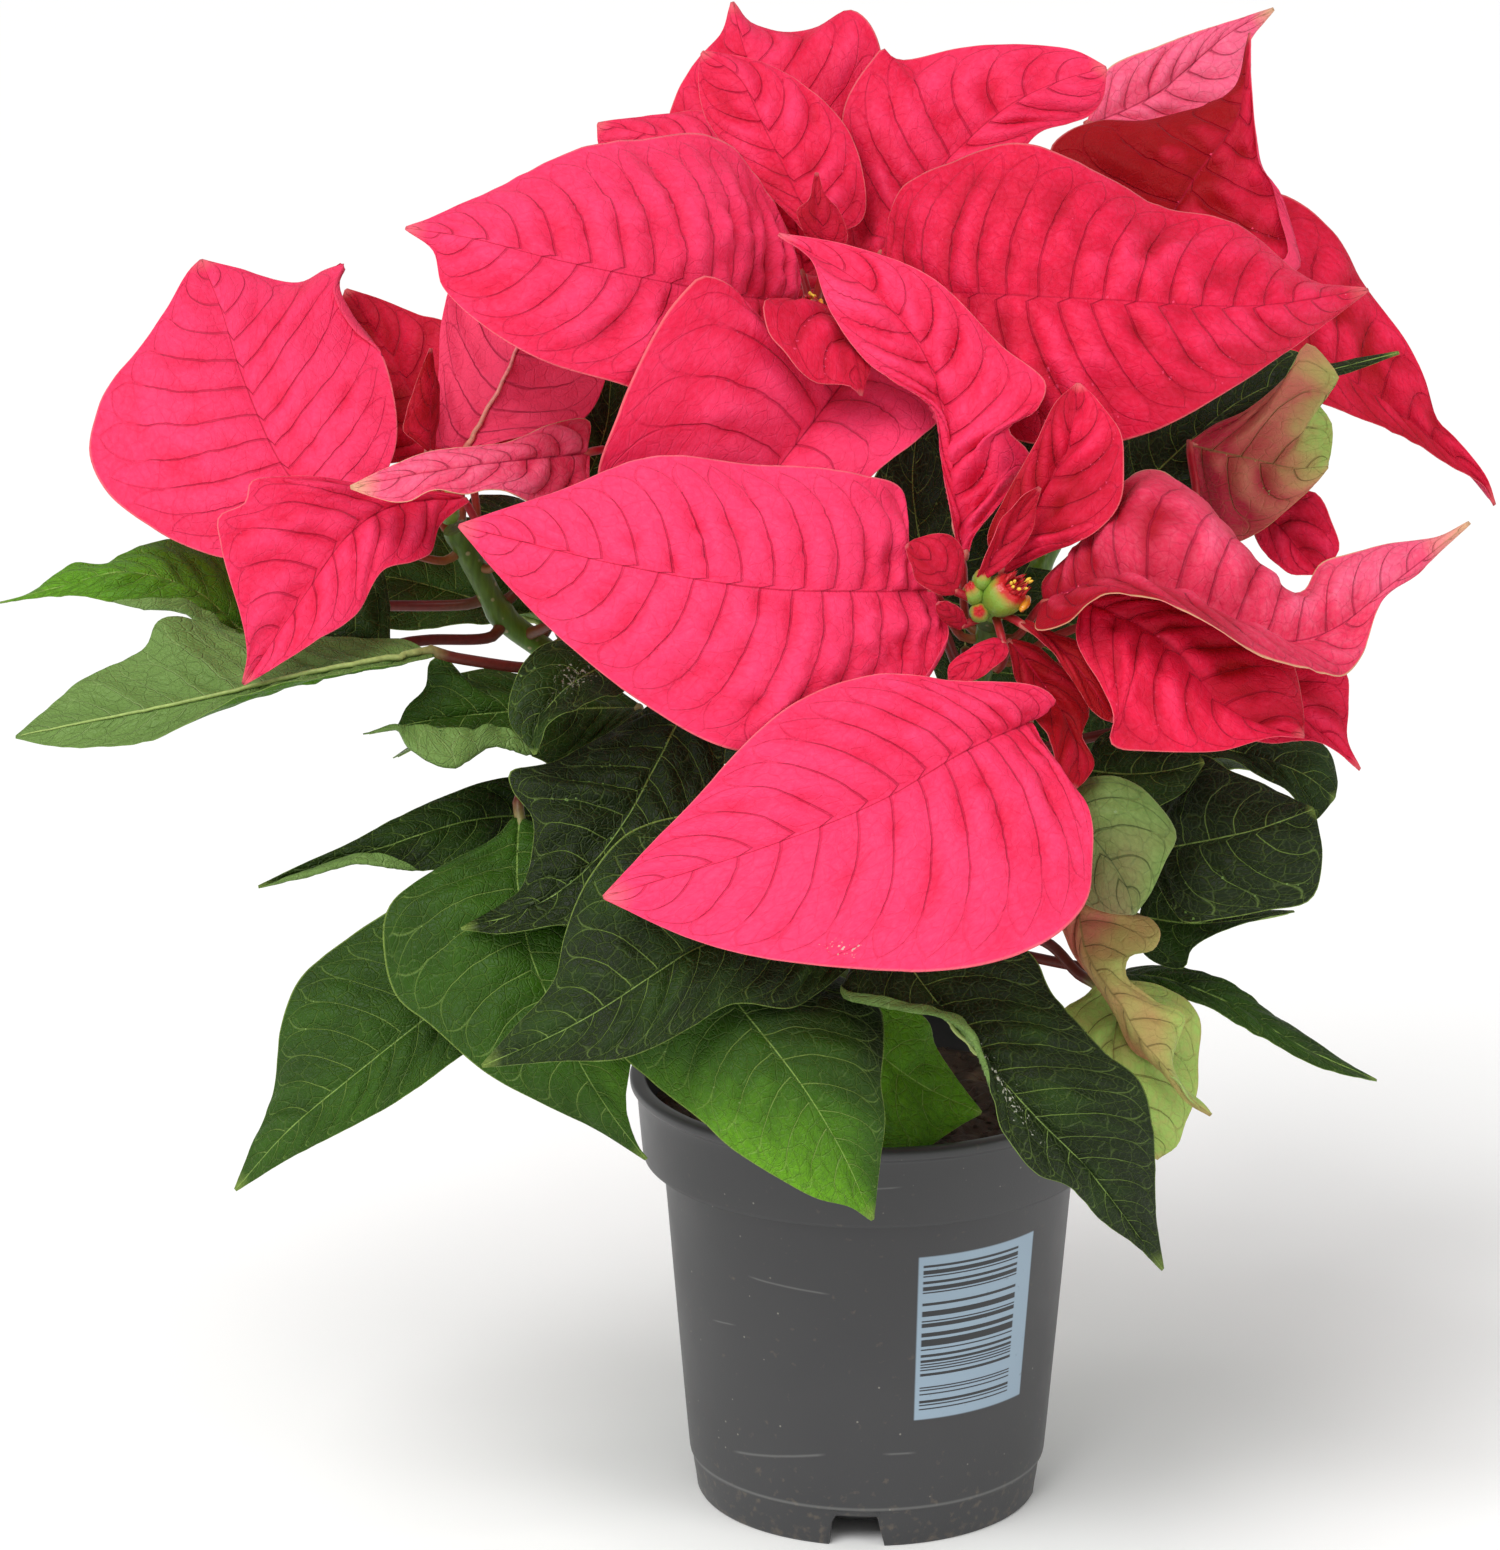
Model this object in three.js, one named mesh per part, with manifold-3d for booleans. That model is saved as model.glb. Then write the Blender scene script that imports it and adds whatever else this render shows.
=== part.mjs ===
// A poinsettia in its nursery pot, in millimetres, +Z up.
// The origin is the middle of the pot's underside, on the ground; -Y is the plant's front.
// One woody stem leaves the peat and forks to four blooms. Each bloom is a rosette of red bracts
// round a head of small green cyathia, and green leaves hang on long petioles below them.

import * as THREE from 'three';
import { mergeVertices } from 'three/addons/utils/BufferGeometryUtils.js';
import Module from 'manifold-3d';

const wasm = await Module();
wasm.setup();

// ---------------------------------------------------------------- driving dimensions

const GAP = 0.3;                  // clearance between pieces that touch

// The pot is one thin moulding with a rounded lip, a tall rim band and a skirt to stand on.
const POT = {
  lipRadius: 65,                  // the widest rim, a pot of nominal 13 cm
  lipHeight: 120,
  lipDepth: 3.2,                  // height of the rounded lip
  lipWidth: 2.4,
  lipRound: 1.2,                  // the lip's outer corner
  lipCurl: 0.4,                   // how far the lip turns in again below
  bandTopRadius: 63.3,            // the tall band under the lip
  bandFootRadius: 61.5,
  bandFootHeight: 97,
  wallTopRadius: 56.1,            // the tapered wall, right under the band
  wallFootRadius: 48.9,
  footHeight: 11.2,               // the line where the wall meets the foot skirt
  footStep: 0.6,                  // the line is a small step in the wall
  footRadius: 46.8,
  wall: 1.4,
  skirt: 2.4,                     // thickness of the foot skirt on the ground
  floorLift: 3.4,                 // the floor's underside above the ground
  floorFlatRadius: 36,            // outside this the floor rises to the wall
  floorRise: 4,
  bossRadius: 14,                 // a flat boss in the middle of the floor stands on the ground too
  bossSlope: 2,
  innerRise: 1,                   // the inner surface is rounded where floor, wall and band meet
  sides: 32,
};

// Drainage notches in the foot skirt: the first one's azimuth in degrees, their overshoot past
// the skirt, and how far each roof stands off the floor at its inner and outer end.
const NOTCH = { count: 4, width: 14, firstAzimuth: -94.5, overshoot: 4, roofIn: -0.2, roofOut: 1.9 };

const SOIL = {
  height: 108,                    // its level, a finger's width under the lip
  lump: 1.6,                      // height of the crumbs on top
  rings: [0.8, 0.6, 0.4, 0.2],    // rings of the top, as shares of its radius
  boreSides: 14,
  sides: 24,
  gap: 0.6,
  boreRadius: 7,                  // the hole that the stem stands in
};

const PETIOLE = {
  radius: { bract: 1.2, leaf: 1.6 },
  straight: 2.5,                  // a petiole leaves its stem at a right angle for this far
  step: 28,                       // spacing of its sections
  bend: 6,                        // a long petiole runs on into the midrib over this length
  bendReach: 25,
  clear: 0.5,                     // a petiole's end stands this far off the bark
  sink: 1.2,                      // how far a fused petiole is sunk under the bark
};

const BLADE = {
  thickness: 0.8,
  tipHalfWidth: 0.5,
  veinSlant: 1.25,                // lateral veins slant towards the tip
  arch: 0.08,                     // each half arches by this share of its width
  ripple: 0.05,                   // edge waves, as a share of the half's width
  rippleMost: 2,
  ripples: 3,                     // edge waves from base to tip
  halfColumns: 2,
};

const STATION = { spacing: 9, fewest: 5, most: 10 };   // cross sections from base to tip

const PLAIN = {                            // the ovate outline of a plain blade
  arch: 0.12,
  droop: 0.06,
  ribShares: [0, 0.33, 0.67, 1],
  outline: [[0.08, 0.55], [0.3, 1], [0.55, 0.86], [0.8, 0.42]],
};

const COLOUR = {
  pot: 0x3b3c40,
  soil: 0x3a2a1e,
  stem: 0x5d8a45,
  head: 0x8a9a3a,
  bract: 0xee3f62,
  leaf: 0x2f5a34,
};

// ---------------------------------------------------------------- stems

// Each stem starts inside the one below it, and a bloom's head sits on its upper end.
const STEMS = {
  main: { radius: 5, path: [[0, 0, 60], [1, 0, 100], [-1, 0, 138]] },
  left: {
    radius: 3.4,
    path: [[-1, 0, 132], [-22, -8, 172], [-58, -17, 214], [-85, -20, 243], [-97, -23, 254],
      [-103, -26, 266], [-109, -30, 280]],
  },
  top: { radius: 3.6, path: [[-1, 0, 132], [-4, 2, 180], [-10, 0, 250], [-16, -8, 310], [-18, -12, 322]] },
  front: { radius: 3.4, path: [[-1, 0, 128], [8, -20, 170], [20, -48, 220], [27, -66, 252], [29, -71, 265]] },
  right: { radius: 3.4, path: [[-1, 0, 132], [14, 14, 185], [42, 34, 245], [70, 48, 290], [80, 53, 303]] },
};
const STEM_SIDES = 7;
const STEM_STEP = 16;

// A head's cups: x, y, z and radius. The first is the seat on the stem's end.
const HEADS = {
  left: [[-110.6, -31.6, 284.6, 3], [-113, -34, 289.5, 3.6], [-109.6, -35, 290.5, 2.8], [-115.5, -31, 290, 2.6]],
  top: [[-18, -15, 327.6, 3.4], [-15.8, -18.6, 331, 3.3], [-16.6, -21.4, 336.6, 2.9], [-12.8, -17.6, 333.4, 2.4]],
  front: [[29.8, -74, 269.6, 3], [32, -79, 275, 5.4], [26.5, -79, 279, 2.6], [24.6, -78.5, 275.4, 3],
    [26, -79, 270.6, 2.8]],
  right: [[81.8, 54, 307.6, 3], [82, 51, 312.4, 3.8], [86, 52, 312, 3], [79.6, 55.4, 312.6, 2.8]],
};
const CUP_STRETCH = 1.15;

// ---------------------------------------------------------------- layout of the blades

// A blade is three curves from its base to its tip: the midrib and the two edges. The left edge is
// on the left of someone who looks at the upper face with the tip up. stem and at say where its
// petiole leaves a stem, as a share of that stem's length; a stem that starts with @ means that the
// blade has grown together with the stems, and one that ends with _head that it belongs to a head.
function plainBlade(name, kind, stem, at, base, tip, width) {
  const from = vec(base);
  const reach = vec(tip).sub(from);
  const length = reach.length();
  const along = reach.clone().normalize();
  const side = along.clone().cross(UP).normalize();
  const rise = side.clone().cross(along).normalize();
  const point = (share, across, drop) => {
    const lift = length * PLAIN.arch * Math.sin(Math.PI * share) - drop;
    return from.clone().addScaledVector(reach, share).addScaledVector(rise, lift)
      .addScaledVector(side, across).toArray();
  };
  const edge = (sign) => PLAIN.outline.map(([share, part]) =>
    point(share, sign * width * 0.5 * part, width * PLAIN.droop * part));
  return {
    name, kind, stem, at,
    rib: PLAIN.ribShares.map((share) => point(share, 0, 0)),
    left: edge(-1),
    right: edge(1),
  };
}

const UP = new THREE.Vector3(0, 0, 1);
const vec = (p) => new THREE.Vector3(...p);

const BLADES = [
  { name: 'left_bract_1', kind: 'bract', stem: 'left', at: 0.965,
    rib: [[-137, -44, 286], [-152, -30, 294], [-165, -8, 314], [-172, 8, 330], [-178, 22, 340]],
    left: [[-157, -44, 275], [-169, -40, 275], [-186, -32, 279], [-200, -22, 287], [-206, -14, 298],
      [-202, -8, 310], [-194, 0, 319], [-187, 8, 329], [-181, 18, 338]],
    right: [[-126, -34, 298], [-124, -24, 308], [-129, -8, 322], [-135, 0, 328], [-140, 8, 335],
      [-139, 14, 339], [-145, 18, 338], [-152, 18, 335], [-168, 20, 338]] },
  { name: 'left_bract_2', kind: 'bract', stem: 'left', at: 0.93,
    rib: [[-106, -38, 290], [-124, -50, 291], [-135, -60, 286], [-147, -70, 271], [-161, -84, 253]],
    left: [[-105, -42, 290], [-112, -50, 286], [-114, -58, 281], [-119, -62, 279], [-126, -66, 278],
      [-133, -72, 268], [-142, -78, 263]],
    right: [[-115, -42, 293], [-135, -50, 297], [-149, -58, 301], [-159, -62, 301], [-161, -66, 296],
      [-168, -66, 292], [-167, -70, 285], [-162, -78, 271], [-160, -82, 260]] },
  { name: 'left_bract_3', kind: 'bract', stem: 'left', at: 0.76,
    rib: [[-74, -38, 302], [-96, -56, 304], [-116, -64, 303], [-134, -66, 300]],
    left: [[-75, -46, 292], [-87, -58, 293], [-97, -64, 299], [-105, -68, 299], [-113, -70, 300],
      [-120, -70, 297], [-128, -68, 298]],
    right: [[-74, -30, 309], [-84, -40, 310], [-93, -48, 308], [-105, -56, 308], [-114, -60, 308],
      [-124, -64, 305]] },
  { name: 'left_bract_4', kind: 'bract', stem: 'left', at: 0.98,
    rib: [[-106, -24, 299], [-97, -22, 316], [-93, -16, 324], [-79, 0, 345]],
    left: [[-98, -30, 303], [-76, -26, 308], [-69, -14, 321], [-72, 0, 337]],
    right: [[-114, -26, 301], [-114, -18, 314], [-113, -8, 328], [-108, 2, 342]] },
  { name: 'left_bract_small', kind: 'bract', stem: 'left_head', at: 0,
    rib: [[-115, -32, 301], [-115, -30, 314], [-115, -26, 327]],
    left: [[-120, -34, 305], [-122, -34, 307], [-119, -30, 318]],
    right: [[-114, -28, 303], [-113, -26, 313]] },
  { name: 'left_bract_5', kind: 'bract', stem: 'left', at: 0.96, via: [[-115, -22, 284]],
    rib: [[-114, -15, 296], [-122, 2, 309], [-132, 16, 322], [-140, 26, 331]],
    left: [[-130, -10, 293], [-139, 5, 306], [-143, 18, 322]],
    right: [[-105, -8, 304], [-104, 4, 320], [-112, 8, 326], [-119, 12, 327], [-131, 20, 330]] },
  { name: 'top_bract_1', kind: 'bract', stem: 'top', at: 0.95, via: [[-24, -14, 326]],
    rib: [[-20, -14, 336], [-45, -45, 347], [-80, -58, 357], [-103, -54, 362], [-120, -46, 363]],
    left: [[-25, -40, 322], [-48, -58, 318], [-65, -66, 327], [-90, -68, 336], [-110, -58, 350],
      [-113, -50, 358]],
    right: [[-20, -8, 346], [-24, -6, 359], [-34, -6, 371], [-45, -14, 381], [-61, -24, 382],
      [-79, -32, 379], [-91, -36, 375], [-104, -40, 369], [-114, -44, 365]] },
  { name: 'top_bract_2', kind: 'bract', stem: 'top', at: 0.965,
    rib: [[1, -18, 341], [22, -36, 344], [57, -44, 344], [96, -34, 340], [129, -10, 339]],
    left: [[7, -8, 365], [20, -12, 374], [37, -18, 379], [53, -20, 374], [65, -20, 369],
      [75, -18, 363], [94, -16, 357], [108, -12, 346], [116, -10, 341]],
    right: [[9, -34, 321], [27, -46, 311], [47, -56, 308], [70, -56, 312], [92, -44, 321],
      [106, -32, 327], [117, -20, 332]] },
  { name: 'top_bract_3', kind: 'bract', stem: 'top', at: 0.985,
    rib: [[-15, -8, 352], [-19, -2, 360], [-24, 8, 369], [-29, 14, 378], [-35, 20, 389], [-45, 26, 395]],
    left: [[-22, -2, 357], [-32, 8, 365], [-39, 14, 372], [-44, 20, 379], [-46, 24, 387]],
    right: [[-3, -3, 356], [-3, 5, 368], [-8, 14, 379], [-18, 20, 387], [-27, 24, 392], [-36, 26, 394]] },
  { name: 'top_bract_4', kind: 'bract', stem: 'top', at: 0.975,
    rib: [[1, -4, 347], [11, 8, 360], [22, 18, 370], [36, 24, 381], [50, 28, 387], [62, 30, 390]],
    left: [[-6, 4, 344], [-7, 10, 355], [-6, 16, 365], [-8, 22, 378], [-5, 28, 385], [1, 33, 393],
      [3, 34, 395], [5, 34, 393], [8, 34, 392], [23, 36, 394], [45, 36, 395], [54, 34, 394]],
    right: [[16, 0, 350], [33, 12, 362], [44, 22, 374], [52, 25, 376], [58, 27, 378], [61, 28, 382]] },
  { name: 'top_bract_5', kind: 'bract', stem: 'top', at: 0.93,
    rib: [[-18, 14, 338], [-22, 28, 358], [-29, 40, 380], [-34, 48, 392], [-37, 56, 403]],
    left: [[-31, 18, 346], [-38, 34, 362], [-54, 44, 371], [-52, 48, 379], [-46, 54, 388],
      [-40, 56, 395]],
    right: [[-5, 22, 346], [-6, 34, 367], [3, 44, 387], [0, 50, 397], [-6, 54, 401], [-14, 54, 397],
      [-23, 56, 395], [-32, 58, 397]] },
  { name: 'top_bract_6', kind: 'bract', stem: 'top', at: 0.96,
    rib: [[-27, 7, 334], [-30, 16, 357], [-48, 26, 369], [-62, 34, 372], [-73, 40, 373]],
    left: [[-30, 0, 340], [-38, 18, 352], [-56, 28, 358], [-72, 38, 366]],
    right: [[-26, 16, 350], [-30, 28, 374], [-46, 36, 377], [-62, 40, 375]] },
  { name: 'top_bract_7', kind: 'bract', stem: 'top', at: 0.9,
    rib: [[-6, -31, 322], [-16, -45, 312], [-25, -53, 302], [-48, -63, 272]],
    left: [[2, -31, 325], [10, -37, 322], [17, -43, 315], [11, -49, 308], [-2, -57, 300],
      [-22, -62, 283], [-39, -63, 274]],
    right: [[-19, -37, 322], [-27, -43, 334], [-38, -49, 348], [-45, -53, 352], [-49, -57, 349],
      [-59, -65, 334], [-66, -69, 321], [-71, -71, 306], [-68, -71, 289], [-57, -67, 276]] },
  { name: 'top_bract_8', kind: 'bract', stem: 'top', at: 0.955, via: [[-19, -25, 324]],
    rib: [[-16, -32, 341], [-8, -46, 336], [-5, -54, 330], [-4, -58, 322]],
    left: [[-7, -40, 338], [-1, -50, 332]],
    right: [[-23, -42, 343], [-29, -50, 344], [-28, -54, 340], [-25, -58, 335], [-21, -60, 330],
      [-15, -60, 326], [-7, -60, 325]] },
  { name: 'top_bract_small', kind: 'bract', stem: 'top_head', at: 0,
    rib: [[-12, -14, 349], [-15, -14, 360], [-15, -10, 370]],
    left: [[-18, -16, 355], [-20, -16, 361], [-17, -14, 364]],
    right: [[-7, -14, 353], [-9, -12, 360], [-13, -12, 365]] },
  { name: 'front_bract_1', kind: 'bract', stem: 'front', at: 0.97,
    rib: [[15, -74, 275], [-5, -86, 278], [-30, -94, 281], [-65, -94, 287], [-90, -86, 291],
      [-106, -78, 293]],
    left: [[17, -82, 263], [-5, -98, 242], [-36, -106, 242], [-60, -106, 255], [-77, -100, 267],
      [-92, -90, 279]],
    right: [[8, -72, 283], [7, -64, 299], [-4, -70, 304], [-30, -76, 309], [-58, -80, 311],
      [-83, -80, 302]] },
  { name: 'front_bract_2', kind: 'bract', stem: 'front', at: 0.86, slant: 1.7,
    rib: [[39, -90, 245], [22, -103, 241], [0, -114, 231], [-30, -122, 221], [-69, -124, 209]],
    left: [[42, -97, 241], [48, -104, 233], [53, -112, 228], [54, -119, 219], [52, -126, 209],
      [42, -132, 200], [26, -136, 195], [-5, -138, 195], [-25, -136, 196], [-47, -130, 200]],
    right: [[45, -93, 251], [41, -94, 255], [31, -96, 257], [18, -98, 258], [-2, -100, 260],
      [-22, -106, 254], [-47, -114, 231]] },
  { name: 'front_bract_3', kind: 'bract', stem: 'front', at: 0.985,
    rib: [[32, -74, 280], [38, -72, 291], [43, -70, 301], [48, -68, 310], [51, -65, 327]],
    left: [[28, -72, 288], [32, -71, 298], [40, -68, 312], [45, -66, 322]],
    right: [[43, -78, 286], [54, -84, 292], [61, -84, 303], [62, -77, 314], [56, -68, 323]] },
  { name: 'front_bract_4', kind: 'bract', stem: 'front', at: 0.975,
    rib: [[22, -69, 282], [19, -59, 300], [17, -53, 316], [11, -49, 333], [-3, -43, 347],
      [-25, -35, 359]],
    left: [[19, -67, 292], [17, -59, 303], [14, -57, 318], [5, -57, 325], [-3, -55, 331],
      [-12, -49, 342], [-17, -41, 354]],
    right: [[25, -68, 288], [31, -65, 295], [35, -61, 300], [39, -60, 307], [34, -61, 314],
      [41, -61, 319], [43, -58, 325], [32, -49, 333], [14, -45, 350], [-7, -39, 357]] },
  { name: 'front_bract_5', kind: 'bract', stem: 'front', at: 0.985, bulge: [0.4, 0.1],
    rib: [[42, -77, 273], [59, -89, 282], [71, -97, 281], [81, -99, 277], [91, -99, 273],
      [102, -97, 268], [114, -91, 269], [132, -81, 280], [151, -67, 291]],
    left: [[42, -74, 277], [52, -70, 286], [60, -61, 295], [65, -57, 302], [71, -58, 303],
      [80, -64, 297], [89, -71, 290], [96, -75, 282], [104, -77, 276], [108, -79, 276],
      [112, -79, 283], [119, -77, 285], [130, -73, 287], [143, -69, 288]],
    right: [[40, -90, 269], [47, -97, 273], [55, -105, 282], [69, -117, 283], [78, -121, 280],
      [88, -123, 276], [98, -119, 270], [108, -111, 264], [116, -103, 260], [122, -95, 264],
      [125, -91, 272], [128, -85, 276], [137, -77, 280], [144, -71, 285]] },
  { name: 'front_bract_6', kind: 'bract', stem: 'front', at: 0.93, via: [[44, -70, 261], [54, -77, 268]],
    rib: [[52, -84, 275], [66, -90, 270], [76, -96, 264], [85, -102, 254], [96, -104, 248],
      [107, -104, 245]],
    left: [[58, -82, 277], [69, -84, 277], [89, -88, 270], [103, -92, 263], [107, -96, 252]],
    right: [[50, -92, 267], [56, -100, 257], [59, -106, 250], [58, -108, 245], [68, -110, 243],
      [85, -110, 243], [98, -108, 246]] },
  { name: 'front_bract_7', kind: 'bract', stem: 'front', at: 0.84, via: [[46, -66, 252]],
    rib: [[57, -72, 267], [92, -82, 254], [110, -86, 243], [123, -86, 231]],
    left: [[82, -72, 267], [108, -76, 259], [119, -80, 255], [120, -82, 247], [120, -84, 238]],
    right: [[77, -82, 248], [90, -88, 241], [100, -90, 239], [109, -90, 240], [116, -88, 237]] },
  { name: 'front_small_1', kind: 'bract', stem: 'front_head', at: 0,
    rib: [[26, -81, 280], [31, -80, 289], [36, -79, 297], [41, -78, 303]],
    left: [[27, -83, 286], [31, -82, 295], [36, -80, 301]],
    right: [[32, -81, 283], [39, -80, 292], [40, -79, 298]] },
  { name: 'front_small_2', kind: 'bract', stem: 'front_head', at: 0,
    rib: [[20, -82, 277], [14, -86, 284], [7, -86, 290]],
    left: [[16, -86, 277], [10, -88, 281], [8, -88, 286]],
    right: [[22, -80, 283], [20, -80, 290], [15, -82, 292], [9, -84, 291]] },
  { name: 'front_small_4', kind: 'bract', stem: 'front_head', at: 0,
    rib: [[32, -83, 264], [25, -89, 261], [18, -93, 256]],
    left: [[33, -87, 262], [29, -91, 259], [23, -93, 256]],
    right: [[29, -83, 265], [23, -87, 263], [18, -91, 260]] },
  { name: 'front_bract_8', kind: 'bract', stem: 'front', at: 0.94,
    rib: [[34, -79, 263], [41, -81, 254], [48, -85, 244], [51, -93, 236], [49, -101, 230]],
    left: [[41, -77, 261], [46, -79, 257], [52, -81, 252], [54, -83, 245], [52, -89, 241],
      [55, -93, 235], [53, -97, 232]],
    right: [[34, -83, 259], [36, -85, 252], [40, -89, 246], [44, -95, 240], [46, -100, 234]] },
  { name: 'front_small_5', kind: 'bract', stem: 'front_head', at: 0,
    rib: [[37, -82, 269], [44, -86, 265], [51, -92, 259], [60, -98, 247]],
    left: [[44, -84, 267], [51, -88, 265], [55, -92, 259], [58, -95, 252]],
    right: [[39, -86, 267], [45, -90, 262], [49, -94, 257], [55, -98, 249]] },
  { name: 'right_bract_1', kind: 'bract', stem: 'right', at: 0.96, via: [[68, 72, 330], [61, 80, 352]],
    rib: [[60, 79, 365], [70, 85, 368], [80, 91, 372], [87, 95, 377], [99, 101, 386], [112, 107, 392]],
    left: [[62, 83, 372], [66, 89, 379], [80, 95, 384], [90, 99, 387], [102, 103, 390]],
    right: [[63, 81, 363], [68, 83, 365], [73, 85, 363], [80, 87, 361], [90, 91, 362], [98, 93, 365],
      [102, 97, 371], [105, 103, 383]] },
  { name: 'right_bract_2', kind: 'bract', stem: 'right', at: 0.985,
    rib: [[76, 55, 338], [84, 59, 348], [89, 63, 355], [95, 67, 362], [100, 71, 369], [104, 87, 389]],
    left: [[60, 57, 343], [49, 69, 359], [53, 73, 363], [64, 77, 367], [77, 79, 367], [90, 81, 369],
      [99, 83, 373]],
    right: [[89, 47, 332], [116, 53, 330], [115, 57, 339], [111, 59, 350], [107, 61, 355],
      [105, 67, 361], [104, 77, 378]] },
  { name: 'right_bract_3', kind: 'bract', stem: 'right', at: 0.97,
    rib: [[103, 55, 313], [126, 60, 302], [149, 64, 285], [165, 64, 271], [172, 60, 263]],
    left: [[101, 72, 346], [112, 76, 347], [125, 76, 337], [137, 74, 321], [146, 70, 309],
      [152, 68, 298], [156, 66, 286], [161, 65, 281], [170, 62, 270]],
    right: [[111, 48, 300], [124, 52, 293], [132, 54, 290], [144, 56, 284], [160, 60, 274],
      [169, 60, 268]] },
  { name: 'right_bract_4', kind: 'bract', stem: 'right', at: 0.66, via: [[72, 4, 264], [85, -4, 278]],
    rib: [[84, 3, 294], [93, 3, 292], [102, 3, 290], [112, 2, 288], [121, 4, 288]],
    left: [[91, 6, 299], [99, 5, 303], [109, 8, 311], [115, 10, 320], [121, 12, 315], [124, 12, 309],
      [118, 10, 305], [122, 8, 299], [122, 5, 293]],
    right: [[87, 7, 278], [94, 3, 267], [103, 1, 271], [111, 0, 278], [117, 2, 283]] },
  { name: 'right_bract_5', kind: 'bract', stem: 'right', at: 0.86,
    rib: [[97, 15, 276], [108, 9, 271], [114, 3, 265], [120, -1, 260]],
    left: [[108, 11, 275], [117, 5, 281], [121, 1, 276], [124, -3, 268]],
    right: [[101, 11, 270], [104, 5, 265], [111, -1, 260]] },
  { name: 'leaf_01', kind: 'leaf', stem: 'left', at: 0.88,
    rib: [[-151, -18, 253], [-164, -20, 249], [-177, -24, 261], [-195, -26, 267], [-213, -22, 262],
      [-230, -16, 256]],
    left: [[-169, -32, 250], [-181, -36, 258], [-190, -38, 260], [-204, -30, 261], [-219, -22, 259]],
    right: [[-164, -8, 266], [-187, -10, 272], [-198, -14, 268], [-203, -16, 266], [-210, -16, 267],
      [-214, -17, 265], [-223, -16, 258]] },
  { name: 'leaf_02', kind: 'leaf', stem: 'left', at: 0.76, via: [[-87, -38, 246], [-90, -51, 248]],
    rib: [[-114, -63, 255], [-130, -73, 255], [-146, -77, 253], [-171, -81, 248], [-195, -81, 243],
      [-220, -77, 237]],
    left: [[-122, -55, 257], [-148, -55, 257], [-173, -51, 260], [-184, -55, 261], [-188, -59, 256],
      [-201, -65, 251], [-212, -71, 243]],
    right: [[-122, -73, 255], [-133, -79, 255], [-150, -89, 255], [-160, -93, 252], [-174, -93, 246],
      [-186, -91, 240], [-200, -87, 237], [-212, -81, 236]] },
  { name: 'leaf_04', kind: 'leaf', stem: 'left', at: 0.62,
    rib: [[-61, -42, 235], [-82, -52, 237], [-97, -58, 238], [-115, -62, 237], [-132, -64, 234]],
    left: [[-65, -50, 233], [-75, -58, 228], [-81, -62, 225], [-89, -66, 228], [-100, -70, 232],
      [-108, -76, 228], [-114, -76, 229], [-120, -74, 233], [-123, -68, 236]],
    right: [[-72, -34, 240], [-90, -42, 243], [-100, -46, 247], [-109, -52, 247], [-111, -54, 252],
      [-115, -56, 251], [-116, -58, 245], [-121, -60, 240], [-124, -62, 235]] },
  { name: 'leaf_05', kind: 'leaf', stem: 'left', at: 0.8, via: [[-79, -38, 257]],
    rib: [[-68, -62, 253], [-80, -72, 248], [-87, -80, 240], [-87, -86, 235]],
    left: [[-64, -70, 248], [-76, -80, 246], [-84, -86, 242]],
    right: [[-79, -60, 258], [-89, -68, 256], [-94, -78, 243]] },
  { name: 'leaf_06', kind: 'leaf', stem: 'left', at: 0.5,
    rib: [[-82, -40, 205], [-105, -52, 207], [-131, -60, 201], [-160, -62, 192]],
    left: [[-90, -52, 196], [-117, -64, 197], [-134, -66, 199], [-146, -66, 196]],
    right: [[-82, -32, 213], [-96, -40, 215], [-111, -48, 213], [-123, -54, 209], [-137, -60, 203],
      [-149, -62, 198]] },
  { name: 'leaf_07', kind: 'leaf', stem: 'left', at: 0.56,
    rib: [[-92, -66, 212], [-92, -80, 199], [-89, -90, 185], [-85, -94, 175], [-75, -102, 156],
      [-68, -102, 144], [-59, -98, 130]],
    left: [[-76, -68, 204], [-62, -80, 181], [-63, -94, 158], [-64, -100, 145], [-61, -99, 134]],
    right: [[-98, -70, 208], [-115, -78, 201], [-125, -84, 193], [-126, -88, 182], [-123, -92, 172],
      [-114, -97, 166], [-100, -102, 155], [-85, -104, 147], [-71, -102, 139]] },
  { name: 'leaf_08', kind: 'leaf', stem: 'left', at: 0.3,
    rib: [[-78, -48, 178], [-97, -62, 172], [-117, -72, 159], [-136, -78, 145], [-152, -78, 131],
      [-167, -72, 112]],
    left: [[-92, -70, 161], [-107, -78, 151], [-124, -82, 140], [-134, -82, 134], [-152, -78, 123]],
    right: [[-113, -54, 189], [-128, -58, 183], [-148, -62, 169], [-154, -66, 156], [-157, -70, 138],
      [-163, -72, 123]] },
  { name: 'leaf_09', kind: 'leaf', stem: 'left', at: 0.51,
    rib: [[-48, -60, 242], [-57, -72, 227], [-64, -80, 216], [-74, -88, 205], [-88, -92, 196],
      [-106, -94, 191]],
    left: [[-39, -68, 234], [-43, -80, 216], [-55, -92, 201], [-70, -98, 194], [-84, -99, 193],
      [-95, -98, 191]],
    right: [[-58, -54, 239], [-66, -58, 235], [-73, -62, 231], [-82, -68, 228], [-94, -74, 227],
      [-93, -76, 222], [-88, -80, 216], [-88, -84, 209], [-91, -88, 200], [-97, -88, 195]] },
  { name: 'leaf_10', kind: 'leaf', stem: 'front', at: 0.36,
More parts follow.
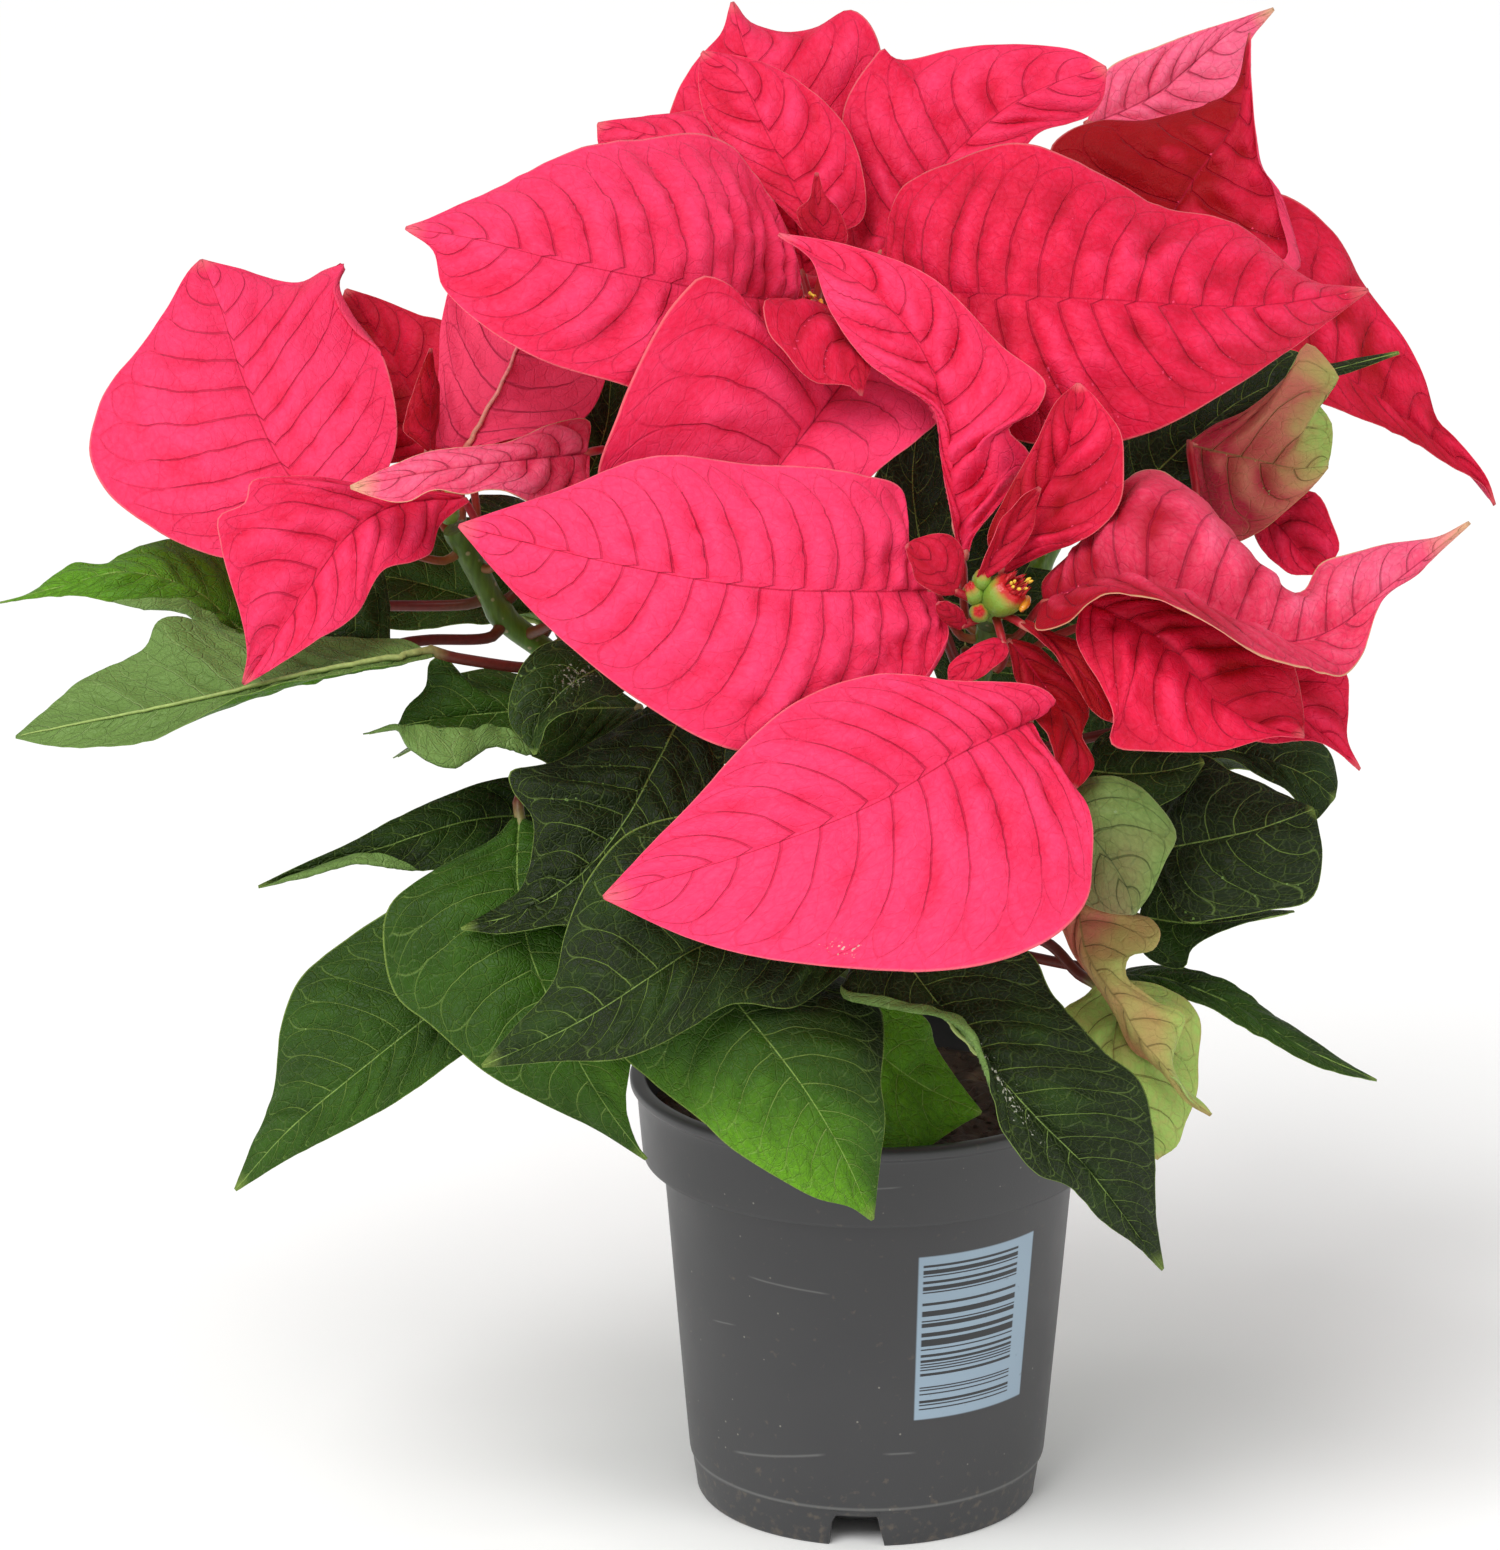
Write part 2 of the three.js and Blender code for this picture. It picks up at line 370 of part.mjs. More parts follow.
    rib: [[1, -78, 184], [-12, -92, 185], [-30, -104, 193], [-45, -112, 192], [-56, -118, 187],
      [-69, -124, 180], [-81, -124, 173], [-100, -120, 163]],
    left: [[-8, -98, 181], [-15, -104, 177], [-22, -110, 175], [-37, -116, 178], [-47, -122, 174],
      [-58, -128, 170], [-66, -130, 168], [-80, -128, 167]],
    right: [[-30, -86, 210], [-45, -94, 221], [-53, -98, 222], [-64, -104, 219], [-74, -110, 208],
      [-79, -114, 196], [-82, -118, 185], [-92, -120, 173]] },
  { name: 'leaf_11', kind: 'leaf', stem: 'top', at: 0.22,
    rib: [[-48, -80, 194], [-44, -95, 183], [-35, -105, 174], [-26, -113, 165], [-18, -117, 155],
      [-9, -117, 139], [-1, -113, 119]],
    left: [[-10, -88, 176], [1, -99, 171], [2, -109, 165], [1, -113, 156], [2, -115, 147],
      [1, -115, 137]],
    right: [[-66, -97, 162], [-58, -105, 154], [-44, -115, 146], [-36, -119, 140], [-16, -121, 128],
      [-7, -117, 124]] },
  { name: 'stem_leaf_2', kind: 'leaf', stem: '@main', at: 0.92,
    rib: [[-6, -34, 143], [13, -40, 130], [29, -46, 124]],
    left: [[2, -28, 150], [15, -32, 145], [17, -34, 139], [23, -40, 131]],
    right: [[-3, -42, 123], [4, -50, 114], [11, -52, 114], [15, -50, 116], [23, -48, 121]] },
  { name: 'leaf_12', kind: 'leaf', stem: 'front', at: 0.44,
    rib: [[4, -80, 190], [7, -98, 185], [17, -110, 174], [30, -120, 161], [41, -122, 149],
      [52, -120, 137], [62, -114, 122], [74, -104, 102]],
    left: [[32, -92, 189], [40, -96, 185], [45, -102, 175], [56, -110, 165], [67, -114, 157],
      [70, -114, 145], [71, -110, 129], [72, -108, 117]],
    right: [[-9, -106, 177], [1, -110, 175], [15, -119, 175], [22, -126, 174], [26, -129, 167],
      [29, -128, 158], [31, -130, 150], [39, -130, 138], [48, -126, 133], [58, -118, 120],
      [66, -112, 112]] },
  { name: 'leaf_13', kind: 'leaf', stem: 'front', at: 0.6,
    rib: [[50, -70, 201], [52, -80, 192], [54, -89, 183], [58, -94, 177], [63, -98, 171],
      [67, -100, 164], [73, -100, 157], [80, -100, 148], [86, -98, 142]],
    left: [[58, -74, 202], [61, -78, 200], [60, -80, 195], [63, -84, 192], [70, -84, 191],
      [73, -86, 187], [71, -88, 183], [65, -90, 182], [64, -92, 178], [72, -92, 171], [79, -92, 167],
      [78, -94, 163], [76, -96, 156], [79, -96, 149], [84, -97, 145]],
    right: [[46, -78, 194], [50, -86, 183], [56, -90, 175], [62, -92, 166], [66, -94, 159],
      [73, -96, 153], [79, -98, 146]] },
  { name: 'leaf_14', kind: 'leaf', stem: 'front', at: 0.34, via: [[45, -66, 178], [53, -74, 172]],
    rib: [[58, -81, 172], [62, -85, 165], [61, -93, 156], [65, -97, 143], [73, -95, 129]],
    left: [[74, -73, 169], [81, -75, 165], [84, -79, 159], [83, -87, 146], [80, -91, 137],
      [78, -93, 132]],
    right: [[54, -85, 170], [48, -89, 167], [50, -97, 158], [57, -101, 147], [65, -99, 135]] },
  { name: 'leaf_15', kind: 'leaf', stem: 'front', at: 0.3,
    rib: [[65, -55, 166], [77, -63, 167], [93, -69, 162], [111, -73, 152], [131, -71, 142]],
    left: [[67, -51, 166], [77, -57, 169], [87, -61, 168], [96, -63, 164], [112, -67, 153],
      [122, -69, 147]],
    right: [[69, -63, 166], [81, -71, 164], [91, -75, 161], [100, -77, 156], [112, -77, 149],
      [126, -75, 144]] },
  { name: 'leaf_16', kind: 'leaf', stem: 'front', at: 0.66,
    rib: [[46, -92, 225], [56, -98, 215], [63, -102, 205], [65, -104, 198]],
    left: [[52, -86, 228], [61, -88, 230], [69, -92, 226], [76, -96, 217], [73, -100, 211],
      [69, -103, 203]],
    right: [[45, -98, 213], [51, -104, 202], [59, -106, 199]] },
  { name: 'leaf_17', kind: 'leaf', stem: 'front', at: 0.52,
    rib: [[71, -69, 204], [87, -81, 211], [98, -85, 215], [112, -81, 219]],
    left: [[75, -61, 218], [84, -63, 228], [91, -69, 226], [105, -75, 221]],
    right: [[73, -79, 197], [79, -85, 190], [88, -89, 192], [100, -91, 195], [111, -91, 198],
      [114, -87, 208], [113, -83, 215]] },
  { name: 'leaf_18', kind: 'leaf', stem: 'front', at: 0.7,
    rib: [[77, -54, 231], [95, -58, 227], [110, -62, 223], [119, -62, 216]],
    left: [[93, -48, 233], [111, -50, 230], [118, -54, 226], [120, -58, 220]],
    right: [[84, -62, 227], [91, -64, 227], [98, -66, 224], [107, -68, 219], [113, -66, 211]] },
  { name: 'stem_leaf_3', kind: 'leaf', stem: '@front', at: 0.4,
    rib: [[69, -62, 184], [82, -68, 184], [95, -68, 185], [109, -64, 186]],
    left: [[72, -56, 195], [81, -58, 191], [91, -62, 187], [102, -63, 186]],
    right: [[70, -66, 175], [80, -72, 173], [82, -73, 179], [88, -72, 182], [99, -68, 185]] },
  { name: 'leaf_19', kind: 'leaf', stem: 'right', at: 0.75,
    rib: [[69, 9, 278], [85, 13, 293], [102, 17, 305], [122, 21, 310], [141, 25, 314]],
    left: [[65, 12, 283], [68, 18, 296], [88, 23, 304], [101, 27, 311], [112, 27, 314], [121, 25, 311],
      [132, 25, 313]],
    right: [[84, 10, 278], [92, 10, 287], [95, 9, 293], [101, 11, 300], [108, 14, 305], [115, 17, 308],
      [126, 21, 309]] },
  { name: 'leaf_03', kind: 'leaf', stem: 'left', at: 0.7,
    rib: [[-84, -6, 247], [-104, 4, 251], [-126, 12, 255], [-145, 16, 256]],
    left: [[-89, -12, 252], [-104, -8, 248], [-118, -2, 245], [-136, 4, 245]],
    right: [[-83, 6, 262], [-99, 16, 270], [-121, 20, 269], [-137, 20, 264]] },
  { name: 'stem_leaf_1', kind: 'leaf', stem: '@left', at: 0.84, via: [[-116, -42, 253]],
    rib: [[-126, -50, 254], [-137, -46, 255], [-152, -42, 253]],
    left: [[-128, -60, 251], [-135, -58, 253], [-145, -52, 253]],
    right: [[-126, -42, 264], [-128, -38, 271], [-138, -36, 268], [-147, -38, 260]] },
  { name: 'stem_leaf_4', kind: 'leaf', stem: '@front', at: 0.8,
    rib: [[24, -32, 248], [24, -24, 270], [29, -16, 289], [41, -10, 305]],
    left: [[3, -28, 260], [-2, -18, 284], [11, -12, 302]],
    right: [[36, -32, 261], [45, -24, 281], [46, -16, 297]] },
  { name: 'stem_leaf_5', kind: 'leaf', stem: '@front', at: 0.76,
    rib: [[54, -66, 225], [64, -70, 225], [74, -74, 227], [84, -76, 230]],
    left: [[58, -62, 233], [68, -64, 236], [78, -70, 236]],
    right: [[56, -72, 219], [66, -78, 217], [78, -78, 222]] },
  { name: 'stem_leaf_6', kind: 'leaf', stem: '@top', at: 0.84, via: [[8, -8, 298]],
    rib: [[30, -6, 265], [27, -16, 251], [29, -26, 238], [36, -36, 224], [42, -40, 209]],
    left: [[61, -10, 258], [64, -20, 243], [64, -32, 227]],
    right: [[14, -10, 250], [17, -20, 236], [26, -32, 222]] },
  { name: 'stem_leaf_7', kind: 'leaf', stem: '@left', at: 0.86,
    rib: [[-78, -12, 283], [-73, -4, 292], [-70, 2, 301], [-69, 8, 312]],
    left: [[-84, -8, 290], [-80, 0, 302], [-75, 6, 310]],
    right: [[-65, -10, 288], [-61, -2, 299], [-63, 4, 309]] },
  { name: 'stem_leaf_8', kind: 'leaf', stem: '@left', at: 0.78,
    rib: [[-82, -12, 267], [-90, -16, 275], [-98, -18, 280], [-107, -16, 282]],
    left: [[-89, -20, 269], [-96, -24, 276], [-103, -22, 280]],
    right: [[-83, -4, 275], [-93, -8, 282], [-105, -12, 284]] },
  { name: 'stem_leaf_9', kind: 'leaf', stem: '@front', at: 0.84,
    rib: [[13, -34, 272], [11, -30, 282], [10, -26, 292], [11, -22, 303]],
    left: [[5, -34, 278], [3, -28, 290], [5, -24, 299]],
    right: [[20, -32, 277], [20, -24, 289], [17, -20, 298]] },
  { name: 'front_small_3', kind: 'bract', stem: 'front_head', at: 0,
    rib: [[22, -80, 267], [18, -84, 272], [15, -86, 275]],
    left: [[18, -82, 268], [15, -85, 272]],
    right: [[22, -81, 271], [18, -85, 275]] },
  plainBlade('left_bract_6', 'bract', 'left', 0.99, [-109, -10, 293], [-100, 64, 294], 44),
  plainBlade('top_bract_9', 'bract', 'top', 0.89, [-11, 9, 326], [-2, 86, 318], 50),
  plainBlade('right_bract_6', 'bract', 'right', 0.92, [84, 74, 306], [112, 138, 300], 46),
  plainBlade('right_bract_7', 'bract', 'right', 0.86, [62, 62, 298], [6, 116, 290], 44),
  plainBlade('leaf_20', 'leaf', 'top', 0.33, [-20, 34, 196], [-52, 122, 176], 52),
  plainBlade('leaf_21', 'leaf', 'right', 0.27, [26, 40, 184], [58, 124, 158], 54),
  plainBlade('leaf_22', 'leaf', 'left', 0.44, [-62, 22, 206], [-132, 76, 186], 50),
  plainBlade('leaf_23', 'leaf', 'right', 0.38, [66, 34, 196], [122, 88, 176], 50),];

// ---------------------------------------------------------------- helpers

function curve(points) {
  return new THREE.CatmullRomCurve3(points.map((p) => (p.isVector3 ? p : vec(p))), false, 'centripetal');
}

// A closed geometry with shared vertices and no empty triangles.
function welded(geometry) {
  const bare = geometry.clone();
  bare.deleteAttribute('normal');
  bare.deleteAttribute('uv');
  const merged = mergeVertices(bare, 1e-3);
  const index = merged.index.array;
  const kept = [];
  for (let i = 0; i < index.length; i += 3) {
    const [a, b, c] = [index[i], index[i + 1], index[i + 2]];
    if (a !== b && b !== c && c !== a) kept.push(a, b, c);
  }
  merged.setIndex(kept);
  return merged;
}

function toSolid(geometry) {
  const merged = welded(geometry);
  return new wasm.Manifold(new wasm.Mesh({
    numProp: 3,
    vertProperties: new Float32Array(merged.attributes.position.array),
    triVerts: new Uint32Array(merged.index.array),
  }));
}

function fromSolid(solid) {
  const mesh = solid.getMesh();
  const geometry = new THREE.BufferGeometry();
  geometry.setAttribute('position', new THREE.BufferAttribute(mesh.vertProperties, 3));
  geometry.setIndex(new THREE.BufferAttribute(mesh.triVerts, 1));
  geometry.computeVertexNormals();
  return geometry;
}

function material(colour, roughness) {
  return new THREE.MeshStandardMaterial({ color: colour, roughness, metalness: 0 });
}

function lathe(profile, sides) {
  const points = profile.map(([r, z]) => new THREE.Vector2(r, z));
  return new THREE.LatheGeometry(points, sides).rotateX(Math.PI / 2);
}

// Turns a geometry's faces outwards when they all point in.
function outward(geometry) {
  const p = geometry.attributes.position;
  const index = geometry.index.array;
  const corners = [new THREE.Vector3(), new THREE.Vector3(), new THREE.Vector3()];
  let volume = 0;
  for (let i = 0; i < index.length; i += 3) {
    corners.forEach((corner, k) => corner.fromBufferAttribute(p, index[i + k]));
    volume += corners[0].dot(corners[1].clone().cross(corners[2]));
  }
  if (volume < 0) {
    for (let i = 0; i < index.length; i += 3) {
      [index[i + 1], index[i + 2]] = [index[i + 2], index[i + 1]];
    }
  }
  return geometry;
}

// ---------------------------------------------------------------- pot and peat

function potGeometry() {
  const p = POT;
  const lipTop = p.lipHeight;
  const lipFoot = p.lipHeight - p.lipDepth;
  const skirtInside = p.footRadius - p.skirt;
  const outside = [
    [p.lipRadius - p.lipWidth, lipTop], [p.lipRadius - p.lipRound / 1.5, lipTop],
    [p.lipRadius, lipTop - p.lipRound], [p.lipRadius - p.lipCurl, lipFoot], [p.bandTopRadius, lipFoot],
    [p.bandFootRadius, p.bandFootHeight], [p.wallTopRadius, p.bandFootHeight],
    [p.wallFootRadius, p.footHeight], [p.wallFootRadius - p.footStep, p.footHeight - p.footStep / 1.5],
    [p.footRadius, 0],
  ];
  const under = [
    [skirtInside, 0], [skirtInside + GAP, p.floorLift + p.floorRise],
    [p.floorFlatRadius, p.floorLift], [p.bossRadius + p.bossSlope, p.floorLift],
    [p.bossRadius, 0], [0, 0],
  ];
  const profile = [...innerProfile(0), ...outside, ...under];
  let pot = toSolid(lathe(profile.reverse(), p.sides));
  const [inner, outer] = [skirtInside - GAP, p.footRadius + NOTCH.overshoot];
  const roof = p.floorLift + p.floorRise;
  const cut = new THREE.Shape([
    new THREE.Vector2(inner, -NOTCH.overshoot), new THREE.Vector2(outer, -NOTCH.overshoot),
    new THREE.Vector2(outer, roof + NOTCH.roofOut), new THREE.Vector2(inner, roof + NOTCH.roofIn),
  ]);
  for (let k = 0; k < NOTCH.count; k += 1) {
    const angle = THREE.MathUtils.degToRad(NOTCH.firstAzimuth + k * 360 / NOTCH.count);
    const prism = new THREE.ExtrudeGeometry(cut, { depth: NOTCH.width, bevelEnabled: false });
    prism.translate(0, 0, -NOTCH.width / 2).rotateX(Math.PI / 2).rotateZ(angle);
    pot = pot.subtract(toSolid(prism));
  }
  return fromSolid(pot);
}

// The pot's inner surface from its middle up to the lip, moved inwards by a gap.
function innerProfile(gap) {
  const p = POT;
  const slope = p.floorRise + p.wall;
  return [
    [0, p.floorLift + p.wall + gap], [p.floorFlatRadius, p.floorLift + p.wall + gap],
    [p.footRadius - p.innerRise / 2 - gap, p.floorLift + slope + p.innerRise + gap],
    [p.wallTopRadius - p.wall - gap, p.bandFootHeight + p.wall + gap],
    [p.bandFootRadius - p.wall - gap, p.bandFootHeight + p.wall + p.innerRise + gap],
    [p.bandTopRadius - p.wall - gap, p.lipHeight - p.lipDepth / 2],
  ];
}

function soilGeometry() {
  const wall = innerProfile(SOIL.gap);
  const last = wall.length - 1;
  const share = (SOIL.height - wall[last - 1][1]) / (wall[last][1] - wall[last - 1][1]);
  const rim = THREE.MathUtils.lerp(wall[last - 1][0], wall[last][0], share);
  const top = [[rim, SOIL.height]];
  for (const ring of SOIL.rings) top.push([rim * ring, SOIL.height]);
  top.push([0, SOIL.height]);
  const profile = [...wall.slice(0, last), ...top];
  const geometry = welded(lathe(profile, SOIL.sides));
  const p = geometry.attributes.position;
  for (let i = 0; i < p.count; i += 1) {
    const [x, y, z] = [p.getX(i), p.getY(i), p.getZ(i)];
    if (z > SOIL.height - 0.1) p.setZ(i, z + SOIL.lump * crumb(x, y));
  }
  const boreFoot = STEMS.main.path[0][2] - GAP;
  const boreLength = SOIL.height + 2 * SOIL.lump - boreFoot;
  const bore = new THREE.CylinderGeometry(SOIL.boreRadius, SOIL.boreRadius, boreLength, SOIL.boreSides);
  bore.rotateX(Math.PI / 2).translate(0, 0, boreFoot + boreLength / 2);
  return fromSolid(toSolid(geometry).subtract(toSolid(bore)));
}

function crumb(x, y) {
  return 0.5 * Math.sin(0.31 * x + 1.3) * Math.cos(0.27 * y) + 0.5 * Math.sin(0.16 * x - 0.22 * y);
}

// ---------------------------------------------------------------- stems and heads

function stemCurve(name) {
  return curve(STEMS[name].path);
}

function stemSolid(name) {
  const { radius } = STEMS[name];
  const path = stemCurve(name);
  const section = [];
  for (let k = 0; k < STEM_SIDES; k += 1) {
    const angle = 2 * Math.PI * k / STEM_SIDES;
    section.push(new THREE.Vector2(radius * Math.cos(angle), radius * Math.sin(angle)));
  }
  const steps = Math.ceil(path.getLength() / STEM_STEP);
  const options = { steps, extrudePath: path, bevelEnabled: false };
  return toSolid(new THREE.ExtrudeGeometry(new THREE.Shape(section), options));
}

function stemsGeometry() {
  let stems = stemSolid('main');
  for (const name of ['left', 'top', 'front', 'right']) stems = stems.add(stemSolid(name));
  for (const blade of BLADES.filter((b) => b.stem.startsWith('@'))) {
    stems = stems.add(toSolid(bladeGeometry(blade)));
  }
  return fromSolid(stems);
}

function headGeometry(name) {
  let head = null;
  HEADS[name].forEach(([x, y, z, radius], k) => {
    const cup = new THREE.SphereGeometry(radius, 7, 5);
    cup.scale(1, CUP_STRETCH, 1);
    cup.rotateX(Math.PI / 2).translate(x, y, z);
    const solid = toSolid(cup);
    head = k === 0 ? solid : head.add(solid);
  });
  for (const blade of BLADES.filter((b) => b.stem === `${name}_head`)) {
    head = head.add(toSolid(bladeGeometry(blade)));
  }
  return fromSolid(head);
}

// ---------------------------------------------------------------- blades

// Half of a blade at section u: the point at share q of the way from the rib to the edge.
function bladeSheet(blade, stations, halfColumns) {
  const radius = PETIOLE.radius[blade.kind];
  const rib = curve(blade.rib);
  const across = 2 * halfColumns;
  const slant = blade.slant || BLADE.veinSlant;
  const middle = (u) => rib.getPointAt(u ** slant);
  const along = (u) => rib.getTangentAt(u ** slant);
  const rows = Array.from({ length: stations + 1 }, () => new Array(across + 1));
  const [base, tip] = [vec(blade.rib[0]), vec(blade.rib.at(-1))];
  const baseSide = squareTo(vec(blade.right[0]).sub(vec(blade.left[0])), along(0));
  const tipSide = squareTo(vec(blade.right.at(-1)).sub(vec(blade.left.at(-1))), along(1));
  for (const [sideName, sign] of [['left', -1], ['right', 1]]) {
    const edge = curve([
      base.clone().addScaledVector(baseSide, sign * radius),
      ...blade[sideName],
      tip.clone().addScaledVector(tipSide, sign * BLADE.tipHalfWidth),
    ]);
    const arch = blade.bulge ? blade.bulge[sign < 0 ? 0 : 1] : BLADE.arch;
    const phase = sign < 0 ? 0 : 0.3;
    shares(stations).forEach((u, i) => {
      const root = middle(u);
      const reach = edge.getPointAt(u).sub(root);
      const rise = reach.clone().cross(along(u)).normalize().multiplyScalar(sign);
      const taper = Math.sin(Math.PI * Math.min(Math.max(u, 0), 1)) ** 0.6;
      for (let k = 0; k <= halfColumns; k += 1) {
        const q = k / halfColumns;
        const crown = arch * reach.length() * taper * Math.sin(Math.PI * q ** 0.8);
        const ripple = Math.min(BLADE.ripple * reach.length(), BLADE.rippleMost) * taper;
        const wave = ripple * Math.sin(2 * Math.PI * (BLADE.ripples * u + phase)) * q * q;
        const point = root.clone().addScaledVector(reach, q).addScaledVector(rise, (crown || 0) + wave);
        rows[i][halfColumns + sign * k] = point;
      }
    });
  }
  const ridge = shares(stations).map((u) => radius * (1 - u) ** 0.7);
  return { rows, ridge };
}

const shares = (count) => Array.from({ length: count + 1 }, (_, i) => i / count);

// The part of v at a right angle to a unit vector, made one unit long.
function squareTo(v, unit) {
  return v.clone().addScaledVector(unit, -v.dot(unit)).normalize();
}

// The petiole's path from the stem's bark, or from under it, to the blade's base.
function petiolePath(blade) {
  const base = vec(blade.rib[0]);
  const into = curve(blade.rib).getTangentAt(0);
  const via = (blade.via || []).map(vec);
  if (blade.stem.endsWith('_head')) {
    const seat = vec(HEADS[blade.stem.replace('_head', '')][0].slice(0, 3));
    return { points: [seat, base], out: base.clone().sub(seat).normalize() };
  }
  const fused = blade.stem.startsWith('@');
  const name = blade.stem.replace('@', '');
  const { radius } = STEMS[name];
  const path = stemCurve(name);
  const middle = path.getPointAt(blade.at);
  const towards = (via[0] || base).clone().sub(middle);
  const out = squareTo(towards, path.getTangentAt(blade.at));
  const root = middle.clone().addScaledVector(out, fused ? radius - PETIOLE.sink : radius + PETIOLE.clear);
  const leave = root.clone().addScaledVector(out, PETIOLE.straight);
  const reach = base.distanceTo(leave);
  const bend = base.clone().addScaledVector(into, -PETIOLE.bend);
  const middlePoints = via.length > 0 || reach < PETIOLE.bendReach ? via : [bend];
  return { points: [root, leave, ...middlePoints, base], out };
}

function bladeGeometry(blade) {
  const spaced = Math.round(curve(blade.rib).getLength() / STATION.spacing);
  const stations = THREE.MathUtils.clamp(spaced, STATION.fewest, STATION.most);
  const half = BLADE.halfColumns;
  const sheet = bladeSheet(blade, stations, half);
  const radius = PETIOLE.radius[blade.kind];

  // petiole sections, from the stem to the base, with the blade's own side direction carried back
  const { points, out } = petiolePath(blade);
  const path = curve(points);
  const length = path.getLength();
  const first = Math.min(PETIOLE.straight / length, 0.4);
  const count = Math.ceil(length / PETIOLE.step);
  const places = [0, ...shares(count).slice(0, -1).map((share) => first + (1 - first) * share)];
  let side = sheet.rows[0][2 * half].clone().sub(sheet.rows[0][0]).normalize();
  const stalk = [];
  for (const share of places.reverse()) {
    const tangent = share === 0 ? out : path.getTangentAt(share);
    side = squareTo(side, tangent);
    const row = [];
    for (let j = -half; j <= half; j += 1) {
      row.push(path.getPointAt(share).addScaledVector(side, radius * j / half));
    }
    stalk.unshift({ row, tangent });
  }

  const rows = [...stalk.map((s) => s.row), ...sheet.rows];
  const ridge = [...stalk.map(() => radius), ...sheet.ridge];
  const columns = 2 * half + 1;
  const upper = [];
  const lower = [];
  rows.forEach((row, i) => {
    const before = rows[Math.max(i - 1, 0)];
    const after = rows[Math.min(i + 1, rows.length - 1)];
    row.forEach((point, j) => {
      const across = row[Math.min(j + 1, columns - 1)].clone().sub(row[Math.max(j - 1, 0)]);
      const k = i === stalk.length || i === rows.length - 1 ? half : j;
      const tangent = i < stalk.length ? stalk[i].tangent : after[k].clone().sub(before[k]);
      const normal = across.cross(tangent).normalize();
      const off = point.distanceTo(row[half]);
      const height = Math.max(BLADE.thickness / 2, Math.sqrt(Math.max(0, ridge[i] ** 2 - off ** 2)));
      upper.push(point.clone().addScaledVector(normal, height));
      lower.push(point.clone().addScaledVector(normal, -height));
    });
  });
  return closedSheet(upper, lower, rows.length, columns);
}

// Two alike grids of points, the upper and lower face, joined round their edge.
function closedSheet(upper, lower, rowCount, columns) {
  const points = [...upper, ...lower];
  const shift = upper.length;
  const index = [];
  const quad = (a, b, c, d) => index.push(a, b, c, a, c, d);
  const at = (i, j) => i * columns + j;
  for (let i = 0; i < rowCount - 1; i += 1) {
    for (let j = 0; j < columns - 1; j += 1) {
      const [a, b, c, d] = [at(i, j), at(i + 1, j), at(i + 1, j + 1), at(i, j + 1)];
      index.push(a, c, b, a, d, c);
      index.push(a + shift, b + shift, c + shift, a + shift, c + shift, d + shift);
    }
    quad(at(i, 0), at(i + 1, 0), at(i + 1, 0) + shift, at(i, 0) + shift);
    const e = columns - 1;
    quad(at(i, e), at(i, e) + shift, at(i + 1, e) + shift, at(i + 1, e));
  }
  const tip = rowCount - 1;
  for (let j = 0; j < columns - 1; j += 1) {
    quad(at(0, j), at(0, j) + shift, at(0, j + 1) + shift, at(0, j + 1));
    quad(at(tip, j), at(tip, j + 1), at(tip, j + 1) + shift, at(tip, j) + shift);
  }
  const geometry = new THREE.BufferGeometry();
  geometry.setAttribute('position', new THREE.Float32BufferAttribute(points.flatMap((p) => p.toArray()), 3));
  geometry.setIndex(index);
  outward(geometry);
  geometry.computeVertexNormals();
  return geometry;
}

// ---------------------------------------------------------------- the plant

const plant = new THREE.Group();

function place(name, geometry, finish) {
  const mesh = new THREE.Mesh(geometry, finish);
  mesh.name = name;
  plant.add(mesh);
}

place('pot', potGeometry(), material(COLOUR.pot, 0.7));
place('soil', soilGeometry(), material(COLOUR.soil, 0.95));
place('stems', stemsGeometry(), material(COLOUR.stem, 0.6));
for (const name of Object.keys(HEADS)) {
  place(`${name}_cyathia`, headGeometry(name), material(COLOUR.head, 0.5));
}
for (const blade of BLADES) {
  const own = !blade.stem.startsWith('@') && !blade.stem.endsWith('_head');
  if (own) place(blade.name, bladeGeometry(blade), material(COLOUR[blade.kind], 0.55));
}

export default plant;
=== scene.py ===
# %% [markdown]
# # A poinsettia in its nursery pot
# A poinsettia carries two kinds of blade on one woody stem. The red ones, called bracts, stand
# in rosettes round heads of tiny true flowers, and the green leaves hang below them on long
# stalks. The solids of the plant are already built in CAD, in true size. This lesson dresses
# them: every blade becomes a thin sheet of tissue with sunken veins, and the pot, the peat and
# the flower heads get the surface that they have in life. All sizes are named in millimetres
# and turned to metres where a mesh is made, because the frame is in metres.

import math

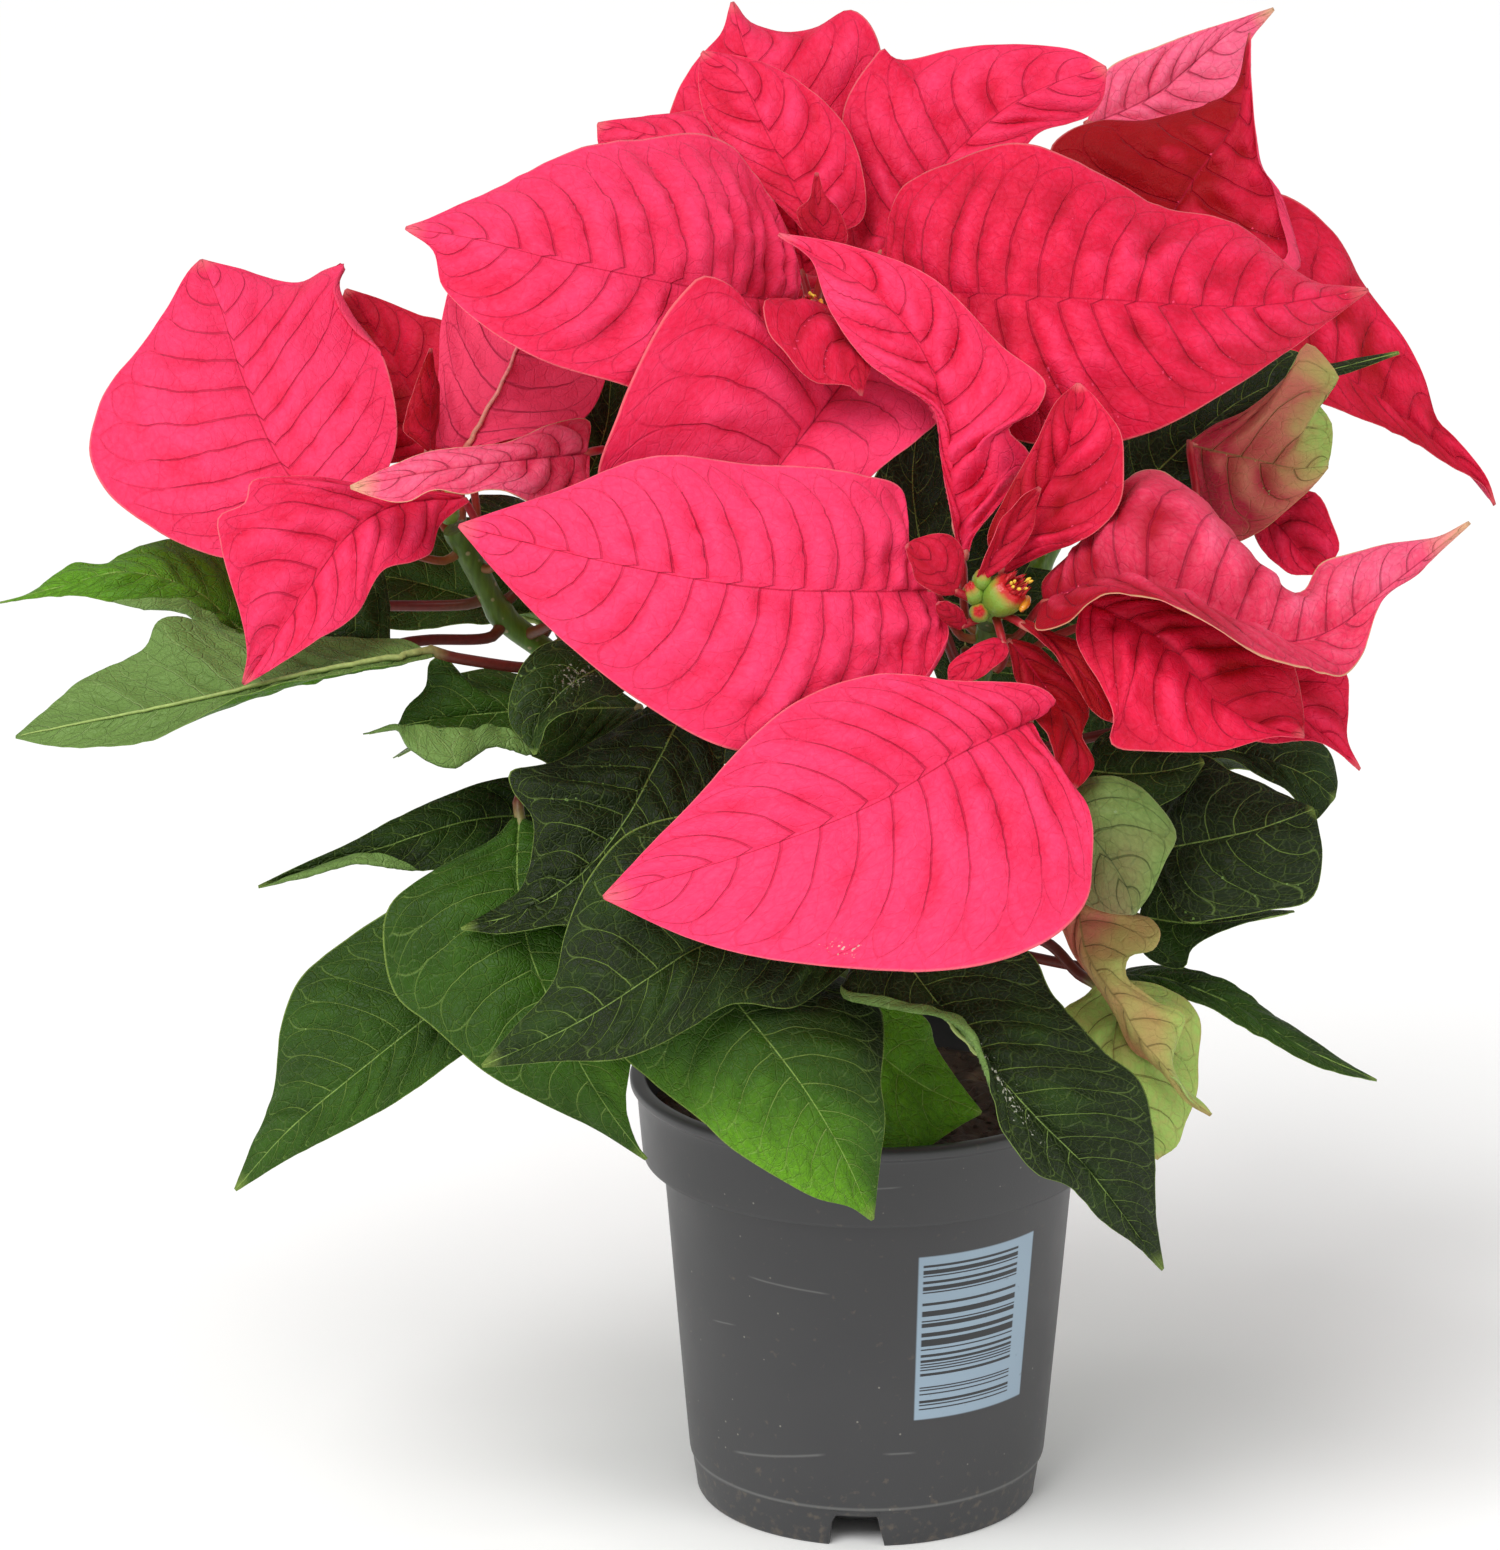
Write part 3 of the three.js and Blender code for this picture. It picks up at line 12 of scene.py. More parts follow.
import bpy
import numpy as np
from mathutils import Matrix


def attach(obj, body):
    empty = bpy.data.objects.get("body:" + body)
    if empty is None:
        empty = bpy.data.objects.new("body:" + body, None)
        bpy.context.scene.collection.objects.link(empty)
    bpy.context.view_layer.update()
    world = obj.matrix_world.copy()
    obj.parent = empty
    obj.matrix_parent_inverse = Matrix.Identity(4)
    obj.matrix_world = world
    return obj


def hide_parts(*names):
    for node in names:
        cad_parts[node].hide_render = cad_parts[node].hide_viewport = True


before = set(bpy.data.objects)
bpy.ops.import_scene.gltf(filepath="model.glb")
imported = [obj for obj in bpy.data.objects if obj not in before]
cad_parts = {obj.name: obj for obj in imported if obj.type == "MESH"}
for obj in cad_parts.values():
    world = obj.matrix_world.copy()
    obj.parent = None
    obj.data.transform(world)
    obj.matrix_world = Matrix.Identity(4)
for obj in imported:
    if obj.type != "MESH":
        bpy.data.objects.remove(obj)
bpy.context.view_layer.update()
MM = 0.001
SEED = 7
print("solids to dress:", len(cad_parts))

# %% [markdown]
# ## Camera
# The plant is seen from its front, a little from above, through a long lens. A long lens keeps
# the far blades nearly as large as the near ones, which is how such plants are shown for sale.
# The camera could track an empty, but a fixed place and one tilt are easier to read.

# %% Camera
CAMERA_PLACE = (-32.3, -1700.7, 714.3)
CAMERA_TILT = math.radians(16.71)
LENS = 153.76
SENSOR = 36.0

lens = bpy.data.cameras.new("camera")
lens.sensor_width = SENSOR
lens.lens = LENS
lens.clip_end = 100.0
camera = bpy.data.objects.new("camera", lens)
camera.location = [v * MM for v in CAMERA_PLACE]
camera.rotation_euler = (math.pi / 2 - CAMERA_TILT, 0.0, 0.0)
bpy.context.scene.collection.objects.link(camera)
bpy.context.scene.camera = camera
print("camera", round(LENS), "mm")

# %% [markdown]
# ## Three small helpers for colours, patterns and nodes
# A colour is written as the hex value that a painter would pick from the screen, and one
# function turns it to the linear numbers that Blender mixes. A pattern is written by its real
# size: how far apart its grains, cells or clouds are in millimetres. One more function adds a
# node to any tree, sets it and links it, so that a material reads from top to bottom like a
# recipe.


# %% Helpers for colours, patterns and nodes
def linear(hex_colour):
    """A screen colour such as 'ff8800' as linear red, green, blue and alpha."""
    parts = [int(hex_colour[i:i + 2], 16) / 255 for i in (0, 2, 4)]
    return [p / 12.92 if p <= 0.04045 else ((p + 0.055) / 1.055) ** 2.4 for p in parts] + [1.0]


def scale_for(size, unit=1 / MM):
    """A pattern's scale, to two figures, from its size in millimetres.

    The unit is the millimetres in one step of the coordinates: 1000 on Object coordinates, and
    1 on a blade's own sheet coordinates.
    """
    return float(f"{unit / size:.2g}")


def add(tree, kind, inputs=None, out=0, stops=(), **settings):
    """Add a node, set it, fill its inputs with values or with other nodes' outputs.

    Stops are a colour ramp's (position, colour) pairs. One output comes back, or the node
    itself where out is None or the node has no output.
    """
    node = tree.nodes.new(kind)
    for key, value in settings.items():
        setattr(node, key, value)
    for index, (place, colour) in enumerate(stops):
        # a new ramp already holds two stops
        stop = node.color_ramp.elements[index] if index < 2 else node.color_ramp.elements.new(place)
        stop.position = place
        stop.color = linear(colour)
    for key, value in (inputs or {}).items():
        if isinstance(value, bpy.types.NodeSocket):
            tree.links.new(value, node.inputs[key])
        else:
            node.inputs[key].default_value = value
    return node.outputs[out] if out is not None and node.outputs else node


def empty_material(name):
    """A material with an empty tree."""
    made = bpy.data.materials.new(name)
    made.use_nodes = True
    made.node_tree.nodes.clear()
    return made, made.node_tree


print("a test colour:", [round(v, 3) for v in linear("f2203e")])

# %% [markdown]
# ## Light and floor
# The plant stands in a white studio. A wide sun lamp high on the left gives the shape, with
# soft shadows under every blade, two soft boxes fill the sides, and a white sky lights what
# they leave dark. A white sweep under the pot throws light back up into the leaves. The plain
# display transform keeps the reds as strong as they are, where the filmic one would turn them
# to salmon.

# %% Light and floor
SUN_STRENGTH = 2.1
SUN_WIDTH = math.radians(36)
SUN_PLACE = (-0.75, -1.3, 2.1)
SOFT_BOXES = (
    ("fill_right", (1.7, -1.3, 0.9), 1.0, 11.0),
    ("fill_left", (-1.8, -0.9, 0.8), 1.0, 9.0),
)
LAMP_AIM = (0.0, 0.0, 0.22)
SKY = 0.5
FLOOR_HALF = 25.0

bpy.context.scene.view_settings.view_transform = "Standard"
world = bpy.data.worlds.new("studio")
world.use_nodes = True
world.node_tree.nodes["Background"].inputs["Color"].default_value = linear("ffffff")
world.node_tree.nodes["Background"].inputs["Strength"].default_value = SKY
bpy.context.scene.world = world


def hang(lamp, place):
    """Hang a lamp at a place and turn it to the plant."""
    holder = bpy.data.objects.new(lamp.name, lamp)
    holder.location = place
    aim = [a - b for a, b in zip(LAMP_AIM, place)]
    flat = math.hypot(aim[0], aim[1])
    holder.rotation_euler = (math.atan2(flat, -aim[2]), 0.0, math.atan2(-aim[0], aim[1]))
    bpy.context.scene.collection.objects.link(holder)


sun = bpy.data.lights.new("sun", "SUN")
sun.energy = SUN_STRENGTH
sun.angle = SUN_WIDTH
hang(sun, SUN_PLACE)
for lamp_name, place, size, power in SOFT_BOXES:
    box = bpy.data.lights.new(lamp_name, "AREA")
    box.size = size
    box.energy = power
    hang(box, place)

floor_mesh = bpy.data.meshes.new("floor")
corners = [(-1, -1), (1, -1), (1, 1), (-1, 1)]
floor_mesh.from_pydata([(x * FLOOR_HALF, y * FLOOR_HALF, 0.0) for x, y in corners], [], [(0, 1, 2, 3)])
floor = bpy.data.objects.new("floor", floor_mesh)
bpy.context.scene.collection.objects.link(floor)
paper, tree = empty_material("studio_paper")
paper_look = add(tree, "ShaderNodeBsdfPrincipled", {"Base Color": linear("fdfdfc"), "Roughness": 0.9})
add(tree, "ShaderNodeOutputMaterial", {"Surface": paper_look})
floor_mesh.materials.append(paper)
print("lamps:", 1 + len(SOFT_BOXES))

# %% [markdown]
# ## The layout of the plant
# Each blade is three curves, from its base to its tip: the midrib and the two edges, left and
# right of someone who looks at the upper face with the tip up. Five stems carry them. A blade
# also says which stem its stalk leaves and how far along. A stem name that starts with @ means
# that the blade has grown together with the stems, and one that ends with _head that it stands
# in a flower head. Hidden blades at the back follow one plain ovate rule.

# %% The stems and the flower heads
STEM_PATHS = {
    "main": (5.0, [(0, 0, 60), (0, 0, 100), (-1, 0, 138)]),
    "left": (3.4, [(-1, 0, 132), (-22, -8, 172), (-58, -17, 214), (-85, -20, 243),
                   (-97, -23, 254), (-103, -26, 266), (-109, -30, 280)]),
    "top": (3.6, [(-1, 0, 132), (-4, 2, 180), (-10, 0, 250), (-16, -8, 310), (-18, -12, 322)]),
    "front": (3.4, [(-1, 0, 128), (8, -20, 170), (20, -48, 220), (27, -66, 252), (29, -71, 265)]),
    "right": (3.4, [(-1, 0, 132), (14, 14, 185), (42, 34, 245), (70, 48, 290), (80, 53, 303)]),
}
HEAD_SEATS = {
    "left": (-110.6, -31.6, 284.6),
    "top": (-18, -15, 327.6),
    "front": (29.8, -74, 269.6),
    "right": (81.8, 54, 307.6),
}
STALK_RADIUS = {"bract": 1.2, "leaf": 1.6}
print("stems:", ", ".join(STEM_PATHS))


# %% Curves through points, and the two kinds of blade
def unit(v):
    """v, or each row of v, made one long."""
    return v / np.maximum(np.linalg.norm(v, axis=-1, keepdims=True), 1e-9)


def dot(a, b):
    """Dot product row by row, kept as a column."""
    return np.sum(a * b, axis=-1, keepdims=True)


def square_to(v, axis):
    """The part of v at a right angle to a unit axis, made one long."""
    return unit(v - dot(v, axis) * axis)


class Curve:
    """A centripetal Catmull-Rom curve through points, read by its share of the length."""

    def __init__(self, points, samples=240):
        p = np.asarray(points, float)
        p = np.vstack([2 * p[0] - p[1], p, 2 * p[-1] - p[-2]])
        t = np.linspace(0, len(p) - 3, samples)
        i = np.minimum(t.astype(int), len(p) - 4)
        w = (t - i)[:, None]
        p0, p1, p2, p3 = p[i], p[i + 1], p[i + 2], p[i + 3]
        d0, d1, d2 = [np.maximum(dot(b - a, b - a) ** 0.25, 1e-4) for a, b in ((p0, p1), (p1, p2), (p2, p3))]
        t1 = ((p1 - p0) / d0 - (p2 - p0) / (d0 + d1) + (p2 - p1) / d1) * d1
        t2 = ((p2 - p1) / d1 - (p3 - p1) / (d1 + d2) + (p3 - p2) / d2) * d1
        self.points = p1 + t1 * w + (3 * (p2 - p1) - 2 * t1 - t2) * w**2 + (2 * (p1 - p2) + t1 + t2) * w**3
        steps = np.linalg.norm(np.diff(self.points, axis=0), axis=1)
        self.length = steps.sum()
        self.shares = np.r_[0, np.cumsum(steps)] / self.length

    def at(self, share):
        """The point, or the points, at a share of the length."""
        return np.stack([np.interp(share, self.shares, self.points[:, k]) for k in range(3)], -1)

    def along(self, share, reach=0.004):
        """The unit direction there."""
        share = np.asarray(share, float)
        ahead = self.at(np.clip(share + reach, 0, 1))
        return unit(ahead - self.at(np.clip(share - reach, 0, 1)))


LAYOUT = {}


def blade(name, kind, stem, at, rib, left, right, via=(), bulge=(0.08, 0.08), slant=1.25):
    """Note one blade that is given by its midrib and its two edges."""
    LAYOUT[name] = dict(kind=kind, stem=stem, at=at, rib=rib, left=left, right=right,
                        via=list(via), bulge=bulge, slant=slant)


PLAIN_ARCH = 0.12
PLAIN_DROOP = 0.06
PLAIN_OUTLINE = ((0.08, 0.55), (0.3, 1.0), (0.55, 0.86), (0.8, 0.42))


def plain_blade(name, kind, stem, at, base, tip, width):
    """Note one ovate blade that arches from its base to its tip."""
    base, tip = np.array(base, float), np.array(tip, float)
    reach = tip - base
    length = np.linalg.norm(reach)
    side = unit(np.cross(reach / length, (0.0, 0.0, 1.0)))
    rise = np.cross(side, reach / length)

    def point(share, across, drop):
        lift = length * PLAIN_ARCH * math.sin(math.pi * share) - drop
        return base + reach * share + rise * lift + side * across

    def edge(sign):
        return [point(s, sign * width * 0.5 * w, width * PLAIN_DROOP * w) for s, w in PLAIN_OUTLINE]

    rib = [point(s, 0.0, 0.0) for s in (0, 0.33, 0.67, 1)]
    blade(name, kind, stem, at, rib=rib, left=edge(-1), right=edge(1))


print("a curve's test length:", round(Curve(STEM_PATHS["left"][1]).length), "mm")

# %% The blades' own curves, in millimetres
blade("left_bract_1", "bract", "left", 0.965,
    rib=[(-137, -44, 286), (-152, -30, 294), (-165, -8, 314), (-172, 8, 330), (-178, 22, 340)],
    left=[(-157, -44, 275), (-169, -40, 275), (-186, -32, 279), (-200, -22, 287), (-206, -14, 298),
        (-202, -8, 310), (-194, 0, 319), (-187, 8, 329), (-181, 18, 338)],
    right=[(-126, -34, 298), (-124, -24, 308), (-129, -8, 322), (-135, 0, 328), (-140, 8, 335),
        (-139, 14, 339), (-145, 18, 338), (-152, 18, 335), (-168, 20, 338)])
blade("left_bract_2", "bract", "left", 0.93,
    rib=[(-106, -38, 290), (-124, -50, 291), (-135, -60, 286), (-147, -70, 271), (-161, -84, 253)],
    left=[(-105, -42, 290), (-112, -50, 286), (-114, -58, 281), (-119, -62, 279), (-126, -66, 278),
        (-133, -72, 268), (-142, -78, 263)],
    right=[(-115, -42, 293), (-135, -50, 297), (-149, -58, 301), (-159, -62, 301), (-161, -66, 296),
        (-168, -66, 292), (-167, -70, 285), (-162, -78, 271), (-160, -82, 260)])
blade("left_bract_3", "bract", "left", 0.76,
    rib=[(-74, -38, 302), (-96, -56, 304), (-116, -64, 303), (-134, -66, 300)],
    left=[(-75, -46, 292), (-87, -58, 293), (-97, -64, 299), (-105, -68, 299), (-113, -70, 300),
        (-120, -70, 297), (-128, -68, 298)],
    right=[(-74, -30, 309), (-84, -40, 310), (-93, -48, 308), (-105, -56, 308), (-114, -60, 308),
        (-124, -64, 305)])
blade("left_bract_4", "bract", "left", 0.98,
    rib=[(-106, -24, 299), (-97, -22, 316), (-93, -16, 324), (-79, 0, 345)],
    left=[(-98, -30, 303), (-76, -26, 308), (-69, -14, 321), (-72, 0, 337)],
    right=[(-114, -26, 301), (-114, -18, 314), (-113, -8, 328), (-108, 2, 342)])
blade("left_bract_small", "bract", "left_head", 0,
    rib=[(-115, -32, 301), (-115, -30, 314), (-115, -26, 327)],
    left=[(-120, -34, 305), (-122, -34, 307), (-119, -30, 318)],
    right=[(-114, -28, 303), (-113, -26, 313)])
blade("left_bract_5", "bract", "left", 0.96,
    rib=[(-114, -15, 296), (-122, 2, 309), (-132, 16, 322), (-140, 26, 331)],
    left=[(-130, -10, 293), (-139, 5, 306), (-143, 18, 322)],
    right=[(-105, -8, 304), (-104, 4, 320), (-112, 8, 326), (-119, 12, 327), (-131, 20, 330)],
    via=[(-115, -22, 284)])
blade("top_bract_1", "bract", "top", 0.95,
    rib=[(-20, -14, 336), (-45, -45, 347), (-80, -58, 357), (-103, -54, 362), (-120, -46, 363)],
    left=[(-25, -40, 322), (-48, -58, 318), (-65, -66, 327), (-90, -68, 336), (-110, -58, 350),
        (-113, -50, 358)],
    right=[(-20, -8, 346), (-24, -6, 359), (-34, -6, 371), (-45, -14, 381), (-61, -24, 382),
        (-79, -32, 379), (-91, -36, 375), (-104, -40, 369), (-114, -44, 365)],
    via=[(-24, -14, 326)])
blade("top_bract_2", "bract", "top", 0.965,
    rib=[(1, -18, 341), (22, -36, 344), (57, -44, 344), (96, -34, 340), (129, -10, 339)],
    left=[(7, -8, 365), (20, -12, 374), (37, -18, 379), (53, -20, 374), (65, -20, 369), (75, -18, 363),
        (94, -16, 357), (108, -12, 346), (116, -10, 341)],
    right=[(9, -34, 321), (27, -46, 311), (47, -56, 308), (70, -56, 312), (92, -44, 321), (106, -32, 327),
        (117, -20, 332)])
blade("top_bract_3", "bract", "top", 0.985,
    rib=[(-15, -8, 352), (-19, -2, 360), (-24, 8, 369), (-29, 14, 378), (-35, 20, 389), (-45, 26, 395)],
    left=[(-22, -2, 357), (-32, 8, 365), (-39, 14, 372), (-44, 20, 379), (-46, 24, 387)],
    right=[(-3, -3, 356), (-3, 5, 368), (-8, 14, 379), (-18, 20, 387), (-27, 24, 392), (-36, 26, 394)])
blade("top_bract_4", "bract", "top", 0.975,
    rib=[(1, -4, 347), (11, 8, 360), (22, 18, 370), (36, 24, 381), (50, 28, 387), (62, 30, 390)],
    left=[(-6, 4, 344), (-7, 10, 355), (-6, 16, 365), (-8, 22, 378), (-5, 28, 385), (1, 33, 393),
        (3, 34, 395), (5, 34, 393), (8, 34, 392), (23, 36, 394), (45, 36, 395), (54, 34, 394)],
    right=[(16, 0, 350), (33, 12, 362), (44, 22, 374), (52, 25, 376), (58, 27, 378), (61, 28, 382)])
blade("top_bract_5", "bract", "top", 0.93,
    rib=[(-18, 14, 338), (-22, 28, 358), (-29, 40, 380), (-34, 48, 392), (-37, 56, 403)],
    left=[(-31, 18, 346), (-38, 34, 362), (-54, 44, 371), (-52, 48, 379), (-46, 54, 388), (-40, 56, 395)],
    right=[(-5, 22, 346), (-6, 34, 367), (3, 44, 387), (0, 50, 397), (-6, 54, 401), (-14, 54, 397),
        (-23, 56, 395), (-32, 58, 397)])
blade("top_bract_6", "bract", "top", 0.96,
    rib=[(-27, 7, 334), (-30, 16, 357), (-48, 26, 369), (-62, 34, 372), (-73, 40, 373)],
    left=[(-30, 0, 340), (-38, 18, 352), (-56, 28, 358), (-72, 38, 366)],
    right=[(-26, 16, 350), (-30, 28, 374), (-46, 36, 377), (-62, 40, 375)])
blade("top_bract_7", "bract", "top", 0.9,
    rib=[(-6, -31, 322), (-16, -45, 312), (-25, -53, 302), (-48, -63, 272)],
    left=[(2, -31, 325), (10, -37, 322), (17, -43, 315), (11, -49, 308), (-2, -57, 300), (-22, -62, 283),
        (-39, -63, 274)],
    right=[(-19, -37, 322), (-27, -43, 334), (-38, -49, 348), (-45, -53, 352), (-49, -57, 349),
        (-59, -65, 334), (-66, -69, 321), (-71, -71, 306), (-68, -71, 289), (-57, -67, 276)])
blade("top_bract_8", "bract", "top", 0.955,
    rib=[(-16, -32, 341), (-8, -46, 336), (-5, -54, 330), (-4, -58, 322)],
    left=[(-7, -40, 338), (-1, -50, 332)],
    right=[(-23, -42, 343), (-29, -50, 344), (-28, -54, 340), (-25, -58, 335), (-21, -60, 330),
        (-15, -60, 326), (-7, -60, 325)],
    via=[(-19, -25, 324)])
blade("top_bract_small", "bract", "top_head", 0,
    rib=[(-12, -14, 349), (-15, -14, 360), (-15, -10, 370)],
    left=[(-18, -16, 355), (-20, -16, 361), (-17, -14, 364)],
    right=[(-7, -14, 353), (-9, -12, 360), (-13, -12, 365)])
blade("front_bract_1", "bract", "front", 0.97,
    rib=[(15, -74, 275), (-5, -86, 278), (-30, -94, 281), (-65, -94, 287), (-90, -86, 291),
        (-106, -78, 293)],
    left=[(17, -82, 263), (-5, -98, 242), (-36, -106, 242), (-60, -106, 255), (-77, -100, 267),
        (-92, -90, 279)],
    right=[(8, -72, 283), (7, -64, 299), (-4, -70, 304), (-30, -76, 309), (-58, -80, 311), (-83, -80, 302)])
blade("front_bract_2", "bract", "front", 0.86,
    rib=[(39, -90, 245), (22, -103, 241), (0, -114, 231), (-30, -122, 221), (-69, -124, 209)],
    left=[(42, -97, 241), (48, -104, 233), (53, -112, 228), (54, -119, 219), (52, -126, 209),
        (42, -132, 200), (26, -136, 195), (-5, -138, 195), (-25, -136, 196), (-47, -130, 200)],
    right=[(45, -93, 251), (41, -94, 255), (31, -96, 257), (18, -98, 258), (-2, -100, 260),
        (-22, -106, 254), (-47, -114, 231)],
    slant=1.7)
blade("front_bract_3", "bract", "front", 0.985,
    rib=[(32, -74, 280), (38, -72, 291), (43, -70, 301), (48, -68, 310), (51, -65, 327)],
    left=[(28, -72, 288), (32, -71, 298), (40, -68, 312), (45, -66, 322)],
    right=[(43, -78, 286), (54, -84, 292), (61, -84, 303), (62, -77, 314), (56, -68, 323)])
blade("front_bract_4", "bract", "front", 0.975,
    rib=[(22, -69, 282), (19, -59, 300), (17, -53, 316), (11, -49, 333), (-3, -43, 347), (-25, -35, 359)],
    left=[(19, -67, 292), (17, -59, 303), (14, -57, 318), (5, -57, 325), (-3, -55, 331), (-12, -49, 342),
        (-17, -41, 354)],
    right=[(25, -68, 288), (31, -65, 295), (35, -61, 300), (39, -60, 307), (34, -61, 314), (41, -61, 319),
        (43, -58, 325), (32, -49, 333), (14, -45, 350), (-7, -39, 357)])
blade("front_bract_5", "bract", "front", 0.985,
    rib=[(42, -77, 273), (59, -89, 282), (71, -97, 281), (81, -99, 277), (91, -99, 273), (102, -97, 268),
        (114, -91, 269), (132, -81, 280), (151, -67, 291)],
    left=[(42, -74, 277), (52, -70, 286), (60, -61, 295), (65, -57, 302), (71, -58, 303), (80, -64, 297),
        (89, -71, 290), (96, -75, 282), (104, -77, 276), (108, -79, 276), (112, -79, 283), (119, -77, 285),
        (130, -73, 287), (143, -69, 288)],
    right=[(40, -90, 269), (47, -97, 273), (55, -105, 282), (69, -117, 283), (78, -121, 280),
        (88, -123, 276), (98, -119, 270), (108, -111, 264), (116, -103, 260), (122, -95, 264),
        (125, -91, 272), (128, -85, 276), (137, -77, 280), (144, -71, 285)],
    bulge=(0.4, 0.1))
blade("front_bract_6", "bract", "front", 0.93,
    rib=[(52, -84, 275), (66, -90, 270), (76, -96, 264), (85, -102, 254), (96, -104, 248),
        (107, -104, 245)],
    left=[(58, -82, 277), (69, -84, 277), (89, -88, 270), (103, -92, 263), (107, -96, 252)],
    right=[(50, -92, 267), (56, -100, 257), (59, -106, 250), (58, -108, 245), (68, -110, 243),
        (85, -110, 243), (98, -108, 246)],
    via=[(44, -70, 261), (54, -77, 268)])
blade("front_bract_7", "bract", "front", 0.84,
    rib=[(57, -72, 267), (92, -82, 254), (110, -86, 243), (123, -86, 231)],
    left=[(82, -72, 267), (108, -76, 259), (119, -80, 255), (120, -82, 247), (120, -84, 238)],
    right=[(77, -82, 248), (90, -88, 241), (100, -90, 239), (109, -90, 240), (116, -88, 237)],
    via=[(46, -66, 252)])
blade("front_small_1", "bract", "front_head", 0,
    rib=[(26, -81, 280), (31, -80, 289), (36, -79, 297), (41, -78, 303)],
    left=[(27, -83, 286), (31, -82, 295), (36, -80, 301)],
    right=[(32, -81, 283), (39, -80, 292), (40, -79, 298)])
blade("front_small_2", "bract", "front_head", 0,
    rib=[(20, -82, 277), (14, -86, 284), (7, -86, 290)],
    left=[(16, -86, 277), (10, -88, 281), (8, -88, 286)],
    right=[(22, -80, 283), (20, -80, 290), (15, -82, 292), (9, -84, 291)])
blade("front_small_4", "bract", "front_head", 0,
    rib=[(32, -83, 264), (25, -89, 261), (18, -93, 256)],
    left=[(33, -87, 262), (29, -91, 259), (23, -93, 256)],
    right=[(29, -83, 265), (23, -87, 263), (18, -91, 260)])
blade("front_bract_8", "bract", "front", 0.94,
    rib=[(34, -79, 263), (41, -81, 254), (48, -85, 244), (51, -93, 236), (49, -101, 230)],
    left=[(41, -77, 261), (46, -79, 257), (52, -81, 252), (54, -83, 245), (52, -89, 241), (55, -93, 235),
        (53, -97, 232)],
    right=[(34, -83, 259), (36, -85, 252), (40, -89, 246), (44, -95, 240), (46, -100, 234)])
blade("front_small_5", "bract", "front_head", 0,
    rib=[(37, -82, 269), (44, -86, 265), (51, -92, 259), (60, -98, 247)],
    left=[(44, -84, 267), (51, -88, 265), (55, -92, 259), (58, -95, 252)],
    right=[(39, -86, 267), (45, -90, 262), (49, -94, 257), (55, -98, 249)])
blade("right_bract_1", "bract", "right", 0.96,
    rib=[(60, 79, 365), (70, 85, 368), (80, 91, 372), (87, 95, 377), (99, 101, 386), (112, 107, 392)],
    left=[(62, 83, 372), (66, 89, 379), (80, 95, 384), (90, 99, 387), (102, 103, 390)],
    right=[(63, 81, 363), (68, 83, 365), (73, 85, 363), (80, 87, 361), (90, 91, 362), (98, 93, 365),
        (102, 97, 371), (105, 103, 383)],
    via=[(68, 72, 330), (61, 80, 352)])
blade("right_bract_2", "bract", "right", 0.985,
    rib=[(76, 55, 338), (84, 59, 348), (89, 63, 355), (95, 67, 362), (100, 71, 369), (104, 87, 389)],
    left=[(60, 57, 343), (49, 69, 359), (53, 73, 363), (64, 77, 367), (77, 79, 367), (90, 81, 369),
        (99, 83, 373)],
    right=[(89, 47, 332), (116, 53, 330), (115, 57, 339), (111, 59, 350), (107, 61, 355), (105, 67, 361),
        (104, 77, 378)])
blade("right_bract_3", "bract", "right", 0.97,
    rib=[(103, 55, 313), (126, 60, 302), (149, 64, 285), (165, 64, 271), (172, 60, 263)],
    left=[(101, 72, 346), (112, 76, 347), (125, 76, 337), (137, 74, 321), (146, 70, 309), (152, 68, 298),
        (156, 66, 286), (161, 65, 281), (170, 62, 270)],
    right=[(111, 48, 300), (124, 52, 293), (132, 54, 290), (144, 56, 284), (160, 60, 274), (169, 60, 268)])
blade("right_bract_4", "bract", "right", 0.66,
    rib=[(84, 3, 294), (93, 3, 292), (102, 3, 290), (112, 2, 288), (121, 4, 288)],
    left=[(91, 6, 299), (99, 5, 303), (109, 8, 311), (115, 10, 320), (121, 12, 315), (124, 12, 309),
        (118, 10, 305), (122, 8, 299), (122, 5, 293)],
    right=[(87, 7, 278), (94, 3, 267), (103, 1, 271), (111, 0, 278), (117, 2, 283)],
    via=[(72, 4, 264), (85, -4, 278)])
blade("right_bract_5", "bract", "right", 0.86,
    rib=[(97, 15, 276), (108, 9, 271), (114, 3, 265), (120, -1, 260)],
    left=[(108, 11, 275), (117, 5, 281), (121, 1, 276), (124, -3, 268)],
    right=[(101, 11, 270), (104, 5, 265), (111, -1, 260)])
blade("leaf_01", "leaf", "left", 0.88,
    rib=[(-151, -18, 253), (-164, -20, 249), (-177, -24, 261), (-195, -26, 267), (-213, -22, 262),
        (-230, -16, 256)],
    left=[(-169, -32, 250), (-181, -36, 258), (-190, -38, 260), (-204, -30, 261), (-219, -22, 259)],
    right=[(-164, -8, 266), (-187, -10, 272), (-198, -14, 268), (-203, -16, 266), (-210, -16, 267),
        (-214, -17, 265), (-223, -16, 258)])
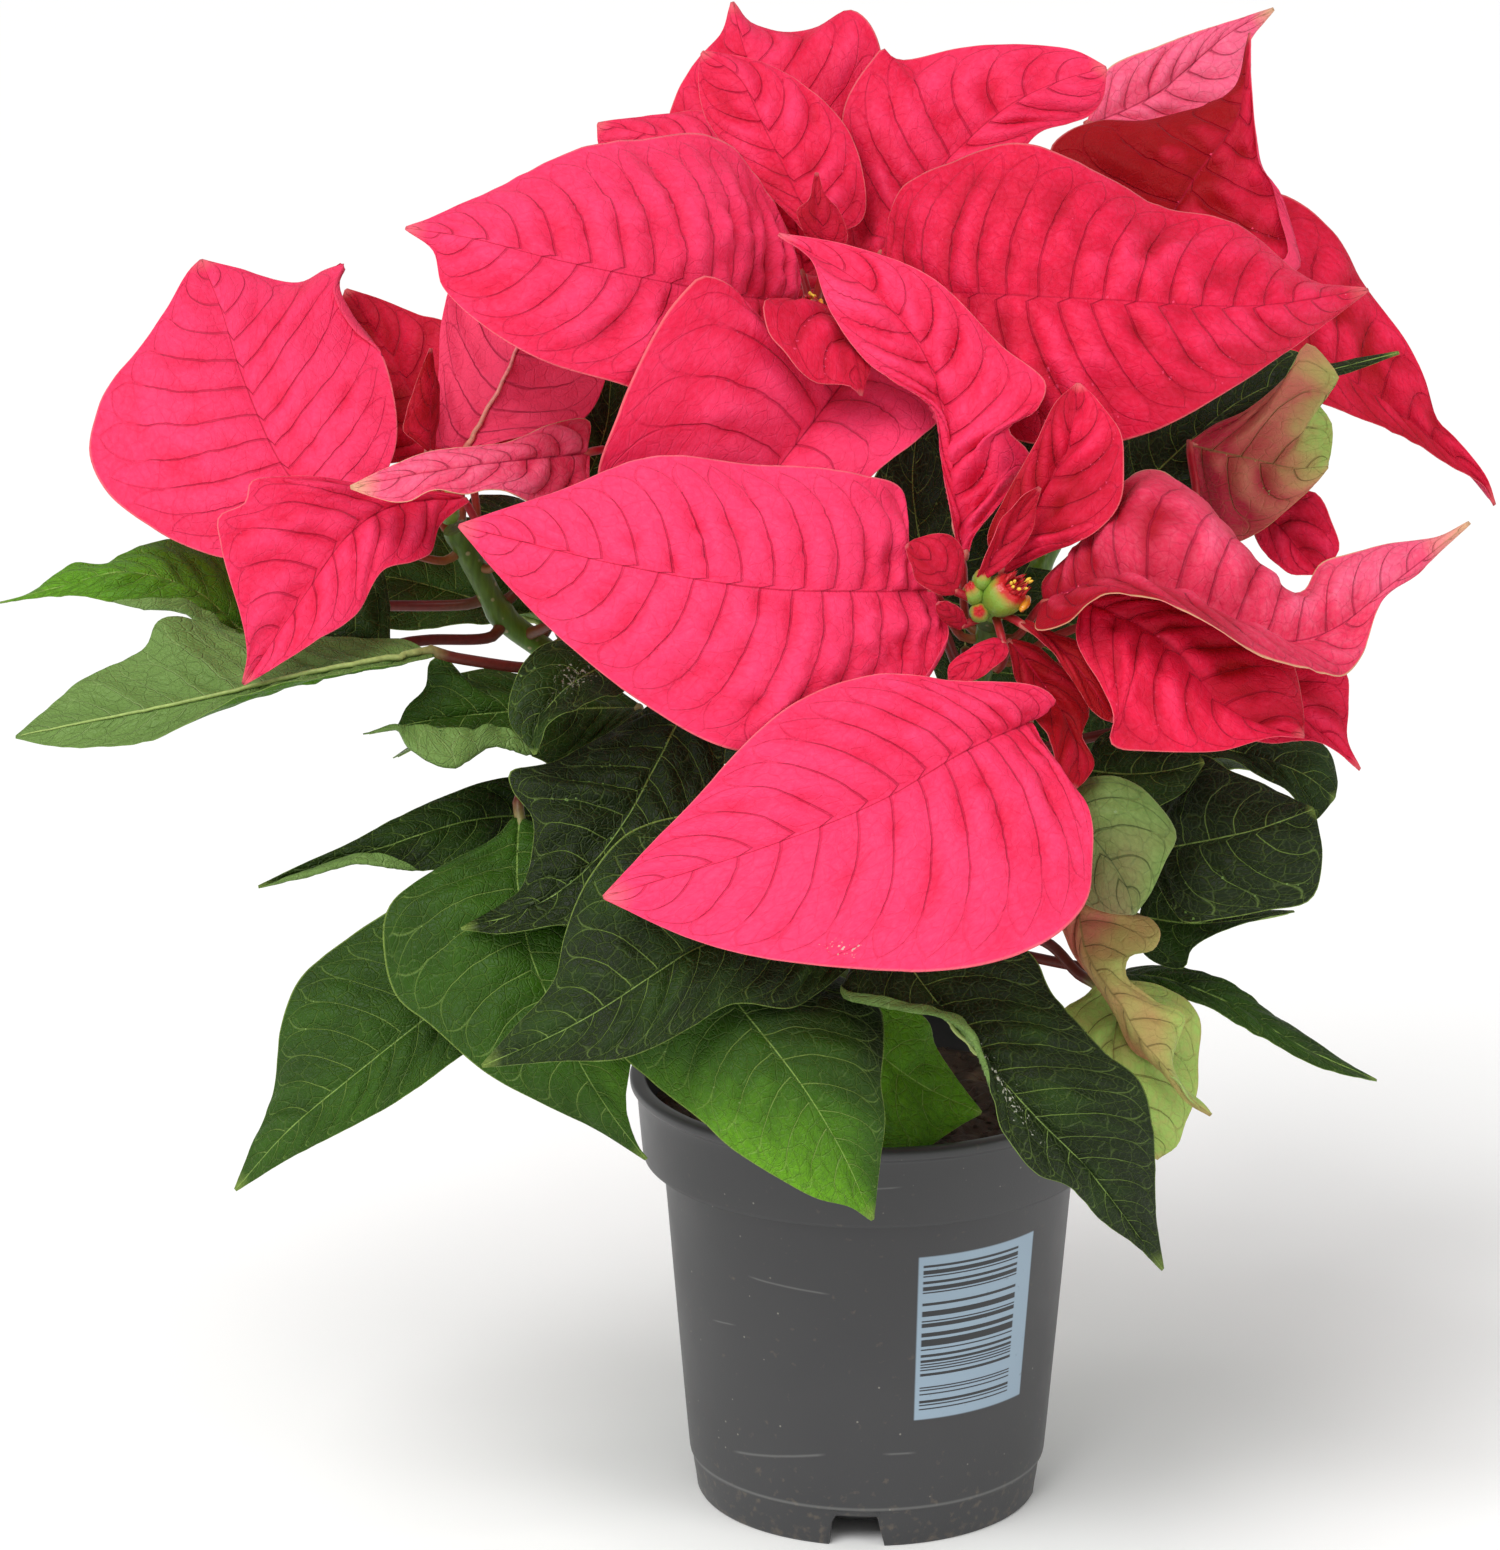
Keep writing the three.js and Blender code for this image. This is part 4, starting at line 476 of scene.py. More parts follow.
blade("leaf_02", "leaf", "left", 0.76,
    rib=[(-114, -63, 255), (-130, -73, 255), (-146, -77, 253), (-171, -81, 248), (-195, -81, 243),
        (-220, -77, 237)],
    left=[(-122, -55, 257), (-148, -55, 257), (-173, -51, 260), (-184, -55, 261), (-188, -59, 256),
        (-201, -65, 251), (-212, -71, 243)],
    right=[(-122, -73, 255), (-133, -79, 255), (-150, -89, 255), (-160, -93, 252), (-174, -93, 246),
        (-186, -91, 240), (-200, -87, 237), (-212, -81, 236)],
    via=[(-87, -38, 246), (-90, -51, 248)])
blade("leaf_04", "leaf", "left", 0.62,
    rib=[(-61, -42, 235), (-82, -52, 237), (-97, -58, 238), (-115, -62, 237), (-132, -64, 234)],
    left=[(-65, -50, 233), (-75, -58, 228), (-81, -62, 225), (-89, -66, 228), (-100, -70, 232),
        (-108, -76, 228), (-114, -76, 229), (-120, -74, 233), (-123, -68, 236)],
    right=[(-72, -34, 240), (-90, -42, 243), (-100, -46, 247), (-109, -52, 247), (-111, -54, 252),
        (-115, -56, 251), (-116, -58, 245), (-121, -60, 240), (-124, -62, 235)])
blade("leaf_05", "leaf", "left", 0.8,
    rib=[(-68, -62, 253), (-80, -72, 248), (-87, -80, 240), (-87, -86, 235)],
    left=[(-64, -70, 248), (-76, -80, 246), (-84, -86, 242)],
    right=[(-79, -60, 258), (-89, -68, 256), (-94, -78, 243)],
    via=[(-79, -38, 257)])
blade("leaf_06", "leaf", "left", 0.5,
    rib=[(-82, -40, 205), (-105, -52, 207), (-131, -60, 201), (-160, -62, 192)],
    left=[(-90, -52, 196), (-117, -64, 197), (-134, -66, 199), (-146, -66, 196)],
    right=[(-82, -32, 213), (-96, -40, 215), (-111, -48, 213), (-123, -54, 209), (-137, -60, 203),
        (-149, -62, 198)])
blade("leaf_07", "leaf", "left", 0.56,
    rib=[(-92, -66, 212), (-92, -80, 199), (-89, -90, 185), (-85, -94, 175), (-75, -102, 156),
        (-68, -102, 144), (-59, -98, 130)],
    left=[(-76, -68, 204), (-62, -80, 181), (-63, -94, 158), (-64, -100, 145), (-61, -99, 134)],
    right=[(-98, -70, 208), (-115, -78, 201), (-125, -84, 193), (-126, -88, 182), (-123, -92, 172),
        (-114, -97, 166), (-100, -102, 155), (-85, -104, 147), (-71, -102, 139)])
blade("leaf_08", "leaf", "left", 0.3,
    rib=[(-78, -48, 178), (-97, -62, 172), (-117, -72, 159), (-136, -78, 145), (-152, -78, 131),
        (-167, -72, 112)],
    left=[(-92, -70, 161), (-107, -78, 151), (-124, -82, 140), (-134, -82, 134), (-152, -78, 123)],
    right=[(-113, -54, 189), (-128, -58, 183), (-148, -62, 169), (-154, -66, 156), (-157, -70, 138),
        (-163, -72, 123)])
blade("leaf_09", "leaf", "left", 0.51,
    rib=[(-48, -60, 242), (-57, -72, 227), (-64, -80, 216), (-74, -88, 205), (-88, -92, 196),
        (-106, -94, 191)],
    left=[(-39, -68, 234), (-43, -80, 216), (-55, -92, 201), (-70, -98, 194), (-84, -99, 193),
        (-95, -98, 191)],
    right=[(-58, -54, 239), (-66, -58, 235), (-73, -62, 231), (-82, -68, 228), (-94, -74, 227),
        (-93, -76, 222), (-88, -80, 216), (-88, -84, 209), (-91, -88, 200), (-97, -88, 195)])
blade("leaf_10", "leaf", "front", 0.36,
    rib=[(1, -78, 184), (-12, -92, 185), (-30, -104, 193), (-45, -112, 192), (-56, -118, 187),
        (-69, -124, 180), (-81, -124, 173), (-100, -120, 163)],
    left=[(-8, -98, 181), (-15, -104, 177), (-22, -110, 175), (-37, -116, 178), (-47, -122, 174),
        (-58, -128, 170), (-66, -130, 168), (-80, -128, 167)],
    right=[(-30, -86, 210), (-45, -94, 221), (-53, -98, 222), (-64, -104, 219), (-74, -110, 208),
        (-79, -114, 196), (-82, -118, 185), (-92, -120, 173)])
blade("leaf_11", "leaf", "top", 0.22,
    rib=[(-48, -80, 194), (-44, -95, 183), (-35, -105, 174), (-26, -113, 165), (-18, -117, 155),
        (-9, -117, 139), (-1, -113, 119)],
    left=[(-10, -88, 176), (1, -99, 171), (2, -109, 165), (1, -113, 156), (2, -115, 147), (1, -115, 137)],
    right=[(-66, -97, 162), (-58, -105, 154), (-44, -115, 146), (-36, -119, 140), (-16, -121, 128),
        (-7, -117, 124)])
blade("stem_leaf_2", "leaf", "@main", 0.92,
    rib=[(-6, -34, 143), (13, -40, 130), (29, -46, 124)],
    left=[(2, -28, 150), (15, -32, 145), (17, -34, 139), (23, -40, 131)],
    right=[(-3, -42, 123), (4, -50, 114), (11, -52, 114), (15, -50, 116), (23, -48, 121)])
blade("leaf_12", "leaf", "front", 0.44,
    rib=[(4, -80, 190), (7, -98, 185), (17, -110, 174), (30, -120, 161), (41, -122, 149), (52, -120, 137),
        (62, -114, 122), (74, -104, 102)],
    left=[(32, -92, 189), (40, -96, 185), (45, -102, 175), (56, -110, 165), (67, -114, 157),
        (70, -114, 145), (71, -110, 129), (72, -108, 117)],
    right=[(-9, -106, 177), (1, -110, 175), (15, -119, 175), (22, -126, 174), (26, -129, 167),
        (29, -128, 158), (31, -130, 150), (39, -130, 138), (48, -126, 133), (58, -118, 120),
        (66, -112, 112)])
blade("leaf_13", "leaf", "front", 0.6,
    rib=[(50, -70, 201), (52, -80, 192), (54, -89, 183), (58, -94, 177), (63, -98, 171), (67, -100, 164),
        (73, -100, 157), (80, -100, 148), (86, -98, 142)],
    left=[(58, -74, 202), (61, -78, 200), (60, -80, 195), (63, -84, 192), (70, -84, 191), (73, -86, 187),
        (71, -88, 183), (65, -90, 182), (64, -92, 178), (72, -92, 171), (79, -92, 167), (78, -94, 163),
        (76, -96, 156), (79, -96, 149), (84, -97, 145)],
    right=[(46, -78, 194), (50, -86, 183), (56, -90, 175), (62, -92, 166), (66, -94, 159), (73, -96, 153),
        (79, -98, 146)])
blade("leaf_14", "leaf", "front", 0.34,
    rib=[(58, -81, 172), (62, -85, 165), (61, -93, 156), (65, -97, 143), (73, -95, 129)],
    left=[(74, -73, 169), (81, -75, 165), (84, -79, 159), (83, -87, 146), (80, -91, 137), (78, -93, 132)],
    right=[(54, -85, 170), (48, -89, 167), (50, -97, 158), (57, -101, 147), (65, -99, 135)],
    via=[(45, -66, 178), (53, -74, 172)])
blade("leaf_15", "leaf", "front", 0.3,
    rib=[(65, -55, 166), (77, -63, 167), (93, -69, 162), (111, -73, 152), (131, -71, 142)],
    left=[(67, -51, 166), (77, -57, 169), (87, -61, 168), (96, -63, 164), (112, -67, 153), (122, -69, 147)],
    right=[(69, -63, 166), (81, -71, 164), (91, -75, 161), (100, -77, 156), (112, -77, 149),
        (126, -75, 144)])
blade("leaf_16", "leaf", "front", 0.66,
    rib=[(46, -92, 225), (56, -98, 215), (63, -102, 205), (65, -104, 198)],
    left=[(52, -86, 228), (61, -88, 230), (69, -92, 226), (76, -96, 217), (73, -100, 211), (69, -103, 203)],
    right=[(45, -98, 213), (51, -104, 202), (59, -106, 199)])
blade("leaf_17", "leaf", "front", 0.52,
    rib=[(71, -69, 204), (87, -81, 211), (98, -85, 215), (112, -81, 219)],
    left=[(75, -61, 218), (84, -63, 228), (91, -69, 226), (105, -75, 221)],
    right=[(73, -79, 197), (79, -85, 190), (88, -89, 192), (100, -91, 195), (111, -91, 198),
        (114, -87, 208), (113, -83, 215)])
blade("leaf_18", "leaf", "front", 0.7,
    rib=[(77, -54, 231), (95, -58, 227), (110, -62, 223), (119, -62, 216)],
    left=[(93, -48, 233), (111, -50, 230), (118, -54, 226), (120, -58, 220)],
    right=[(84, -62, 227), (91, -64, 227), (98, -66, 224), (107, -68, 219), (113, -66, 211)])
blade("stem_leaf_3", "leaf", "@front", 0.4,
    rib=[(69, -62, 184), (82, -68, 184), (95, -68, 185), (109, -64, 186)],
    left=[(72, -56, 195), (81, -58, 191), (91, -62, 187), (102, -63, 186)],
    right=[(70, -66, 175), (80, -72, 173), (82, -73, 179), (88, -72, 182), (99, -68, 185)])
blade("leaf_19", "leaf", "right", 0.75,
    rib=[(69, 9, 278), (85, 13, 293), (102, 17, 305), (122, 21, 310), (141, 25, 314)],
    left=[(65, 12, 283), (68, 18, 296), (88, 23, 304), (101, 27, 311), (112, 27, 314), (121, 25, 311),
        (132, 25, 313)],
    right=[(84, 10, 278), (92, 10, 287), (95, 9, 293), (101, 11, 300), (108, 14, 305), (115, 17, 308),
        (126, 21, 309)])
blade("leaf_03", "leaf", "left", 0.7,
    rib=[(-84, -6, 247), (-104, 4, 251), (-126, 12, 255), (-145, 16, 256)],
    left=[(-89, -12, 252), (-104, -8, 248), (-118, -2, 245), (-136, 4, 245)],
    right=[(-83, 6, 262), (-99, 16, 270), (-121, 20, 269), (-137, 20, 264)])
blade("stem_leaf_1", "leaf", "@left", 0.84,
    rib=[(-126, -50, 254), (-137, -46, 255), (-152, -42, 253)],
    left=[(-128, -60, 251), (-135, -58, 253), (-145, -52, 253)],
    right=[(-126, -42, 264), (-128, -38, 271), (-138, -36, 268), (-147, -38, 260)],
    via=[(-116, -42, 253)])
blade("stem_leaf_4", "leaf", "@front", 0.8,
    rib=[(24, -32, 248), (24, -24, 270), (29, -16, 289), (41, -10, 305)],
    left=[(3, -28, 260), (-2, -18, 284), (11, -12, 302)],
    right=[(36, -32, 261), (45, -24, 281), (46, -16, 297)])
blade("stem_leaf_5", "leaf", "@front", 0.76,
    rib=[(54, -66, 225), (64, -70, 225), (74, -74, 227), (84, -76, 230)],
    left=[(58, -62, 233), (68, -64, 236), (78, -70, 236)],
    right=[(56, -72, 219), (66, -78, 217), (78, -78, 222)])
blade("stem_leaf_6", "leaf", "@top", 0.84,
    rib=[(30, -6, 265), (27, -16, 251), (29, -26, 238), (36, -36, 224), (42, -40, 209)],
    left=[(61, -10, 258), (64, -20, 243), (64, -32, 227)],
    right=[(14, -10, 250), (17, -20, 236), (26, -32, 222)],
    via=[(8, -8, 298)])
blade("stem_leaf_7", "leaf", "@left", 0.86,
    rib=[(-78, -12, 283), (-73, -4, 292), (-70, 2, 301), (-69, 8, 312)],
    left=[(-84, -8, 290), (-80, 0, 302), (-75, 6, 310)],
    right=[(-65, -10, 288), (-61, -2, 299), (-63, 4, 309)])
blade("stem_leaf_8", "leaf", "@left", 0.78,
    rib=[(-82, -12, 267), (-90, -16, 275), (-98, -18, 280), (-107, -16, 282)],
    left=[(-89, -20, 269), (-96, -24, 276), (-103, -22, 280)],
    right=[(-83, -4, 275), (-93, -8, 282), (-105, -12, 284)])
blade("stem_leaf_9", "leaf", "@front", 0.84,
    rib=[(13, -34, 272), (11, -30, 282), (10, -26, 292), (11, -22, 303)],
    left=[(5, -34, 278), (3, -28, 290), (5, -24, 299)],
    right=[(20, -32, 277), (20, -24, 289), (17, -20, 298)])
blade("front_small_3", "bract", "front_head", 0,
    rib=[(22, -80, 267), (18, -84, 272), (15, -86, 275)],
    left=[(18, -82, 268), (15, -85, 272)],
    right=[(22, -81, 271), (18, -85, 275)])
plain_blade("left_bract_6", "bract", "left", 0.99, (-109, -10, 293), (-100, 64, 294), 44)
plain_blade("top_bract_9", "bract", "top", 0.89, (-11, 9, 326), (-2, 86, 318), 50)
plain_blade("right_bract_6", "bract", "right", 0.92, (84, 74, 306), (112, 138, 300), 46)
plain_blade("right_bract_7", "bract", "right", 0.86, (62, 62, 298), (6, 116, 290), 44)
plain_blade("leaf_20", "leaf", "top", 0.33, (-20, 34, 196), (-52, 122, 176), 52)
plain_blade("leaf_21", "leaf", "right", 0.27, (26, 40, 184), (58, 124, 158), 54)
plain_blade("leaf_22", "leaf", "left", 0.44, (-62, 22, 206), (-132, 76, 186), 50)
plain_blade("leaf_23", "leaf", "right", 0.38, (66, 34, 196), (122, 88, 176), 50)
print("blades in the layout:", len(LAYOUT))

# %% [markdown]
# ## What sets one blade apart from the next
# Blades of one plant share their tissue but not their age or light. "tone" runs from a fresh
# coral bract or a bright young leaf at 0 to a deep red or blackish green at 1, and may change
# along the blade and from its left edge to its right. Tone carries painted shade as well as
# age: a blade is darker where other blades shade it, and in the hollows between its veins.
# "pleat" is how far the tissue swells between its side veins, in millimetres. Some edges fold
# back over the blade and show their pale underside. All this is written per blade, and the rest
# take the usual values.

# %% Tone, pleat and folded edges of the single blades
# a bract is deeper red towards its base: partly its own colour, partly painted shade at the heart of the
# rosette
USUAL_TONE = {"bract": (0.5, -0.4, 0.0), "leaf": (0.9, 0.0, 0.0)}
USUAL_PLEAT = {"bract": 1.5, "leaf": 1.3}
# middle tone, its change from base to tip, and its change from the left edge to the right;
# these stand for age and for painted shade
TONE = {
    "left_bract_1": (0.15, -0.1, 0.0), "left_bract_2": (0.3, -0.3, 0.0), "left_bract_3": (0.3, -0.3, 0.0),
    "left_bract_4": (0.3, 0.0, 0.0), "left_bract_5": (0.8, 0.0, 0.0), "left_bract_small": (0.9, 0.0, 0.0),
    "top_bract_1": (0.25, -0.4, -0.25), "top_bract_2": (0.56, -0.2, 0.15), "top_bract_3": (0.45, -0.3, 0.0),
    "top_bract_4": (0.4, -0.3, 0.0), "top_bract_5": (0.46, -0.2, 0.0), "top_bract_6": (0.3, 0.0, 0.0),
    "top_bract_7": (0.15, 0.0, 0.5), "top_bract_8": (0.7, 0.0, 0.0), "top_bract_small": (0.8, 0.0, 0.0),
    "front_bract_1": (0.08, -0.35, -0.3), "front_bract_2": (0.1, -0.3, 0.1),
    "front_bract_3": (0.75, -0.3, -0.2),
    "front_bract_4": (0.3, -0.4, 0.0), "front_bract_5": (0.6, -0.9, 0.3), "front_bract_6": (0.7, -0.1, -0.3),
    "front_bract_7": (0.55, 0.0, 0.0), "front_bract_8": (1.0, 0.0, 0.0),
    "front_small_1": (0.8, 0.0, 0.0), "front_small_2": (0.8, 0.0, 0.0), "front_small_3": (0.8, 0.0, 0.0),
    "front_small_4": (0.6, 0.0, 0.0), "front_small_5": (1.0, 0.0, 0.0),
    # right_bract_2's left half is darker: painted shadow of right_bract_1
    "right_bract_1": (0.1, -0.2, 0.0), "right_bract_2": (1.0, -0.4, -1.1), "right_bract_3": (0.75, 0.0, 0.2),
    "right_bract_4": (0.75, -1.5, 0.7), "right_bract_5": (0.5, 0.0, 0.0),
    "leaf_01": (0.2, -0.3, 0.0), "leaf_02": (0.3, 0.0, 0.0), "leaf_03": (0.7, 0.0, 0.0),
    "leaf_04": (0.75, -0.2, 0.0), "leaf_07": (0.55, -0.1, 0.3), "leaf_08": (0.7, -0.1, 0.1),
    "leaf_09": (1.35, -0.2, 0.0), "leaf_10": (0.95, 0.0, 0.0), "leaf_11": (0.72, -1.3, -0.8),
    "leaf_12": (1.0, 0.0, 0.0), "leaf_13": (0.3, -0.4, 0.3), "leaf_14": (0.0, -0.3, 0.0),
    "leaf_15": (0.8, 0.0, 0.0), "leaf_16": (0.2, 0.3, 0.5), "leaf_17": (1.1, 0.0, 0.0),
    "leaf_18": (0.95, 0.0, 0.0), "leaf_19": (1.3, -0.5, 0.0), "stem_leaf_1": (0.9, 0.0, 0.0),
    "stem_leaf_2": (0.15, 0.0, 0.0), "stem_leaf_4": (1.2, 0.0, 0.0), "stem_leaf_9": (1.2, 0.0, 0.0),
}
PLEAT = {
    "left_bract_1": 1.0, "left_bract_2": 1.6, "top_bract_1": 2.4, "top_bract_2": 2.0, "front_bract_1": 2.6,
    "front_bract_3": 2.2, "right_bract_2": 2.2, "front_small_2": 0.3, "top_bract_4": 1.8,
    "front_small_4": 0.4, "leaf_13": 1.2, "leaf_09": 2.0, "front_bract_6": 2.0, "front_bract_4": 3.0,
    "front_bract_2": 1.5, "top_bract_7": 1.0,
}
# side of the fold, where it starts and ends along the blade, and its depth as a share
FOLDS = {
    "leaf_01": (-1, 0.0, 0.62, 0.42), "leaf_04": (-1, 0.42, 1.0, 0.6), "leaf_06": (-1, 0.52, 1.0, 0.55),
    "leaf_12": (1, 0.16, 0.5, 0.3), "right_bract_2": (1, 0.2, 0.95, 0.2),
    "front_bract_1": (-1, 0.0, 0.22, 0.12),
    "leaf_10": (1, 0.0, 0.4, 0.12), "left_bract_1": (1, 0.42, 0.7, 0.1),
}
# a sheet is finer than its solid, so one blade swells less and one stalk takes a freer way
LAYOUT["front_bract_5"]["bulge"] = (0.3, 0.1)
LAYOUT["front_bract_2"]["via"] = [(33, -82, 244)]
print("tones:", len(TONE), "folds:", len(FOLDS))

# %% [markdown]
# ## Blade tissue as a mesh
# A blade could be a flat card with a picture of veins. Here it is a closed sheet a third of a
# millimetre thick, so that light grazes real relief. Rows run from the midrib to the edge
# along the side veins, and the tissue swells between them. Underneath, the veins stand out as
# thin ridges. The sheet keeps what the materials need to draw on it: the count of veins from
# the base, the place across the blade, and the distance from base and rib in millimetres.

# %% Sizes of the tissue
SHEET = 0.34
TIP_HALF_WIDTH = 0.5
RIPPLE = 0.05
RIPPLE_MOST = 2.0
RIPPLES = 3
VEIN_PITCH = {"bract": 8.2, "leaf": 7.4}
VEIN_SWEEP = 1.5
ROW_PITCH = 1.25
COLUMN_PITCH = 1.9
EDGE_WAVER = 0.4
CRUMPLE = 1.05
FOLD_RADIUS = 0.7
# share of tone added as painted shade in the hollows between the veins: creases darker, swells lighter
HOLLOW_SHADE = {"bract": 0.3, "leaf": 0.06}
print("tissue", SHEET, "mm thick")


# %% Smooth unevenness, the same in each run
def uneven(x, y, seed):
    """Smooth values between -1 and 1 over x and y, from a lattice of seeded numbers."""
    lattice = np.random.default_rng(seed).uniform(-1, 1, (64, 64))
    i, j = np.floor(x).astype(int), np.floor(y).astype(int)
    fx, fy = x - i, y - j
    fx, fy = fx * fx * (3 - 2 * fx), fy * fy * (3 - 2 * fy)

    def corner(a, b):
        return lattice[(i + a) % 64, (j + b) % 64]

    near = corner(0, 0) * (1 - fx) + corner(1, 0) * fx
    far = corner(0, 1) * (1 - fx) + corner(1, 1) * fx
    return near * (1 - fy) + far * fy


# %% One half of a blade, from its rib to its edge
def half_blade(b, sign, u, q, seed):
    """Points, vein counts, millimetres from the rib and depth of the hollows of one half.

    The left half has the sign -1 and the right half 1.
    """
    rib = Curve(b["rib"])
    radius = STALK_RADIUS[b["kind"]]
    middle = rib.at(u ** b["slant"])
    onward = rib.along(u ** b["slant"])
    first = np.subtract(b["right"][0], b["left"][0])
    last = np.subtract(b["right"][-1], b["left"][-1])
    base = np.asarray(b["rib"][0], float) + sign * radius * square_to(first, onward[0])
    tip = np.asarray(b["rib"][-1], float) + sign * TIP_HALF_WIDTH * square_to(last, onward[-1])
    edge = Curve([base, *b["left" if sign < 0 else "right"], tip])
    reach = edge.at(u) - middle
    wide = np.linalg.norm(reach, axis=1)[:, None]
    rise = unit(np.cross(reach, onward)) * sign
    taper = (np.sin(np.pi * u) ** 0.6)[:, None]

    # a folded edge runs round a small bend and back over the blade
    folded = np.zeros_like(u)[:, None]
    if b["fold"] and b["fold"][0] == sign:
        _, start, end, depth = b["fold"]
        place = np.clip((u - start) / (end - start), 0, 1)
        folded = (depth * np.sin(np.pi * place) ** 0.7)[:, None]
    run = wide * (1 + folded) * q[None, :]
    bend = np.minimum(FOLD_RADIUS, wide * 0.2) + 0 * run
    turn = np.clip((run - (wide - bend)) / bend, 0, np.pi)
    back = np.maximum(run - (wide - bend) - np.pi * bend, 0)
    far = np.where(folded > 0.01, np.minimum(run, wide - bend) + bend * np.sin(turn) - back, run)
    over = np.where(folded > 0.01, bend * (1 - np.cos(turn)) + back * 0.12, 0.0)
    share = np.clip(far / np.maximum(wide, 1e-6), 0, 1)

    arch = b["bulge"][0 if sign < 0 else 1] * wide * taper * np.sin(np.pi * share**0.8)
    ripple = np.minimum(RIPPLE * wide, RIPPLE_MOST) * taper
    phase = 0.0 if sign < 0 else 0.3
    wave = ripple * np.sin(2 * np.pi * (RIPPLES * u[:, None] + phase)) * share**2
    veins = max(rib.length / VEIN_PITCH[b["kind"]], 4.0)
    count = veins * u[:, None] ** 1.06 - VEIN_SWEEP * q**2 + (0.0 if sign < 0 else 0.4)
    swell = np.abs(np.sin(np.pi * count)) ** 0.8 - 0.55
    room = np.minimum(wide / 12.0, 1.0) * np.sin(np.pi * share**0.65) ** 0.7
    strength = 1.15 - 0.6 * u[:, None] + 0.6 * uneven(count * 0.9 + 11, run / 9 + 5, seed)
    pleat = b["pleat"] * room * taper * swell * strength
    waver = EDGE_WAVER * taper * share**4 * uneven(count * 2.6, run * 0 + 3, seed + 1)
    crumple = CRUMPLE * room * (0.7 * uneven(count * 1.3 + 7, run / 8, seed + 2)
                                + 0.35 * uneven(count * 3.1, run / 3.2 + 9, seed + 3)) * b["pleat"]
    lift = arch + wave + pleat + waver + crumple + over
    points = middle[:, None] + reach[:, None] * share[..., None] + rise[:, None] * lift[..., None]
    hollow = -(pleat + crumple) / b["pleat"]
    return points, count, run, hollow


# %% The whole sheet, and the numbers that its material reads
def blade_sheet(b, seed):
    """Upper and lower vertices and the attributes of a closed sheet, and the normals along its rib."""
    rib = Curve(b["rib"])
    rows = int(np.clip(rib.length / ROW_PITCH, 22, 110))
    widest = max(np.linalg.norm(np.subtract(p, b["rib"][1])) for p in b["left"] + b["right"])
    half = int(np.clip(widest / COLUMN_PITCH, 7, 19))
    if b["fold"]:
        half += 8
    u = np.linspace(0, 1, rows + 1)
    q = np.r_[np.linspace(0, 1, half) ** 1.1 * 0.985, 1.0]
    left, left_count, left_far, left_low = half_blade(b, -1, u, q, seed)
    right, right_count, right_far, right_low = half_blade(b, 1, u, q, seed + 20)
    low = np.concatenate([left_low[:, ::-1], right_low[:, 1:]], axis=1)
    points = np.concatenate([left[:, ::-1], right[:, 1:]], axis=1)
    count = np.concatenate([left_count[:, ::-1], right_count[:, 1:]], axis=1)
    far = np.concatenate([-left_far[:, ::-1], right_far[:, 1:]], axis=1)
    across = np.broadcast_to(np.r_[-q[::-1], q[1:]], count.shape)
    normal = unit(np.cross(np.gradient(points, axis=1), np.gradient(points, axis=0)))
    from_vein = np.abs(count - np.round(count)) * VEIN_PITCH[b["kind"]]
    inner = np.clip(1.2 - np.abs(across), 0, 1) * np.minimum(1, np.abs(far) / 3)
    ridge = b["ridge"] * np.exp(-((from_vein / 0.8) ** 2)) * inner
    along = np.broadcast_to(u[:, None], count.shape)
    groove = 0.3 * np.exp(-((far / 0.9) ** 2)) * (1 - along) ** 0.5
    thin = SHEET * (1 - 0.5 * np.abs(across) ** 6)
    upper = points + normal * (thin / 2 - groove)[..., None]
    lower = points - normal * (thin / 2 + ridge)[..., None]
    measure = np.stack([along * rib.length, far, np.zeros_like(far)], -1)
    middle, onward, rightward = b["tone"]
    # tone: age, the blade's painted shade, and painted shade in its hollows with painted light on its swells
    tone = middle + onward * (along - 0.5) + rightward * across * 0.5 + HOLLOW_SHADE[b["kind"]] * low
    fields = {"vein": count, "across": across, "along": along, "sheet": measure, "tone": tone}
    return upper, lower, fields, normal[:, half]


def sheet_faces(rows, columns):
    """Quads of two grids of rows x columns points, the upper first, joined round their edge."""
    at = np.arange(rows * columns).reshape(rows, columns)
    quads = np.stack([at[:-1, :-1], at[:-1, 1:], at[1:, 1:], at[1:, :-1]], -1).reshape(-1, 4)
    below = quads[:, ::-1] + rows * columns
    rim = np.concatenate([at[0, :-1], at[:-1, -1], at[-1, :0:-1], at[:0:-1, 0]])
    turn = np.roll(rim, -1)
    wall = np.stack([rim, rim + rows * columns, turn + rows * columns, turn], -1)
    return np.concatenate([quads, below, wall])


# %% [markdown]
# ## Stalks, ribs and stems as swept lines
# A stalk runs from the bark into its blade, and goes on under it as the midrib, thinner and
# thinner. The line of each stalk is stored in the blade's own mesh as loose edges with a
# radius at every point. One Geometry Nodes tree then sweeps the loose edges of any mesh into
# round tubes and keeps its faces, so the same tree makes stalks, stems and stamens. A bevelled
# curve object could do it too, but it would be one more object for each stalk.

# %% The line of a stalk
STALK_STRAIGHT = 2.5
STALK_CLEAR = 0.5
STALK_SINK = 1.2
STALK_BEND = 6.0
STALK_BEND_REACH = 25.0
STALK_STEP = 2.2
RIB_DEPTH = 0.72
RIB_CLEAR = 0.22


